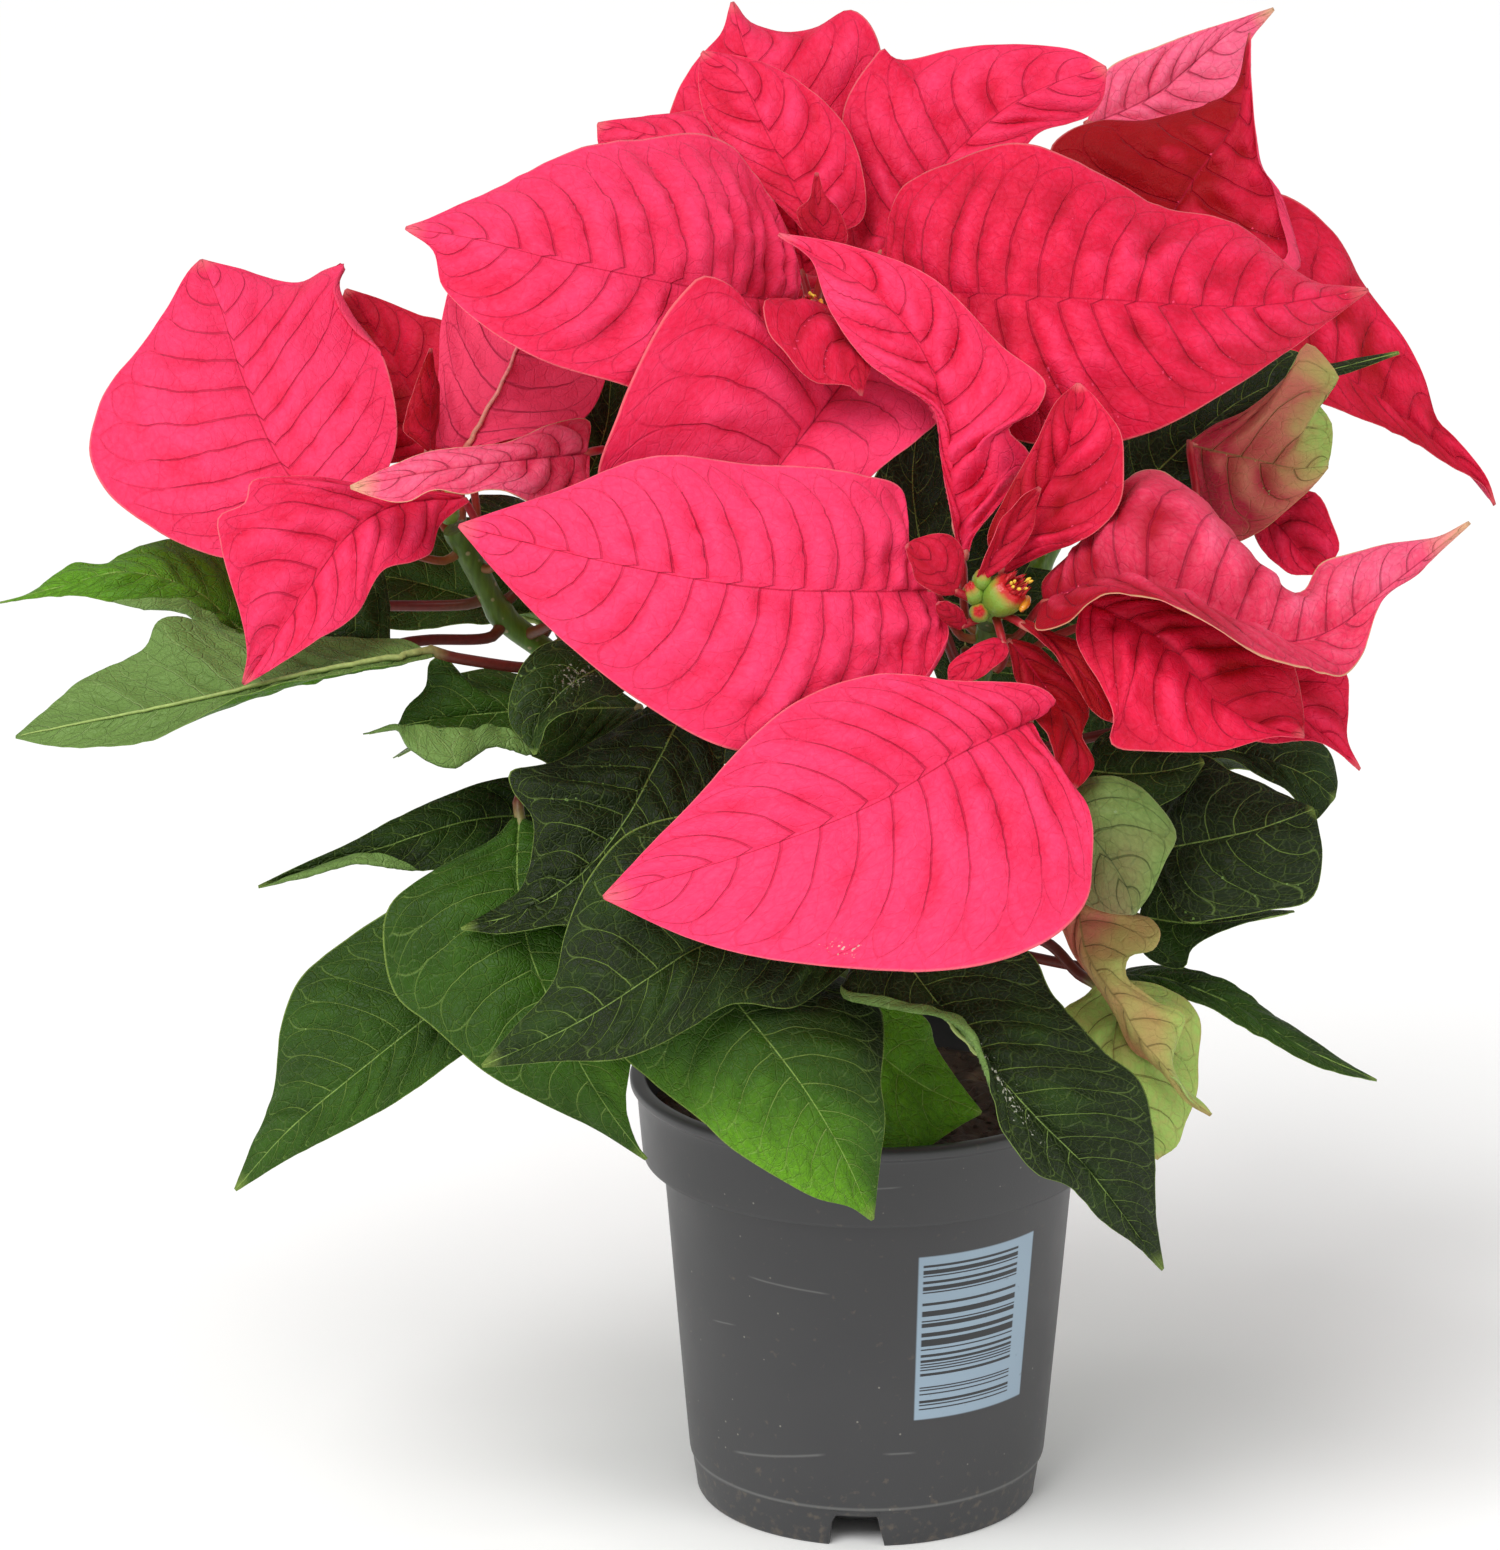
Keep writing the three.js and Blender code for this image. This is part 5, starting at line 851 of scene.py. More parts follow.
def stalk_line(b, rib_normals):
    """Points, radii and shares (0 bark, 1 base, 2 tip) of a stalk and the rib after it."""
    rib = Curve(b["rib"])
    base = np.asarray(b["rib"][0], float)
    radius = STALK_RADIUS[b["kind"]]
    via = [np.asarray(p, float) for p in b["via"]]
    if b["stem"].endswith("_head"):
        path = [np.asarray(HEAD_SEATS[b["stem"].replace("_head", "")]), base]
    else:
        stem_radius, stem_points = STEM_PATHS[b["stem"].strip("@")]
        stem = Curve(stem_points)
        middle = stem.at(b["at"])
        out = square_to((via or [base])[0] - middle, stem.along(b["at"]))
        inside = middle + out * (stem_radius - STALK_SINK)
        leave = middle + out * (stem_radius + STALK_CLEAR + STALK_STRAIGHT)
        if not via and np.linalg.norm(base - leave) >= STALK_BEND_REACH:
            via = [base - rib.along(0.0) * STALK_BEND]
        path = [inside, leave, *via, base]
    stalk = Curve(path)
    steps = max(int(stalk.length / STALK_STEP), 3)
    share = np.linspace(0, 1, steps + 1)
    rib_share = np.linspace(0, 1, len(rib_normals))[1:-1]
    under = rib.at(rib_share ** b["slant"])
    thin = radius * (1 - rib_share) ** 0.7 * (0.45 + 0.35 * np.exp(-rib_share / 0.08)) + 0.12
    settle = np.clip(rib_share / 0.06, 0, 1)
    depth = thin * RIB_DEPTH * (1 - settle) + (thin + RIB_CLEAR) * settle
    sunk = under - rib_normals[1:-1] * depth[:, None]
    foot = np.clip((share * stalk.length - stalk.length + 8) / 8, 0, 1) ** 2
    stalk_points = stalk.at(share) - rib_normals[0] * (foot * radius * RIB_DEPTH)[:, None]
    flare = 1 + 0.25 * np.exp(-share * stalk.length / 2.0)
    points = np.concatenate([stalk_points, sunk])
    radii = np.concatenate([radius * 0.92 * flare, thin])
    return points, radii, np.concatenate([share, 1 + rib_share])


# %% A mesh from vertices, faces, loose edges and attributes
def mesh_object(name, points, faces, edges=(), fields=None):
    """An object at the origin with a mesh in metres. Points are given in millimetres."""
    mesh = bpy.data.meshes.new(name)
    mesh.from_pydata((np.asarray(points) * MM).tolist(), [list(e) for e in edges], [list(f) for f in faces])
    for key, values in (fields or {}).items():
        values = np.asarray(values, np.float32)
        kind = "FLOAT_VECTOR" if values.ndim > 1 else "FLOAT"
        slot = mesh.attributes.new(key, kind, "POINT")
        slot.data.foreach_set("vector" if values.ndim > 1 else "value", values.ravel())
    made = bpy.data.objects.new(name, mesh)
    bpy.context.scene.collection.objects.link(made)
    return made


def bake_nodes(made):
    """Replace an object's mesh by what its Geometry Nodes give, and drop the modifier."""
    graph = bpy.context.evaluated_depsgraph_get()
    plain = bpy.data.meshes.new_from_object(made.evaluated_get(graph))
    made.modifiers.clear()
    old = made.data
    made.data = plain
    bpy.data.meshes.remove(old)
    plain.name = made.name
    return made


def node_tree_with(name, sockets):
    """A Geometry Nodes tree with named inputs, and the node that reads them."""
    tree = bpy.data.node_groups.new(name, "GeometryNodeTree")
    tree.interface.new_socket("Geometry", in_out="OUTPUT", socket_type="NodeSocketGeometry")
    for label, kind in [("Geometry", "NodeSocketGeometry"), *sockets]:
        tree.interface.new_socket(label, in_out="INPUT", socket_type=kind)
    return tree, tree.nodes.new("NodeGroupInput")


def use_tree(made, tree, values):
    """Put a tree on an object, set its inputs by their identifiers, and bake it."""
    modifier = made.modifiers.new(tree.name, "NODES")
    modifier.node_group = tree
    for item in tree.interface.items_tree:
        if item.in_out == "INPUT" and item.name in values:
            modifier[item.identifier] = values[item.name]
    return bake_nodes(made)


# %% The tree that sweeps loose edges into tubes
sweep, given = node_tree_with("sweep_lines", [
    ("Sides", "NodeSocketInt"), ("Tube", "NodeSocketMaterial"), ("Sheet", "NodeSocketMaterial")])
beside = add(sweep, "GeometryNodeInputMeshEdgeNeighbors")
loose = add(sweep, "FunctionNodeCompare", {2: beside, 3: 0}, data_type="INT", operation="EQUAL")
line = add(sweep, "GeometryNodeMeshToCurve", {"Mesh": given.outputs["Geometry"], "Selection": loose})
size = add(sweep, "GeometryNodeInputNamedAttribute", {"Name": "radius"}, data_type="FLOAT")
ring = add(sweep, "GeometryNodeCurvePrimitiveCircle", {"Resolution": given.outputs["Sides"], "Radius": 1.0})
tube = add(sweep, "GeometryNodeCurveToMesh",
           {"Curve": line, "Profile Curve": ring, "Scale": size, "Fill Caps": True})
tube = add(sweep, "GeometryNodeSetMaterial", {"Geometry": tube, "Material": given.outputs["Tube"]})
kept = add(sweep, "GeometryNodeDeleteGeometry", {"Geometry": given.outputs["Geometry"], "Selection": loose},
           domain="EDGE")
kept = add(sweep, "GeometryNodeSetMaterial", {"Geometry": kept, "Material": given.outputs["Sheet"]})
both = add(sweep, "GeometryNodeJoinGeometry", {0: tube}, out=None)
sweep.links.new(kept, both.inputs[0])
smooth = add(sweep, "GeometryNodeSetShadeSmooth", {"Geometry": both.outputs[0]})
real = add(sweep, "GeometryNodeRealizeInstances", {"Geometry": smooth})
add(sweep, "NodeGroupOutput", {"Geometry": real})
print("sweep tree nodes:", len(sweep.nodes))

# %% [markdown]
# ## Tissue of bracts and leaves
# In life the colour of a blade sits between its veins: the side veins and the net that joins
# them show darker on a red bract and paler on a green leaf, and the margin is a thin line of
# its own. Near the margin each side vein forks and meets its neighbours in a row of loops. The
# underside is dull and pale. A texture painted by hand could show it, but nodes that read the
# vein count stay sharp at any size. Two Voronoi nets stand for the small veins, and they drive
# the bump as well, so that the light agrees with the colour. A part of the light passes
# through, because the tissue is thin.

# %% Tissue material
NET_CELL = 3.6
FINE_CELL = 1.3
FORK_START = 0.66
FORK_END = 0.93


def tissue(name, colours, pitch, side_strength=0.5, net_strength=0.14, fine_strength=0.1,
           roughness=0.5, through=0.14, sheen=0.03, gloss=0.12, line=0.5, loops=0.45, crease_shade_share=0.5,
           clouds=0.7, rib_width=0.5, relief=0.18, rim_from=0.984, rim=0.5, tip_from=0.955):
    """A blade's tissue: fresh, mid, old, vein, patch, margin, under and under_vein colours."""
    made, tree = empty_material(name)
    shades = {key: linear(value) for key, value in colours.items()}
    vein, across, along, under, tone, dusty = [
        add(tree, "ShaderNodeAttribute", out=2, attribute_name=key)
        for key in ("vein", "across", "along", "under", "tone", "dusty")]
    sheet = add(tree, "ShaderNodeAttribute", out=1, attribute_name="sheet")
    outward = add(tree, "ShaderNodeMath", {0: across}, operation="ABSOLUTE")

    # veins wander a little, so every line is read at a bent place
    bent = add(tree, "ShaderNodeTexNoise",
               {"Vector": sheet, "Scale": scale_for(6.2, 1), "Detail": 2.0}, out=1)
    place = add(tree, "ShaderNodeVectorMath", {0: bent, 1: (4.0, 4.0, 0.0), 2: sheet},
                operation="MULTIPLY_ADD")
    wander = add(tree, "ShaderNodeTexNoise", {"Vector": sheet, "Scale": scale_for(9, 1), "Detail": 2.0})
    counted = add(tree, "ShaderNodeMath", {0: wander, 1: 0.2, 2: vein}, operation="MULTIPLY_ADD")
    counted = add(tree, "ShaderNodeMath", {0: counted, 1: 0.1}, operation="SUBTRACT")
    beside = add(tree, "ShaderNodeMath", {0: counted, 1: 0.5}, operation="PINGPONG")

    # straight part of a side vein, and its fork that meets the next one near the margin
    gap = add(tree, "ShaderNodeMath", {0: beside, 1: pitch}, operation="MULTIPLY")
    thick = add(tree, "ShaderNodeMapRange", {0: outward, 1: 0.0, 2: 0.9, 3: line, 4: 0.16})
    straight = add(tree, "ShaderNodeMapRange", {0: gap, 1: 0.0, 2: thick, 3: 1.0, 4: 0.0},
                   interpolation_type="SMOOTHSTEP")
    inside = add(tree, "ShaderNodeMapRange",
                 {0: outward, 1: FORK_START, 2: FORK_START + 0.08, 3: 1.0, 4: 0.0})
    straight = add(tree, "ShaderNodeMath", {0: straight, 1: inside}, operation="MULTIPLY")
    spread = add(tree, "ShaderNodeMapRange", {0: outward, 1: FORK_START, 2: FORK_END, 3: 0.0, 4: 1.0})
    spread = add(tree, "ShaderNodeMath", {0: spread, 1: 3.0}, operation="POWER")
    apart = add(tree, "ShaderNodeMath", {0: spread, 1: -pitch / 2, 2: gap}, operation="MULTIPLY_ADD")
    apart = add(tree, "ShaderNodeMath", {0: apart}, operation="ABSOLUTE")
    fork = add(tree, "ShaderNodeMapRange", {0: apart, 1: 0.05, 2: 0.34, 3: loops, 4: 0.0})
    outer = add(tree, "ShaderNodeMapRange", {0: outward, 1: FORK_START, 2: FORK_START + 0.03, 3: 0.0, 4: 1.0})
    ending = add(tree, "ShaderNodeMapRange", {0: outward, 1: FORK_END, 2: FORK_END + 0.03, 3: 1.0, 4: 0.0})
    fork = add(tree, "ShaderNodeMath", {0: fork, 1: outer}, operation="MULTIPLY")
    fork = add(tree, "ShaderNodeMath", {0: fork, 1: ending}, operation="MULTIPLY")
    side = add(tree, "ShaderNodeMath", {0: straight, 1: fork}, operation="MAXIMUM")
    # painted shade: the creases beside the side veins, strongest near the rib, drawn darker in the vein
    # colour
    crease_shade = add(tree, "ShaderNodeMapRange", {0: gap, 1: 0.1, 2: 2.4, 3: 1.0, 4: 0.0})
    near_rib = add(tree, "ShaderNodeMapRange", {0: outward, 1: 0.0, 2: 0.7, 3: 0.8, 4: 0.0})
    crease_shade = add(tree, "ShaderNodeMath", {0: crease_shade, 1: near_rib}, operation="MULTIPLY")

    net = add(tree, "ShaderNodeTexVoronoi", {"Vector": place, "Scale": 1 / NET_CELL},
              voronoi_dimensions="2D", feature="DISTANCE_TO_EDGE")
    net = add(tree, "ShaderNodeMapRange", {0: net, 1: 0.01, 2: 0.07, 3: 1.0, 4: 0.0})
    fine = add(tree, "ShaderNodeTexVoronoi", {"Vector": place, "Scale": 1 / FINE_CELL},
               voronoi_dimensions="2D", feature="DISTANCE_TO_EDGE")
    fine = add(tree, "ShaderNodeMapRange", {0: fine, 1: 0.02, 2: 0.18, 3: 1.0, 4: 0.0})
    split = add(tree, "ShaderNodeSeparateXYZ", {0: sheet}, out=None)
    off_rib = add(tree, "ShaderNodeMath", {0: split.outputs[1]}, operation="ABSOLUTE")
    rib = add(tree, "ShaderNodeMapRange", {0: along, 1: 0.0, 2: 1.0, 3: rib_width, 4: 0.15})
    rib = add(tree, "ShaderNodeMapRange", {0: off_rib, 1: 0.05, 2: rib, 3: 1.0, 4: 0.0})
    margin = add(tree, "ShaderNodeMapRange", {0: outward, 1: rim_from, 2: 0.995, 3: 0.0, 4: rim})

    # colour of the upper face: age and painted shade, both carried by tone, move it from fresh to old
    cloud = add(tree, "ShaderNodeTexNoise", {"Vector": sheet, "Scale": scale_for(16.7, 1), "Detail": 4.0})
    age_and_shade = add(tree, "ShaderNodeMath", {0: cloud, 1: clouds, 2: tone}, operation="MULTIPLY_ADD")
    age_and_shade = add(tree, "ShaderNodeMath", {0: age_and_shade, 1: clouds / 2}, operation="SUBTRACT", use_clamp=True)
    early = add(tree, "ShaderNodeMapRange", {0: age_and_shade, 1: 0.0, 2: 0.5, 3: 0.0, 4: 1.0})
    late = add(tree, "ShaderNodeMapRange", {0: age_and_shade, 1: 0.5, 2: 1.0, 3: 0.0, 4: 1.0})
    base = add(tree, "ShaderNodeMix", {0: early, 6: shades["fresh"], 7: shades["mid"]},
               out=2, data_type="RGBA")
    base = add(tree, "ShaderNodeMix", {0: late, 6: base, 7: shades["old"]}, out=2, data_type="RGBA")
    speckle = add(tree, "ShaderNodeTexNoise", {"Vector": sheet, "Scale": scale_for(1.43, 1), "Detail": 5.0})
    speckle = add(tree, "ShaderNodeMapRange", {0: speckle, 1: 0.42, 2: 0.75, 3: 0.0, 4: 0.4})
    young_and_unshaded = add(tree, "ShaderNodeMath", {0: 1.0, 1: age_and_shade}, operation="SUBTRACT")
    speckle = add(tree, "ShaderNodeMath", {0: speckle, 1: young_and_unshaded}, operation="MULTIPLY")
    base = add(tree, "ShaderNodeMix", {0: speckle, 6: base, 7: shades["patch"]},
               out=2, data_type="RGBA")
    for mask, share in ((fine, fine_strength), (net, net_strength), (crease_shade, side_strength * crease_shade_share),
                        (side, side_strength), (rib, 0.75)):
        drawn = add(tree, "ShaderNodeMath", {0: mask, 1: share}, operation="MULTIPLY")
        base = add(tree, "ShaderNodeMix", {0: drawn, 6: base, 7: shades["vein"]},
                   out=2, data_type="RGBA")
    tip = add(tree, "ShaderNodeMapRange", {0: along, 1: tip_from, 2: 1.0, 3: 0.0, 4: rim})
    margin = add(tree, "ShaderNodeMath", {0: margin, 1: tip}, operation="MAXIMUM")
    base = add(tree, "ShaderNodeMix", {0: margin, 6: base, 7: shades["margin"]},
               out=2, data_type="RGBA")
    dots = add(tree, "ShaderNodeTexNoise", {"Vector": sheet, "Scale": scale_for(0.9, 1), "Detail": 4.0})
    dots = add(tree, "ShaderNodeMath", {0: dusty, 1: 0.35, 2: dots}, operation="MULTIPLY_ADD")
    dots = add(tree, "ShaderNodeMapRange", {0: dots, 1: 0.86, 2: 0.94, 3: 0.0, 4: 0.8})
    base = add(tree, "ShaderNodeMix", {0: dots, 6: base, 7: linear("c9cbb8")}, out=2, data_type="RGBA")

    # colour of the underside
    below = shades["under"]
    for mask, share in ((fine, fine_strength), (net, net_strength), (side, 0.6)):
        drawn = add(tree, "ShaderNodeMath", {0: mask, 1: share}, operation="MULTIPLY")
        below = add(tree, "ShaderNodeMix", {0: drawn, 6: below, 7: shades["under_vein"]},
                    out=2, data_type="RGBA")
    colour = add(tree, "ShaderNodeMix", {0: under, 6: base, 7: below}, out=2, data_type="RGBA")

    # relief: veins are sunken lines, the fields between them swell
    low = add(tree, "ShaderNodeMath", {0: net, 1: relief, 2: side}, operation="MULTIPLY_ADD")
    low = add(tree, "ShaderNodeMath", {0: fine, 1: relief / 2, 2: low}, operation="MULTIPLY_ADD")
    grain = add(tree, "ShaderNodeTexNoise", {"Vector": sheet, "Scale": scale_for(0.42, 1), "Detail": 3.0})
    low = add(tree, "ShaderNodeMath", {0: grain, 1: -0.3, 2: low}, operation="MULTIPLY_ADD")
    height = add(tree, "ShaderNodeMath", {0: 0.0, 1: low}, operation="SUBTRACT")
    bump = add(tree, "ShaderNodeBump", {"Height": height, "Strength": 0.8, "Distance": 0.0006})
    rough = add(tree, "ShaderNodeMapRange",
                {0: grain, 1: 0.2, 2: 0.8, 3: roughness - 0.08, 4: roughness + 0.1})
    face = add(tree, "ShaderNodeBsdfPrincipled",
               {"Base Color": colour, "Roughness": rough, "Normal": bump, "Sheen Weight": sheen,
                "Sheen Roughness": 0.5, "Specular IOR Level": gloss})
    glow = add(tree, "ShaderNodeBsdfTranslucent", {"Color": colour, "Normal": bump})
    mixed = add(tree, "ShaderNodeMixShader", {0: through, 1: face, 2: glow})
    add(tree, "ShaderNodeOutputMaterial", {"Surface": mixed})
    print(name, "nodes:", len(tree.nodes))
    return made


# %% The tissues of the plant
bract_tissue = tissue("bract_lamina", {
    "fresh": "fd3c6c", "mid": "e01a42", "old": "9c0610", "vein": "b80e34", "patch": "ff5584",
    "margin": "ee8c8a", "under": "ee4168", "under_vein": "b01838"}, VEIN_PITCH["bract"],
    side_strength=0.27, net_strength=0.1, fine_strength=0.05)
pale_bract_tissue = tissue("paling_bract_lamina", {
    "fresh": "fb668c", "mid": "e8385e", "old": "a80a20", "vein": "a4123a", "patch": "f894aa",
    "margin": "d9c08c", "under": "ee5878", "under_vein": "a8203c"}, VEIN_PITCH["bract"],
    side_strength=0.38, net_strength=0.16, fine_strength=0.05, rim_from=0.965, rim=0.8, tip_from=0.9)
leaf_tissue = tissue("leaf_lamina", {
    "fresh": "629a1a", "mid": "355b10", "old": "18240c", "vein": "98b65c", "patch": "22321d",
    "margin": "8aa24c", "under": "6a8844", "under_vein": "a9c47c"}, VEIN_PITCH["leaf"],
    side_strength=0.62, net_strength=0.1, fine_strength=0.04, roughness=0.38, through=0.06,
    sheen=0.0, gloss=0.16, line=0.3, loops=0.4, crease_shade_share=0.0, clouds=0.55, rib_width=0.34, relief=0.6, rim=0.7)
turning_tissue = tissue("turning_leaf_lamina", {
    "fresh": "a0bf5e", "mid": "c4705c", "old": "b82440", "vein": "8a7a44", "patch": "c0a265",
    "margin": "c9a070", "under": "a8c06c", "under_vein": "c9cf92"}, VEIN_PITCH["leaf"],
    side_strength=0.5, net_strength=0.14, roughness=0.48, through=0.12, gloss=0.2, line=0.35)
sage_tissue = tissue("sage_leaf_lamina", {
    "fresh": "6b8742", "mid": "7c7048", "old": "96584e", "vein": "3d5028", "patch": "8fa55f",
    "margin": "9aa870", "under": "7f9460", "under_vein": "4b5a33"}, VEIN_PITCH["leaf"] * 0.8,
    side_strength=0.5, net_strength=0.22, roughness=0.5, through=0.1, gloss=0.2, line=0.35)

# %% [markdown]
# ## Stalks and bark
# A leaf stalk of this plant is dark red at the stem and turns green or pink where it becomes
# the midrib. A ramp over the stored share draws that. The stems are green and a little corky
# lower down, with pale lenticels and fine grooves along their length.


# %% Stalk material
def stalk_material(name, stops):
    """A smooth stalk whose colour follows its share from the bark to the blade's tip."""
    made, tree = empty_material(name)
    share = add(tree, "ShaderNodeAttribute", out=2, attribute_name="along")
    share = add(tree, "ShaderNodeMath", {0: share, 1: 0.5}, operation="MULTIPLY")
    ramp = add(tree, "ShaderNodeValToRGB", {0: share}, stops=stops)
    place = add(tree, "ShaderNodeTexCoord", out=3)
    streak = add(tree, "ShaderNodeTexNoise", {"Vector": place, "Scale": scale_for(1.11), "Detail": 3.0})
    shade = add(tree, "ShaderNodeMapRange", {0: streak, 1: 0.3, 2: 0.8, 3: 0.75, 4: 1.15})
    colour = add(tree, "ShaderNodeVectorMath", {0: ramp, "Scale": shade}, operation="SCALE")
    bump = add(tree, "ShaderNodeBump", {"Height": streak, "Strength": 0.3, "Distance": 0.0002})
    face = add(tree, "ShaderNodeBsdfPrincipled",
               {"Base Color": colour, "Roughness": 0.4, "Normal": bump, "Specular IOR Level": 0.25})
    add(tree, "ShaderNodeOutputMaterial", {"Surface": face})
    return made


bract_stalk = stalk_material("bract_stalk", (
    (0.0, "7d5a2c"), (0.2, "8c2b1d"), (0.48, "a8182a"), (0.56, "d8927c"), (1.0, "e8788c")))
leaf_stalk = stalk_material("leaf_stalk", (
    (0.0, "5c3a1c"), (0.15, "63201a"), (0.46, "5e2820"), (0.56, "a3b068"), (1.0, "98b060")))
print("stalk materials:", bract_stalk.name, leaf_stalk.name)

# %% Bark material
bark, tree = empty_material("green_bark")
place = add(tree, "ShaderNodeTexCoord", out=3)
grooves = add(tree, "ShaderNodeVectorMath", {0: place, 1: (1.0, 1.0, 0.12)}, operation="MULTIPLY")
grooves = add(tree, "ShaderNodeTexNoise", {"Vector": grooves, "Scale": scale_for(1.11), "Detail": 4.0})
patches = add(tree, "ShaderNodeTexNoise", {"Vector": place, "Scale": scale_for(16.7), "Detail": 4.0})
split = add(tree, "ShaderNodeSeparateXYZ", {0: place}, out=None)
corky = add(tree, "ShaderNodeMapRange", {0: split.outputs[2], 1: 0.1, 2: 0.19, 3: 0.85, 4: 0.05})
corky = add(tree, "ShaderNodeMath", {0: patches, 1: 0.5, 2: corky}, operation="MULTIPLY_ADD")
corky = add(tree, "ShaderNodeMath", {0: corky, 1: 0.25}, operation="SUBTRACT", use_clamp=True)
skin = add(tree, "ShaderNodeMix", {0: corky, 6: linear("4a6a1a"), 7: linear("5c5034")}, out=2,
           data_type="RGBA")
shade = add(tree, "ShaderNodeMapRange", {0: grooves, 1: 0.3, 2: 0.75, 3: 0.7, 4: 1.2})
skin = add(tree, "ShaderNodeVectorMath", {0: skin, "Scale": shade}, operation="SCALE")
pores = add(tree, "ShaderNodeTexVoronoi", {"Vector": place, "Scale": scale_for(3.8)}, feature="F1")
pores = add(tree, "ShaderNodeMapRange", {0: pores, 1: 0.12, 2: 0.2, 3: 0.6, 4: 0.0})
skin = add(tree, "ShaderNodeMix", {0: pores, 6: skin, 7: linear("a99c72")}, out=2, data_type="RGBA")
height = add(tree, "ShaderNodeMath", {0: pores, 1: 0.8, 2: grooves}, operation="MULTIPLY_ADD")
bump = add(tree, "ShaderNodeBump", {"Height": height, "Strength": 0.5, "Distance": 0.0004})
face = add(tree, "ShaderNodeBsdfPrincipled",
           {"Base Color": skin, "Roughness": 0.35, "Normal": bump, "Specular IOR Level": 0.3})
add(tree, "ShaderNodeOutputMaterial", {"Surface": face})
print(bark.name, "nodes:", len(tree.nodes))

# %% [markdown]
# ## Making the blades
# Every blade object holds its closed sheet and, swept from its loose line, its stalk and
# midrib. It replaces the CAD solid of the same name. The small blades that have grown together
# with the stems or with a head are collected and joined to those pieces further down.

# %% One blade's geometry
RIDGE = {"bract": 0.22, "leaf": 0.3}
# where dust lies on a blade: share along it, share across it, reach
DUSTY = {"leaf_12": (0.5, 0.3, 0.22), "front_bract_2": (0.66, -0.88, 0.05), "leaf_05": (0.4, 0.0, 0.3)}


def blade_parts(name):
    """Points, faces, loose edges and attributes of one blade with its stalk."""
    b = dict(LAYOUT[name])
    b["pleat"] = PLEAT.get(name, USUAL_PLEAT[b["kind"]])
    b["ridge"] = RIDGE[b["kind"]]
    b["tone"] = TONE.get(name, USUAL_TONE[b["kind"]])
    b["fold"] = FOLDS.get(name)
    seed = SEED + 40 * list(LAYOUT).index(name)
    upper, lower, fields, rib_normals = blade_sheet(b, seed)
    rows, columns = upper.shape[:2]
    line, radii, shares = stalk_line(b, rib_normals)
    sheet_count = rows * columns * 2
    points = np.concatenate([upper.reshape(-1, 3), lower.reshape(-1, 3), line])
    edges = np.stack([np.arange(len(line) - 1), np.arange(1, len(line))], -1) + sheet_count
    spare = np.zeros(len(line))
    both = {}
    for key, values in fields.items():
        flat = values.reshape(rows * columns, -1)
        none = np.zeros((len(line), flat.shape[1]))
        both[key] = np.squeeze(np.concatenate([flat, flat, none]))
    both["along"][sheet_count:] = shares
    both["under"] = np.r_[np.zeros(rows * columns), np.ones(rows * columns), spare]
    both["radius"] = np.r_[np.zeros(sheet_count), radii * MM]
    middle, aside, reach = DUSTY.get(name, (0.0, 0.0, 0.01))
    off = (both["along"] - middle) ** 2 + 0.25 * (both["across"] - aside) ** 2
    both["dusty"] = np.exp(-off / reach**2) * (name in DUSTY)
    return points, sheet_faces(rows, columns), edges, both


# %% The blades that are nodes of their own
STALK_SIDES = 12
OTHER_TISSUE = {"right_bract_1": pale_bract_tissue, "front_bract_5": pale_bract_tissue,
                "left_bract_3": pale_bract_tissue, "right_bract_4": turning_tissue,
                "leaf_13": turning_tissue, "leaf_14": turning_tissue, "leaf_16": sage_tissue}
KIND_LOOK = {"bract": (bract_tissue, bract_stalk), "leaf": (leaf_tissue, leaf_stalk)}
triangles = 0
fused = []
for name, b in LAYOUT.items():
    if b["stem"].startswith("@") or b["stem"].endswith("_head"):
        fused.append(name)
        continue
    face, stalk = KIND_LOOK[b["kind"]]
    face = OTHER_TISSUE.get(name, face)
    piece = mesh_object(name + "_blade", *blade_parts(name))
    use_tree(piece, sweep, {"Sides": STALK_SIDES, "Tube": stalk, "Sheet": face})
    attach(piece, "root")
    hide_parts(name)
    triangles += len(piece.data.loop_triangles) or len(piece.data.polygons) * 2
print("blades:", len(LAYOUT) - len(fused), "triangles about", triangles)

# %% [markdown]
# ## The woody stem and the small leaves on it
# One stem leaves the peat, swells where it branches and sends four green stems to the blooms.
# It could be a skin modifier on a stick figure. A swept line for each branch gives rounder
# forks here, because every branch starts inside the main stem and the line can be swollen at
# its nodes, where old leaves have left their scars.

# %% Stems
STEM_SIDES = 24
STEM_STEP = 1.5
NODE_EVERY = 26.0
NODE_SWELL = 0.16
STEM_TAPER = 0.12


def stem_line(name):
    """Points and radii along one stem."""
    radius, path = STEM_PATHS[name]
    stem = Curve(path)
    share = np.linspace(0, 1, int(stem.length / STEM_STEP) + 2)
    run = share * stem.length
    swell = NODE_SWELL * np.exp(-(((run + 9) % NODE_EVERY - NODE_EVERY / 2) / 2.4) ** 2)
    wobble = 0.03 * np.sin(run * 0.23 + radius)
    return stem.at(share), radius * (1 + swell + wobble - STEM_TAPER * (share - 0.5))


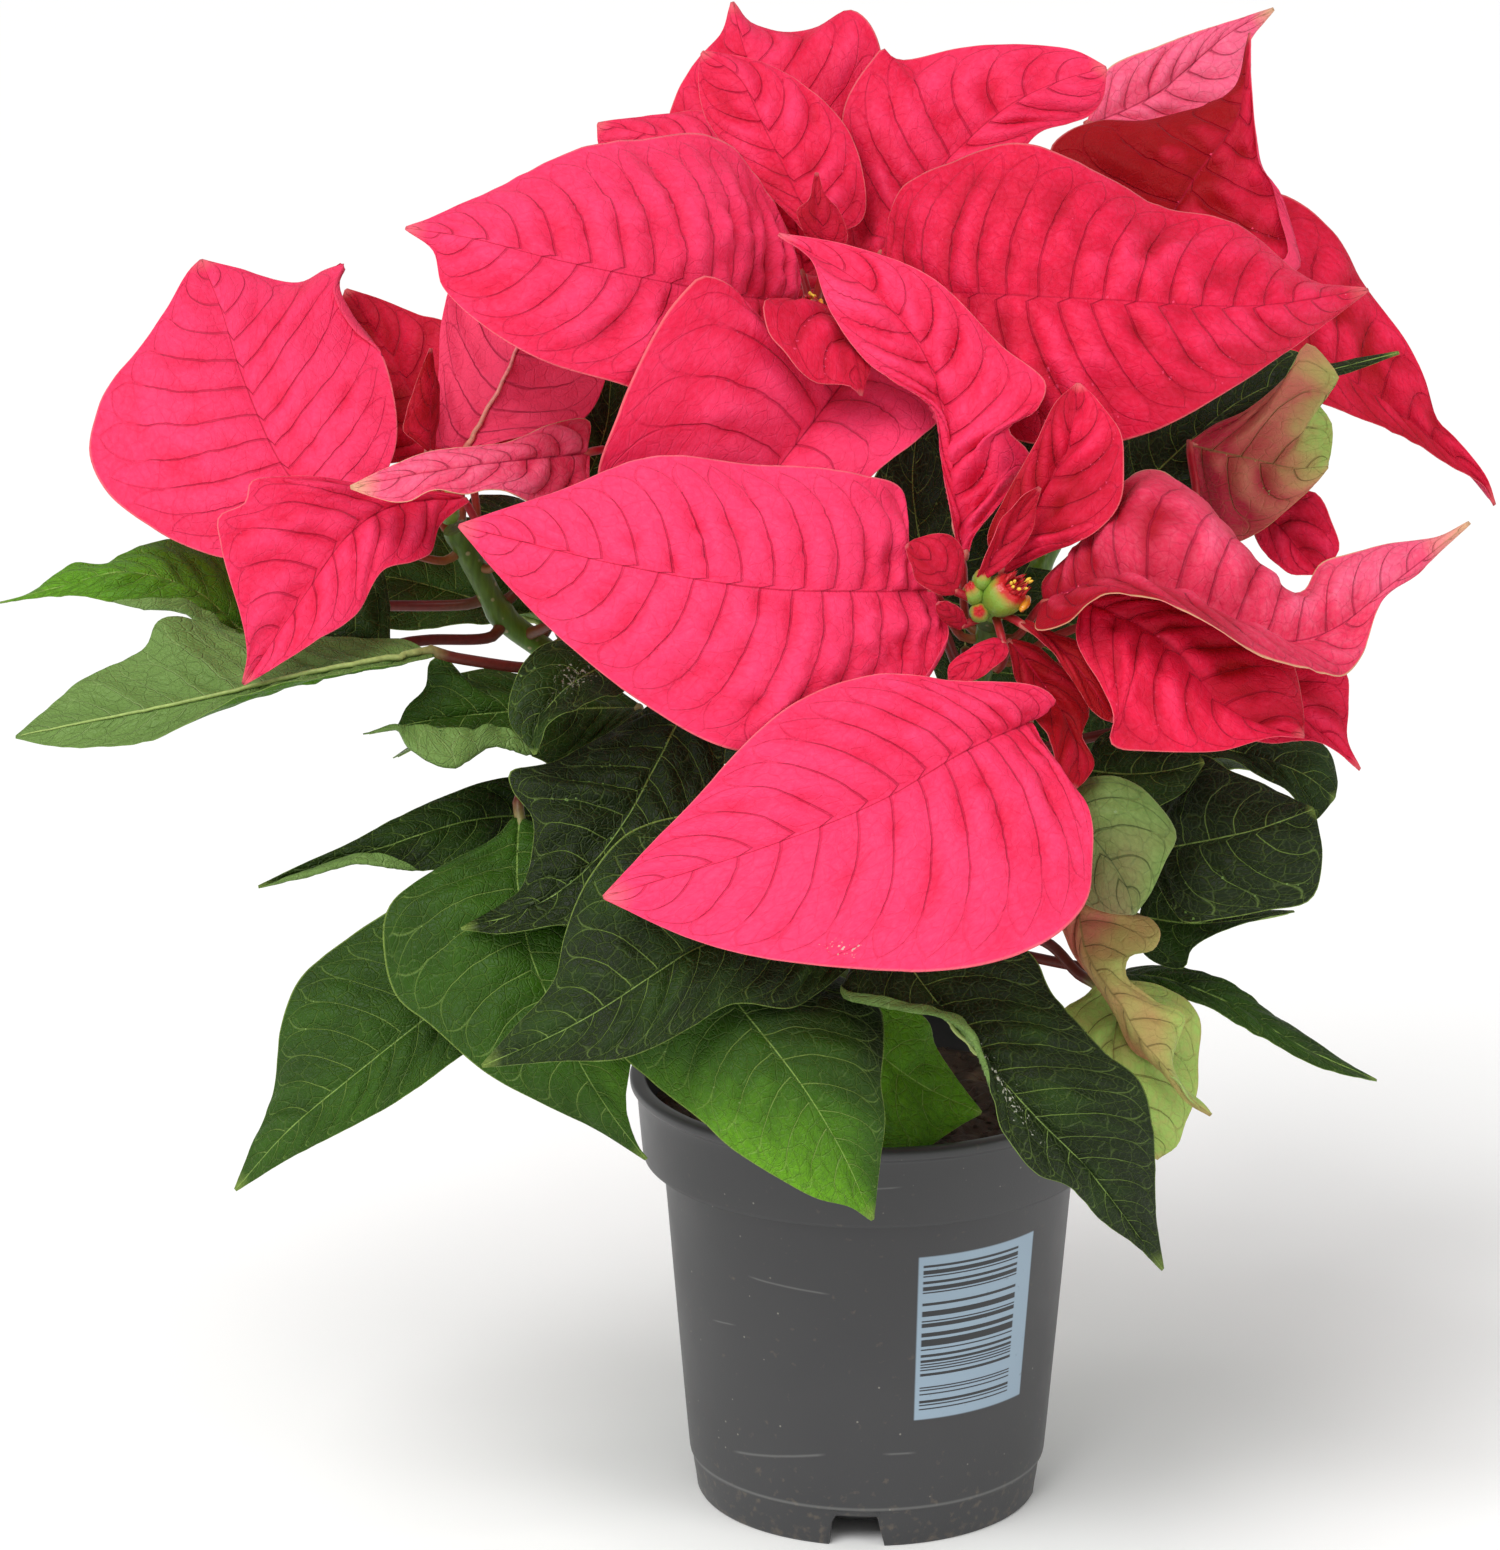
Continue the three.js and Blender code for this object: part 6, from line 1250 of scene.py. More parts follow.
def joined(parts):
    """Several (points, faces, edges, fields) parts as one."""
    keys = {key for part in parts for key in part[3]}
    shapes = {key: np.shape(part[3][key])[1:] for part in parts for key in part[3]}
    points, faces, edges, fields, start = [], [], [], {key: [] for key in keys}, 0
    for p, f, e, fs in parts:
        points.append(p)
        faces.extend((np.asarray(f) + start).tolist())
        edges.extend((np.asarray(e) + start).tolist())
        for key in keys:
            fields[key].append(fs.get(key, np.zeros((len(p), *shapes[key]))))
        start += len(p)
    return np.concatenate(points), faces, edges, {key: np.concatenate(v) for key, v in fields.items()}


def line_part(points, radii, along=0.0):
    """A line as a part that the sweep tree turns into a tube."""
    count = len(points)
    edges = np.stack([np.arange(count - 1), np.arange(1, count)], -1)
    return points, [], edges, {"radius": np.asarray(radii) * MM, "along": np.full(count, along)}


def finish_part(made, node):
    """Ride on the plant and stand for one CAD node."""
    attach(made, "root")
    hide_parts(node)
    return made


stem_object = mesh_object("stem_bark", *joined([line_part(*stem_line(name)) for name in STEM_PATHS]))
use_tree(stem_object, sweep, {"Sides": STEM_SIDES, "Tube": bark, "Sheet": bark})
finish_part(stem_object, "stems")
grown = [name for name in fused if LAYOUT[name]["stem"].startswith("@")]
stem_leaves = mesh_object("stem_leaf_blades", *joined([blade_parts(name) for name in grown]))
use_tree(stem_leaves, sweep, {"Sides": STALK_SIDES, "Tube": leaf_stalk, "Sheet": leaf_tissue})
finish_part(stem_leaves, "stems")
print("leaves grown into the stems:", len(grown))

# %% [markdown]
# ## Heads of true flowers
# What looks like the heart of a poinsettia bloom is a cluster of cyathia: small green cups with
# a fringe of red threads round their mouth, yellow stamens on red filaments, and on one side an
# orange nectar gland like a pair of lips. Unopened ones are green eggs with a red tip. They
# could be sculpted one by one. Here one cup is a turned profile, its threads are small seeded
# cones, and its stamens are lines that the sweep tree thickens at their ends.

# %% Cup, gland and stamen materials
cup_skin, tree = empty_material("cyathium_skin")
height = add(tree, "ShaderNodeAttribute", out=2, attribute_name="along")
place = add(tree, "ShaderNodeTexCoord", out=3)
mottle = add(tree, "ShaderNodeTexNoise", {"Vector": place, "Scale": scale_for(1.11), "Detail": 3.0})
level = add(tree, "ShaderNodeMath", {0: mottle, 1: 0.16, 2: height}, operation="MULTIPLY_ADD")
skin = add(tree, "ShaderNodeValToRGB", {0: level}, stops=(
    (0.0, "56761c"), (0.55, "7a9c30"), (0.74, "a08a30"), (0.85, "c02a24"), (0.95, "c00f1c")))
down = add(tree, "ShaderNodeTexVoronoi", {"Vector": place, "Scale": scale_for(0.56)}, feature="F1")
lift = add(tree, "ShaderNodeMath", {0: down, 1: -0.7, 2: mottle}, operation="MULTIPLY_ADD")
bump = add(tree, "ShaderNodeBump", {"Height": lift, "Strength": 0.4, "Distance": 0.0003})
face = add(tree, "ShaderNodeBsdfPrincipled",
           {"Base Color": skin, "Roughness": 0.38, "Normal": bump, "Sheen Weight": 0.05})
add(tree, "ShaderNodeOutputMaterial", {"Surface": face})

stamen, tree = empty_material("stamen")
height = add(tree, "ShaderNodeAttribute", out=2, attribute_name="along")
place = add(tree, "ShaderNodeTexCoord", out=3)
grain = add(tree, "ShaderNodeTexVoronoi", {"Vector": place, "Scale": scale_for(0.192)}, feature="F1")
level = add(tree, "ShaderNodeMath", {0: grain, 1: 0.2, 2: height}, operation="MULTIPLY_ADD")
tint = add(tree, "ShaderNodeValToRGB", {0: level}, stops=(
    (0.0, "b5231f"), (0.6, "d2572a"), (0.72, "f0b52c"), (1.0, "f7d347")))
bump = add(tree, "ShaderNodeBump", {"Height": grain, "Strength": 0.6, "Distance": 0.0002})
face = add(tree, "ShaderNodeBsdfPrincipled", {"Base Color": tint, "Roughness": 0.6, "Normal": bump})
add(tree, "ShaderNodeOutputMaterial", {"Surface": face})

wax, tree = empty_material("nectar_gland_wax")
place = add(tree, "ShaderNodeTexCoord", out=3)
grain = add(tree, "ShaderNodeTexNoise", {"Vector": place, "Scale": scale_for(0.7), "Detail": 3.0})
tint = add(tree, "ShaderNodeMix", {0: grain, 6: linear("f3b727"), 7: linear("dd7420")},
           out=2, data_type="RGBA")
bump = add(tree, "ShaderNodeBump", {"Height": grain, "Strength": 0.25, "Distance": 0.0002})
face = add(tree, "ShaderNodeBsdfPrincipled",
           {"Base Color": tint, "Roughness": 0.28, "Normal": bump, "Coat Weight": 0.3})
add(tree, "ShaderNodeOutputMaterial", {"Surface": face})
print("flower materials:", cup_skin.name, stamen.name, wax.name)

# %% The cups of each head, in millimetres: centre, radius, axis, and 1 if it has opened
CUPS = {
    "left": ((-110.6, -31.6, 284.6, 3.0, 0.1, -0.3, 1, 0), (-113, -34, 289.5, 3.6, -0.2, -0.5, 1, 1),
             (-109.6, -35, 290.5, 2.8, 0.3, -0.5, 1, 0), (-115.5, -31, 290, 2.6, -0.4, 0, 1, 0)),
    "top": ((-18, -15, 327.6, 3.4, 0, -0.3, 1, 0), (-15.8, -18.6, 331, 3.3, 0.2, -0.7, 0.8, 0),
            (-16.6, -21.4, 336.6, 2.9, -0.1, -0.6, 1, 1), (-12.8, -17.6, 333.4, 2.4, 0.5, -0.4, 1, 0)),
    "front": ((29.8, -74, 269.6, 3.0, 0, -0.5, 1, 0), (32, -79, 275, 5.4, 0.62, -0.42, 0.7, 1),
              (26.5, -79, 279, 2.6, 0.1, -0.4, 1, 0), (24.6, -78.5, 275.4, 3.0, -0.4, -0.5, 0.8, 0),
              (26, -79, 270.6, 2.8, -0.1, -1, 0.35, 0)),
    "right": ((81.8, 54, 307.6, 3.0, 0, -0.3, 1, 0), (82, 51, 312.4, 3.8, 0, -0.5, 1, 1),
              (86, 52, 312, 3.0, 0.5, -0.3, 1, 0), (79.6, 55.4, 312.6, 2.8, -0.4, 0.1, 1, 0)),
}
CUP_SIDES = 40
OPEN_PROFILE = ((0.0, -1.1), (0.45, -1.02), (0.78, -0.72), (0.95, -0.25), (0.98, 0.15), (0.9, 0.5),
                (0.72, 0.74), (0.6, 0.82), (0.5, 0.76), (0.42, 0.6), (0.0, 0.5))
BUD_PROFILE = ((0.0, -1.1), (0.5, -1.0), (0.82, -0.66), (0.96, -0.2), (0.92, 0.3), (0.74, 0.72), (0.5, 1.0),
               (0.3, 1.16), (0.2, 1.22), (0.12, 1.16), (0.0, 1.12))
THREADS = 24
THREAD_LONG = 0.78
THREAD_THICK = 0.14
STAMENS = 7


def turn_to(points, axis):
    """Turn points from the z axis to another axis."""
    side = unit(np.cross((0.0, 1.0, 0.03), axis))
    return points @ np.stack([side, np.cross(axis, side), axis])


def cup_body(radius, opened, rng):
    """The turned body of a cup or a bud, in its own frame."""
    wave = rng.uniform(0, 6.28, 3)
    angle = np.linspace(0, 2 * np.pi, CUP_SIDES, endpoint=False)
    profile = OPEN_PROFILE if opened else BUD_PROFILE
    rings = []
    for r, z in profile:
        upper = np.clip((z - 0.4) / 0.6, 0, 1)
        lobes = 1 + 0.03 * np.sin(5 * angle + wave[0]) + upper * 0.14 * np.sin(5 * angle + wave[1])
        tall = z + 0.05 * upper * np.sin(7 * angle + wave[2]) * (r > 0.01)
        rings.append(np.stack([r * lobes * np.cos(angle), r * lobes * np.sin(angle), tall + 0 * angle], -1))
    at = np.arange(len(rings) * CUP_SIDES).reshape(len(rings), CUP_SIDES)
    turn = np.roll(at, -1, axis=1)
    faces = np.stack([at[:-1], turn[:-1], turn[1:], at[1:]], -1).reshape(-1, 4)
    top = profile[-3][1]
    level = np.repeat([0.86 * np.clip((z + 1.1) / (1.1 + top), 0, 1) ** 1.5 for _, z in profile], CUP_SIDES)
    return np.concatenate(rings) * radius, faces, [], {"along": level, "radius": 0 * level}


def thread(radius, turn, rng):
    """One pointed red thread of the fringe, a four-sided cone that leans inward."""
    out = np.array([np.cos(turn), np.sin(turn), 0.0])
    aside = np.array([-out[1], out[0], 0.0])
    long = THREAD_LONG * rng.uniform(0.6, 1.25)
    lean = rng.uniform(-0.35, 0.25)
    foot = out * rng.uniform(0.42, 0.62) + (0, 0, 0.7)
    tip = foot + out * lean * long + aside * rng.uniform(-0.2, 0.2) + (0, 0, long)
    wide = THREAD_THICK
    ring = [foot + out * wide, foot + aside * wide, foot - out * wide, foot - aside * wide]
    points = np.array([*ring, tip]) * radius
    faces = np.array([[0, 1, 4], [1, 2, 4], [2, 3, 4], [3, 0, 4], [3, 2, 1], [3, 1, 0]])
    level = np.array([0.86, 0.9, 0.86, 0.9, 1.0])
    return points, faces.tolist(), [], {"along": level, "radius": 0 * level}


def stamen_line(radius, turn, rng):
    """A stamen: a thin filament that ends in a yellow ball."""
    out = np.array([np.cos(turn), np.sin(turn), 0.0])
    share = np.linspace(0, 1, 12)[:, None]
    reach = rng.uniform(0.25, 0.6)
    tall = rng.uniform(0.75, 1.05)
    points = (out * (0.25 + reach * share**1.6) + np.array([0, 0, 1.0]) * (0.5 + tall * share)) * radius
    part = line_part(points, np.where(share[:, 0] > 0.78, 0.44, 0.15) * np.r_[np.ones(11), 0.4])
    part[3]["along"] = np.where(share[:, 0] > 0.7, 1.0, 0.2)
    return part


def gland(radius):
    """The nectar gland: a flattened waxy ball with a mouth pressed into it."""
    turns = np.linspace(0, 2 * np.pi, 20, endpoint=False)
    u, v = np.meshgrid(np.linspace(0, np.pi, 13), turns, indexing="ij")
    ball = np.stack([np.sin(u) * np.cos(v), np.sin(u) * np.sin(v), np.cos(u)], -1)
    mouth = np.exp(-((ball[..., 2] / 0.3) ** 2)) * np.clip(ball[..., 0], 0, 1)
    ball *= (1 - 0.45 * mouth)[..., None]
    ball = ball * (0.26, 0.62, 0.3) + (0.98, 0, 0.42)
    at = np.arange(u.size).reshape(u.shape)
    turn = np.roll(at, -1, axis=1)
    faces = np.stack([at[:-1], at[1:], turn[1:], turn[:-1]], -1).reshape(-1, 4)
    return ball.reshape(-1, 3) * radius, faces, [], {"along": np.zeros(u.size), "radius": np.zeros(u.size)}


def placed(part, cup):
    """A part of a cup, turned to its axis and moved to its centre."""
    points, faces, edges, fields = part
    return turn_to(points, unit(np.array(cup[4:7], float))) + cup[:3], faces, edges, fields


# %% The four heads
for name, cups in CUPS.items():
    parts, glands = [], []
    for index, cup in enumerate(cups):
        rng = np.random.default_rng(SEED + index)
        parts.append(placed(cup_body(cup[3], cup[7], rng), cup))
        if cup[7]:
            turns = np.linspace(0, 2 * np.pi, THREADS, endpoint=False) + rng.uniform(-0.1, 0.1, THREADS)
            parts += [placed(thread(cup[3], turn, rng), cup) for turn in turns]
            parts += [placed(stamen_line(cup[3], turn, rng), cup) for turn in rng.uniform(-2.2, 2.2, STAMENS)]
            glands.append(placed(gland(cup[3]), cup))
    head = mesh_object(name + "_cups", *joined(parts))
    use_tree(head, sweep, {"Sides": 8, "Tube": stamen, "Sheet": cup_skin})
    finish_part(head, name + "_cyathia")
    lips = mesh_object(name + "_glands", *joined(glands))
    use_tree(lips, sweep, {"Sides": 8, "Tube": wax, "Sheet": wax})
    finish_part(lips, name + "_cyathia")
    small = [n for n in fused if LAYOUT[n]["stem"] == name + "_head"]
    if small:
        scales = mesh_object(name + "_small_bracts", *joined([blade_parts(n) for n in small]))
        use_tree(scales, sweep, {"Sides": STALK_SIDES, "Tube": bract_stalk, "Sheet": bract_tissue})
        finish_part(scales, name + "_cyathia")
print("cups:", sum(len(c) for c in CUPS.values()))

# %% [markdown]
# ## The pot
# A thin nursery pot: a charcoal plastic wall, a tall rim band with a rolled lip, and a foot with
# drainage notches. It is a turned form, so one profile is swept round the axis, and the wall is
# pushed up where a notch is, which keeps the mesh closed without a boolean. The wall of such a
# pot is never new: it has a fine grain, thin scuffs and a little dried peat at its foot. The
# stock panel is printed straight on the wall, so it is part of the plastic's material: pale
# ink, with dark bars of seeded width that stand for no number.

# %% Pot plastic material
PANEL_AZIMUTH = (13.2, 52.6)
PANEL_HEIGHT = (38.0, 86.0)
BARS_AZIMUTH = (14.6, 46.2)
BARS_HEIGHT = (40.0, 83.5)
BAR_MODULE = 0.4
# scuffs: azimuth and height of both ends, and width
SCUFFS = ((-36, 76.9, -13, 75.3, 0.22), (-46, 22.8, -15, 27.3, 0.3), (5, 28.4, 13, 28.2, 0.25),
          (-52, 60.0, -44, 61.0, 0.2), (-8, 108.5, 6, 109.2, 0.2))


def between(tree, value, low, high, soft):
    """1 where a value lies between two limits, with soft edges."""
    rise = add(tree, "ShaderNodeMapRange", {0: value, 1: low - soft, 2: low + soft, 3: 0.0, 4: 1.0})
    fall = add(tree, "ShaderNodeMapRange", {0: value, 1: high - soft, 2: high + soft, 3: 1.0, 4: 0.0})
    return add(tree, "ShaderNodeMath", {0: rise, 1: fall}, operation="MULTIPLY")


plastic, tree = empty_material("charcoal_plastic")
place = add(tree, "ShaderNodeTexCoord", out=3)
split = add(tree, "ShaderNodeSeparateXYZ", {0: place}, out=None)
front = add(tree, "ShaderNodeMath", {0: split.outputs[1], 1: -1.0}, operation="MULTIPLY")
azimuth = add(tree, "ShaderNodeMath", {0: split.outputs[0], 1: front}, operation="ARCTAN2")
azimuth = add(tree, "ShaderNodeMath", {0: azimuth, 1: 180 / math.pi}, operation="MULTIPLY")
level = add(tree, "ShaderNodeMath", {0: split.outputs[2], 1: 1000.0}, operation="MULTIPLY")
grain = add(tree, "ShaderNodeTexNoise", {"Vector": place, "Scale": scale_for(0.38), "Detail": 2.0})
soft = add(tree, "ShaderNodeTexNoise", {"Vector": place, "Scale": scale_for(26), "Detail": 5.0})
tint = add(tree, "ShaderNodeMix", {0: soft, 6: linear("303032"), 7: linear("3b3b3c")},
           out=2, data_type="RGBA")
crumbs = add(tree, "ShaderNodeTexNoise", {"Vector": place, "Scale": scale_for(2.4), "Detail": 6.0})
low_down = add(tree, "ShaderNodeMapRange", {0: level, 1: 0.0, 2: 26.0, 3: 0.14, 4: 0.0})
crumbs = add(tree, "ShaderNodeMath", {0: crumbs, 1: low_down}, operation="ADD")
crumbs = add(tree, "ShaderNodeMapRange", {0: crumbs, 1: 0.66, 2: 0.8, 3: 0.0, 4: 0.45})
specks = add(tree, "ShaderNodeTexVoronoi", {"Vector": place, "Scale": scale_for(4.2)}, feature="F1")
specks = add(tree, "ShaderNodeMapRange", {0: specks, 1: 0.05, 2: 0.08, 3: 0.7, 4: 0.0})
some = add(tree, "ShaderNodeMapRange", {0: soft, 1: 0.5, 2: 0.56, 3: 0.0, 4: 1.0})
specks = add(tree, "ShaderNodeMath", {0: specks, 1: some}, operation="MULTIPLY")
foot_line = between(tree, level, 11.2, 12.0, 0.25)
worn = add(tree, "ShaderNodeMath", {0: foot_line, 1: 0.3}, operation="MULTIPLY")
for from_az, from_z, to_az, to_z, width in SCUFFS:
    slope = (to_z - from_z) / (to_az - from_az)
    course = add(tree, "ShaderNodeMath", {0: azimuth, 1: slope, 2: from_z - slope * from_az},
                 operation="MULTIPLY_ADD")
    off = add(tree, "ShaderNodeMath", {0: level, 1: course}, operation="SUBTRACT")
    off = add(tree, "ShaderNodeMath", {0: soft, 1: 1.6, 2: off}, operation="MULTIPLY_ADD")
    line = between(tree, off, 0.8 - width, 0.8 + width, width * 0.8)
    reach = between(tree, azimuth, from_az, to_az, 1.5)
    line = add(tree, "ShaderNodeMath", {0: line, 1: reach}, operation="MULTIPLY")
    line = add(tree, "ShaderNodeMath", {0: line, 1: 0.3}, operation="MULTIPLY")
    worn = add(tree, "ShaderNodeMath", {0: worn, 1: line}, operation="MAXIMUM")

panel = between(tree, azimuth, *PANEL_AZIMUTH, 0.25)
panel_rows = between(tree, level, *PANEL_HEIGHT, 0.2)
panel = add(tree, "ShaderNodeMath", {0: panel, 1: panel_rows}, operation="MULTIPLY")
flecks = add(tree, "ShaderNodeMapRange", {0: crumbs, 1: 0.0, 2: 0.2, 3: 1.0, 4: 0.75})
panel = add(tree, "ShaderNodeMath", {0: panel, 1: flecks}, operation="MULTIPLY")
module = add(tree, "ShaderNodeMath", {0: level, 1: 1 / BAR_MODULE}, operation="MULTIPLY")
module = add(tree, "ShaderNodeMath", {0: module}, operation="FLOOR")
bars = add(tree, "ShaderNodeTexWhiteNoise", {"W": module}, noise_dimensions="1D")
bars = add(tree, "ShaderNodeMath", {0: bars, 1: 0.5}, operation="GREATER_THAN")
bar_rows = between(tree, level, *BARS_HEIGHT, 0.1)
bar_reach = between(tree, azimuth, *BARS_AZIMUTH, 0.2)
bars = add(tree, "ShaderNodeMath", {0: bars, 1: bar_rows}, operation="MULTIPLY")
bars = add(tree, "ShaderNodeMath", {0: bars, 1: bar_reach}, operation="MULTIPLY")
for mask, colour in ((crumbs, "6b5f50"), (specks, "8f8b80"), (worn, "8f8f8c"), (panel, "8fa3b3"),
                     (bars, "26282b")):
    tint = add(tree, "ShaderNodeMix", {0: mask, 6: tint, 7: linear(colour)}, out=2, data_type="RGBA")
bump = add(tree, "ShaderNodeBump", {"Height": grain, "Strength": 0.15, "Distance": 0.0002})
rough = add(tree, "ShaderNodeMapRange", {0: soft, 1: 0.3, 2: 0.7, 3: 0.38, 4: 0.5})
face = add(tree, "ShaderNodeBsdfPrincipled", {"Base Color": tint, "Roughness": rough, "Normal": bump})
add(tree, "ShaderNodeOutputMaterial", {"Surface": face})
print(plastic.name, "nodes:", len(tree.nodes))

# %% Turning the profile and pushing up the notches
POT_SIDES = 288
NOTCHES = 4
NOTCH_TURN = -94.5
NOTCH_HALF = 7.0
NOTCH_HIGH = 8.6
NOTCH_END = 11.2
POT_PROFILE = (
    (60.7, 119.2), (61.4, 119.9), (62.6, 120.0), (64.2, 119.95), (64.8, 119.5), (65.0, 118.8), (64.9, 117.6),
    (64.4, 116.9), (63.5, 116.5), (63.25, 115.6), (62.9, 113), (62.5, 108), (62.0, 102.5), (61.6, 98.2),
    (61.4, 97.2), (60.6, 96.9), (57.0, 96.9), (56.2, 96.5), (56.0, 95.4), (54.9, 83), (53.2, 62), (51.2, 38),
    (49.6, 19), (48.95, 12), (48.8, 11.2), (48.35, 10.7), (48.2, 10.0), (47.8, 7.0), (47.4, 4.6), (46.9, 0.8),
    (46.5, 0.15), (46.0, 0.0), (44.9, 0.0), (44.5, 0.4), (44.6, 6.6), (44.0, 7.1), (36.6, 3.6), (35.6, 3.4),
    (16.4, 3.4), (15.8, 3.2), (14.2, 0.2), (13.6, 0.0), (0.001, 0.0),
    (0.001, 4.8), (35.6, 4.8), (36.6, 5.1), (46.0, 10.0), (46.8, 10.8), (47.4, 12.0), (54.5, 97.4),
    (55.0, 98.4),
    (59.4, 99.0), (60.0, 99.8), (60.55, 106), (61.9, 117.6), (61.0, 118.4))


def turned(profile, sides):
    """A closed turned form from (radius, height) pairs."""
    angle = np.linspace(0, 2 * np.pi, sides, endpoint=False)
    profile = np.asarray(profile, float)
    points = np.stack([profile[:, 0, None] * np.cos(angle), profile[:, 0, None] * np.sin(angle),
                       np.broadcast_to(profile[:, 1, None], (len(profile), sides))], -1)
    at = np.arange(len(profile) * sides).reshape(len(profile), sides)
    down = np.roll(at, -1, axis=0)
    faces = np.stack([at, down, np.roll(down, -1, axis=1), np.roll(at, -1, axis=1)], -1)
    return points.reshape(-1, 3), faces.reshape(-1, 4)


pot_points, pot_faces = turned(POT_PROFILE, POT_SIDES)
x, y, z = pot_points.T.copy()
around = np.degrees(np.arctan2(y, x)) - NOTCH_TURN
step = 360 / NOTCHES
off = np.abs((around + step / 2) % step - step / 2) * math.pi / 180 * np.hypot(x, y)
wall = (np.hypot(x, y) > 43.5) & (z < NOTCH_END)
open_here = np.clip((NOTCH_HALF - off) / 0.6, 0, 1) * wall
lifted = z + NOTCH_HIGH * (1 - z / NOTCH_END)
lifted = np.where(np.hypot(x, y) < 44.8, np.minimum(lifted, 8.7), lifted)
outer = pot_points[:, 2] <= 10.0
pot_points[:, 2] = np.where(outer, z * (1 - open_here) + lifted * open_here, z)
pot = mesh_object("pot_shell", pot_points, pot_faces)
pot.data.materials.append(plastic)
pot.data.polygons.foreach_set("use_smooth", [True] * len(pot.data.polygons))
finish_part(pot, "pot")
print("pot faces:", len(pot.data.polygons), "notches:", NOTCHES)

# %% [markdown]
# ## Peat
# The pot is filled with dark peat to about a centimetre under its lip. Its crust is lumpy and
# fibrous, with paler crumbs and bits of root. The body is a turned form with a noisy top. The
# crumbs and the fibres could be placed by hand; Geometry Nodes scatter several hundred of them
# from two seeds, and realize them at the end, so that nothing depends on an instance.

# %% Peat material
peat, tree = empty_material("peat")
place = add(tree, "ShaderNodeTexCoord", out=3)
clods = add(tree, "ShaderNodeTexNoise", {"Vector": place, "Scale": scale_for(3.8), "Detail": 8.0})
bits = add(tree, "ShaderNodeTexNoise", {"Vector": place, "Scale": scale_for(11.1), "Detail": 2.0})
tint = add(tree, "ShaderNodeMix", {0: clods, 6: linear("120d0a"), 7: linear("4d3a2d")},
           out=2, data_type="RGBA")
pale = add(tree, "ShaderNodeMapRange", {0: bits, 1: 0.56, 2: 0.7, 3: 0.0, 4: 0.6})
tint = add(tree, "ShaderNodeMix", {0: pale, 6: tint, 7: linear("6e5743")}, out=2, data_type="RGBA")
bump = add(tree, "ShaderNodeBump", {"Height": clods, "Strength": 1.0, "Distance": 0.0015})
face = add(tree, "ShaderNodeBsdfPrincipled", {"Base Color": tint, "Roughness": 0.92, "Normal": bump})
add(tree, "ShaderNodeOutputMaterial", {"Surface": face})
print(peat.name, "nodes:", len(tree.nodes))

# %% The body of peat
PEAT_TOP = 108.0
PEAT_LUMP = 1.7
PEAT_RINGS = 46
PEAT_RIM = 60.6
rings = [(0.001, 5.1), (35.6, 5.1), (46.2, 10.6), (54.4, 98.7), (59.7, 99.9)]
rings += [(PEAT_RIM * s, PEAT_TOP) for s in np.linspace(1, 0.0001, PEAT_RINGS) ** 0.8]
peat_points, peat_faces = turned(rings, 128)
top = peat_points[:, 2] > PEAT_TOP - 0.5
x, y = peat_points[:, 0].copy(), peat_points[:, 1].copy()
lumps = uneven(x / 9 + 20, y / 9 + 20, SEED) + 0.6 * uneven(x / 4 + 20, y / 4 + 30, SEED + 1)
lumps += 0.4 * uneven(x / 2 + 31, y / 2 + 31, SEED + 2)
fade = np.clip((PEAT_RIM - np.hypot(x, y)) / 6.0, 0.0, 1.0)
peat_points[:, 2] += np.where(top, PEAT_LUMP * lumps * fade - 1.2 * (1 - fade), 0.0)
soil = mesh_object("peat_body", peat_points, peat_faces)
soil.data.materials.append(peat)

# %% Crumbs and fibres scattered over it
scatter, given = node_tree_with("scatter_crumbs", [
    ("Crumbs", "NodeSocketFloat"), ("Fibres", "NodeSocketFloat"), ("Crumb size", "NodeSocketFloat"),
    ("Seed", "NodeSocketInt"), ("Earth", "NodeSocketMaterial")])
place = add(scatter, "GeometryNodeInputPosition")
split = add(scatter, "ShaderNodeSeparateXYZ", {0: place}, out=None)
on_top = add(scatter, "FunctionNodeCompare", {0: split.outputs[2], 1: (PEAT_TOP - 3.5) * MM},
             data_type="FLOAT", operation="GREATER_THAN")
flat = add(scatter, "ShaderNodeVectorMath", {0: place, 1: (1.0, 1.0, 0.0)}, operation="MULTIPLY")
away = add(scatter, "ShaderNodeVectorMath", {0: flat}, out=1, operation="LENGTH")
within = add(scatter, "FunctionNodeCompare", {0: away, 1: 57.0 * MM},
             data_type="FLOAT", operation="LESS_THAN")
chosen = add(scatter, "FunctionNodeBooleanMath", {0: on_top, 1: within}, operation="AND")
turns = add(scatter, "FunctionNodeRandomValue",
            {0: (0, 0, 0), 1: (6.28, 6.28, 6.28), "Seed": given.outputs["Seed"]}, data_type="FLOAT_VECTOR")
lumpy = add(scatter, "FunctionNodeRandomValue", {0: (0.35, 0.35, 0.25), 1: (1.3, 1.1, 0.8), "Seed": 5},
            data_type="FLOAT_VECTOR")
lumpy = add(scatter, "ShaderNodeVectorMath", {0: lumpy, "Scale": given.outputs["Crumb size"]},
            operation="SCALE")
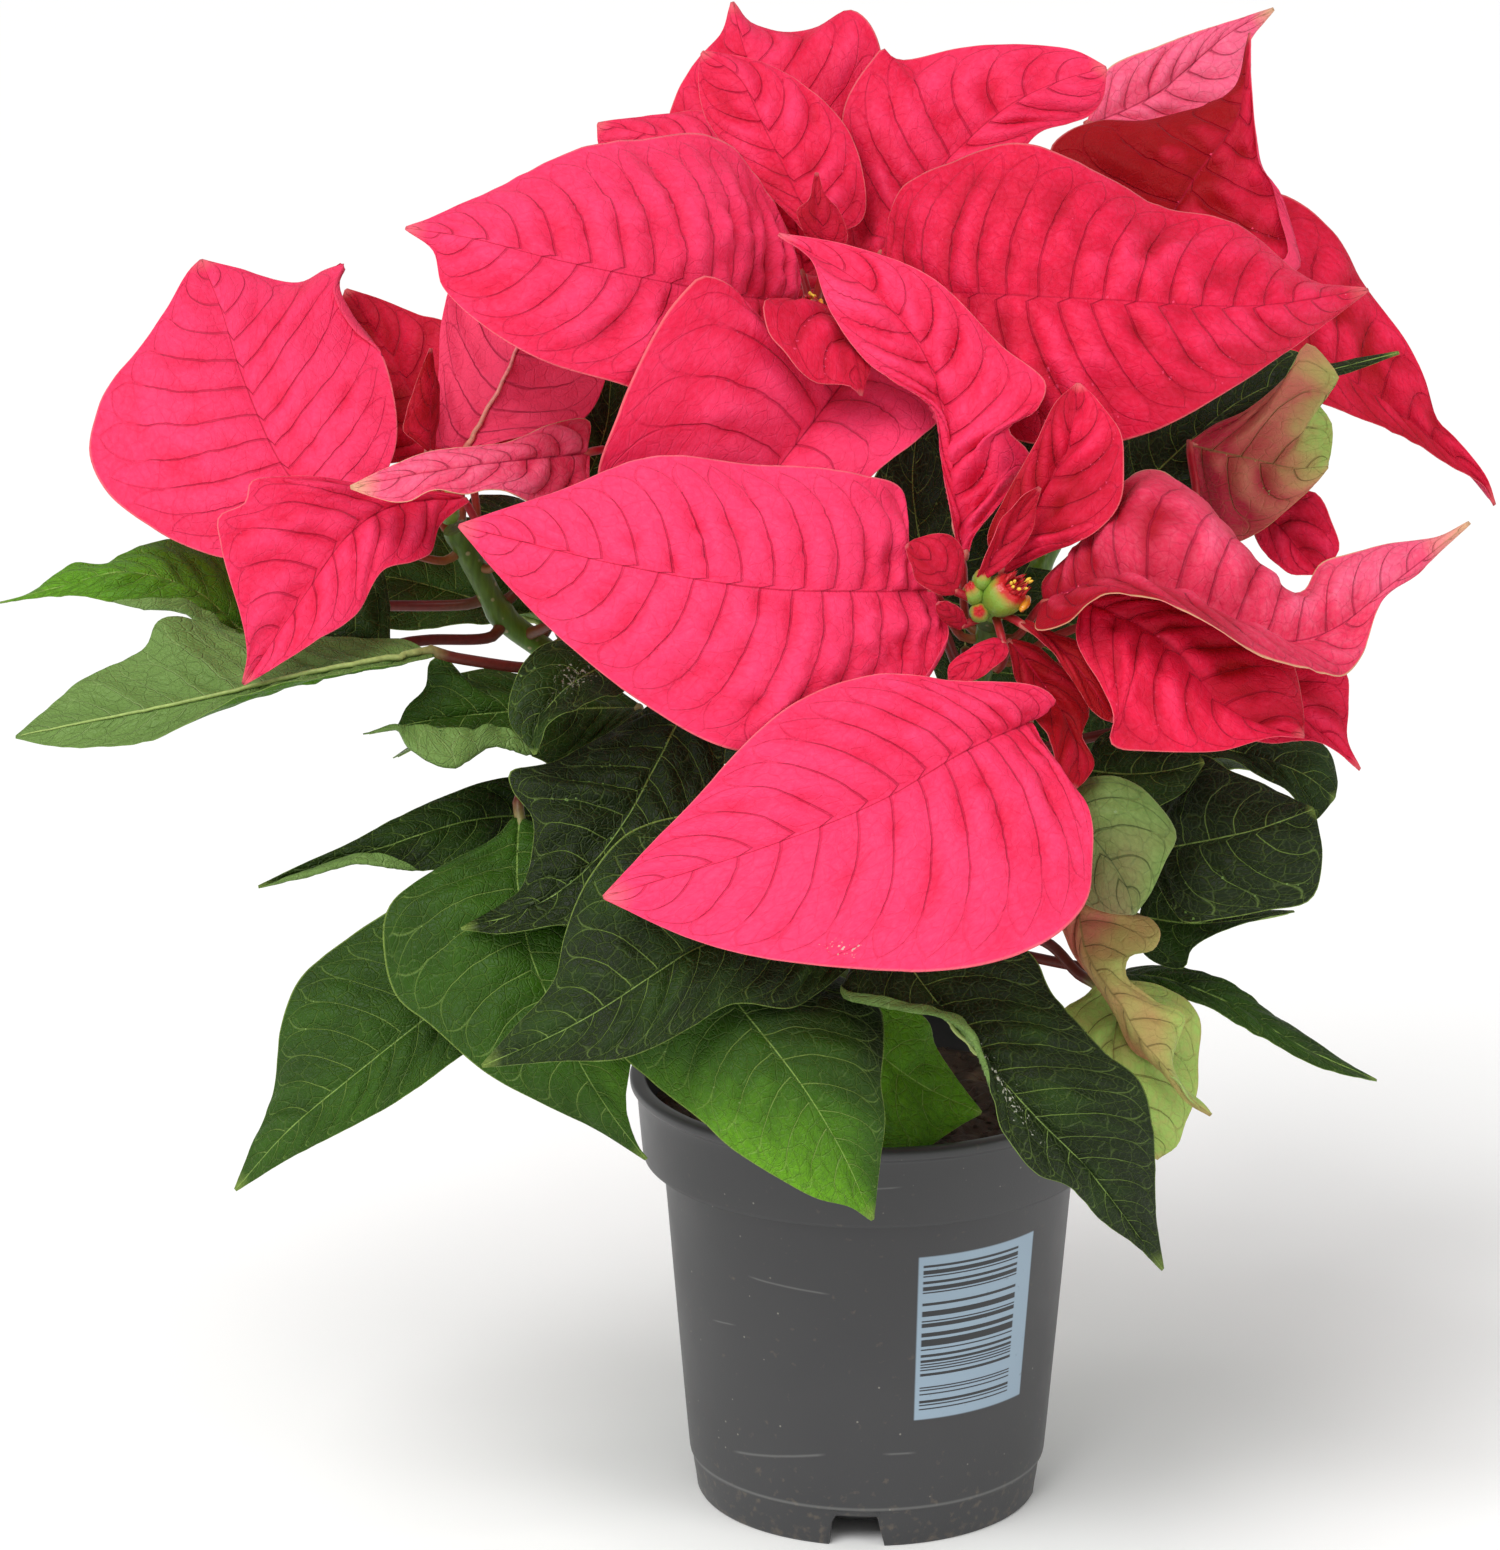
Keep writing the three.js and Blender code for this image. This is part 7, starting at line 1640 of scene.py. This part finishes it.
ball = add(scatter, "GeometryNodeMeshIcoSphere", {"Radius": 1.0, "Subdivisions": 2})
crumb_points = add(scatter, "GeometryNodeDistributePointsOnFaces",
                   {"Mesh": given.outputs["Geometry"], "Selection": chosen,
                    "Density": given.outputs["Crumbs"], "Seed": given.outputs["Seed"]})
crumbs = add(scatter, "GeometryNodeInstanceOnPoints",
             {"Points": crumb_points, "Instance": ball, "Rotation": turns, "Scale": lumpy})
rod = add(scatter, "GeometryNodeMeshCylinder", {"Vertices": 5, "Radius": 0.00014, "Depth": 0.0065})
fibre_points = add(scatter, "GeometryNodeDistributePointsOnFaces",
                   {"Mesh": given.outputs["Geometry"], "Selection": chosen,
                    "Density": given.outputs["Fibres"], "Seed": 9})
lying = add(scatter, "FunctionNodeRandomValue", {0: (1.4, 0.0, 0.0), 1: (1.75, 0.0, 6.28), "Seed": 3},
            data_type="FLOAT_VECTOR")
long = add(scatter, "FunctionNodeRandomValue", {0: (0.8, 0.8, 0.4), 1: (1.6, 1.6, 1.3), "Seed": 4},
           data_type="FLOAT_VECTOR")
fibres = add(scatter, "GeometryNodeInstanceOnPoints",
             {"Points": fibre_points, "Instance": rod, "Rotation": lying, "Scale": long})
all_bits = add(scatter, "GeometryNodeJoinGeometry", {0: crumbs}, out=None)
scatter.links.new(fibres, all_bits.inputs[0])
real = add(scatter, "GeometryNodeRealizeInstances", {"Geometry": all_bits.outputs[0]})
real = add(scatter, "GeometryNodeSetMaterial", {"Geometry": real, "Material": given.outputs["Earth"]})
real = add(scatter, "GeometryNodeSetShadeSmooth", {"Geometry": real})
add(scatter, "NodeGroupOutput", {"Geometry": real})
crumb_object = mesh_object("peat_crumbs", peat_points, peat_faces)
use_tree(crumb_object, scatter, {"Crumbs": 42000.0, "Fibres": 14000.0, "Crumb size": 1.3 * MM, "Seed": SEED,
                                 "Earth": peat})
finish_part(soil, "soil")
finish_part(crumb_object, "soil")
print("peat faces:", len(soil.data.polygons), "crumb faces:", len(crumb_object.data.polygons))

# %% Bringing the scene up to date
bpy.context.view_layer.update()
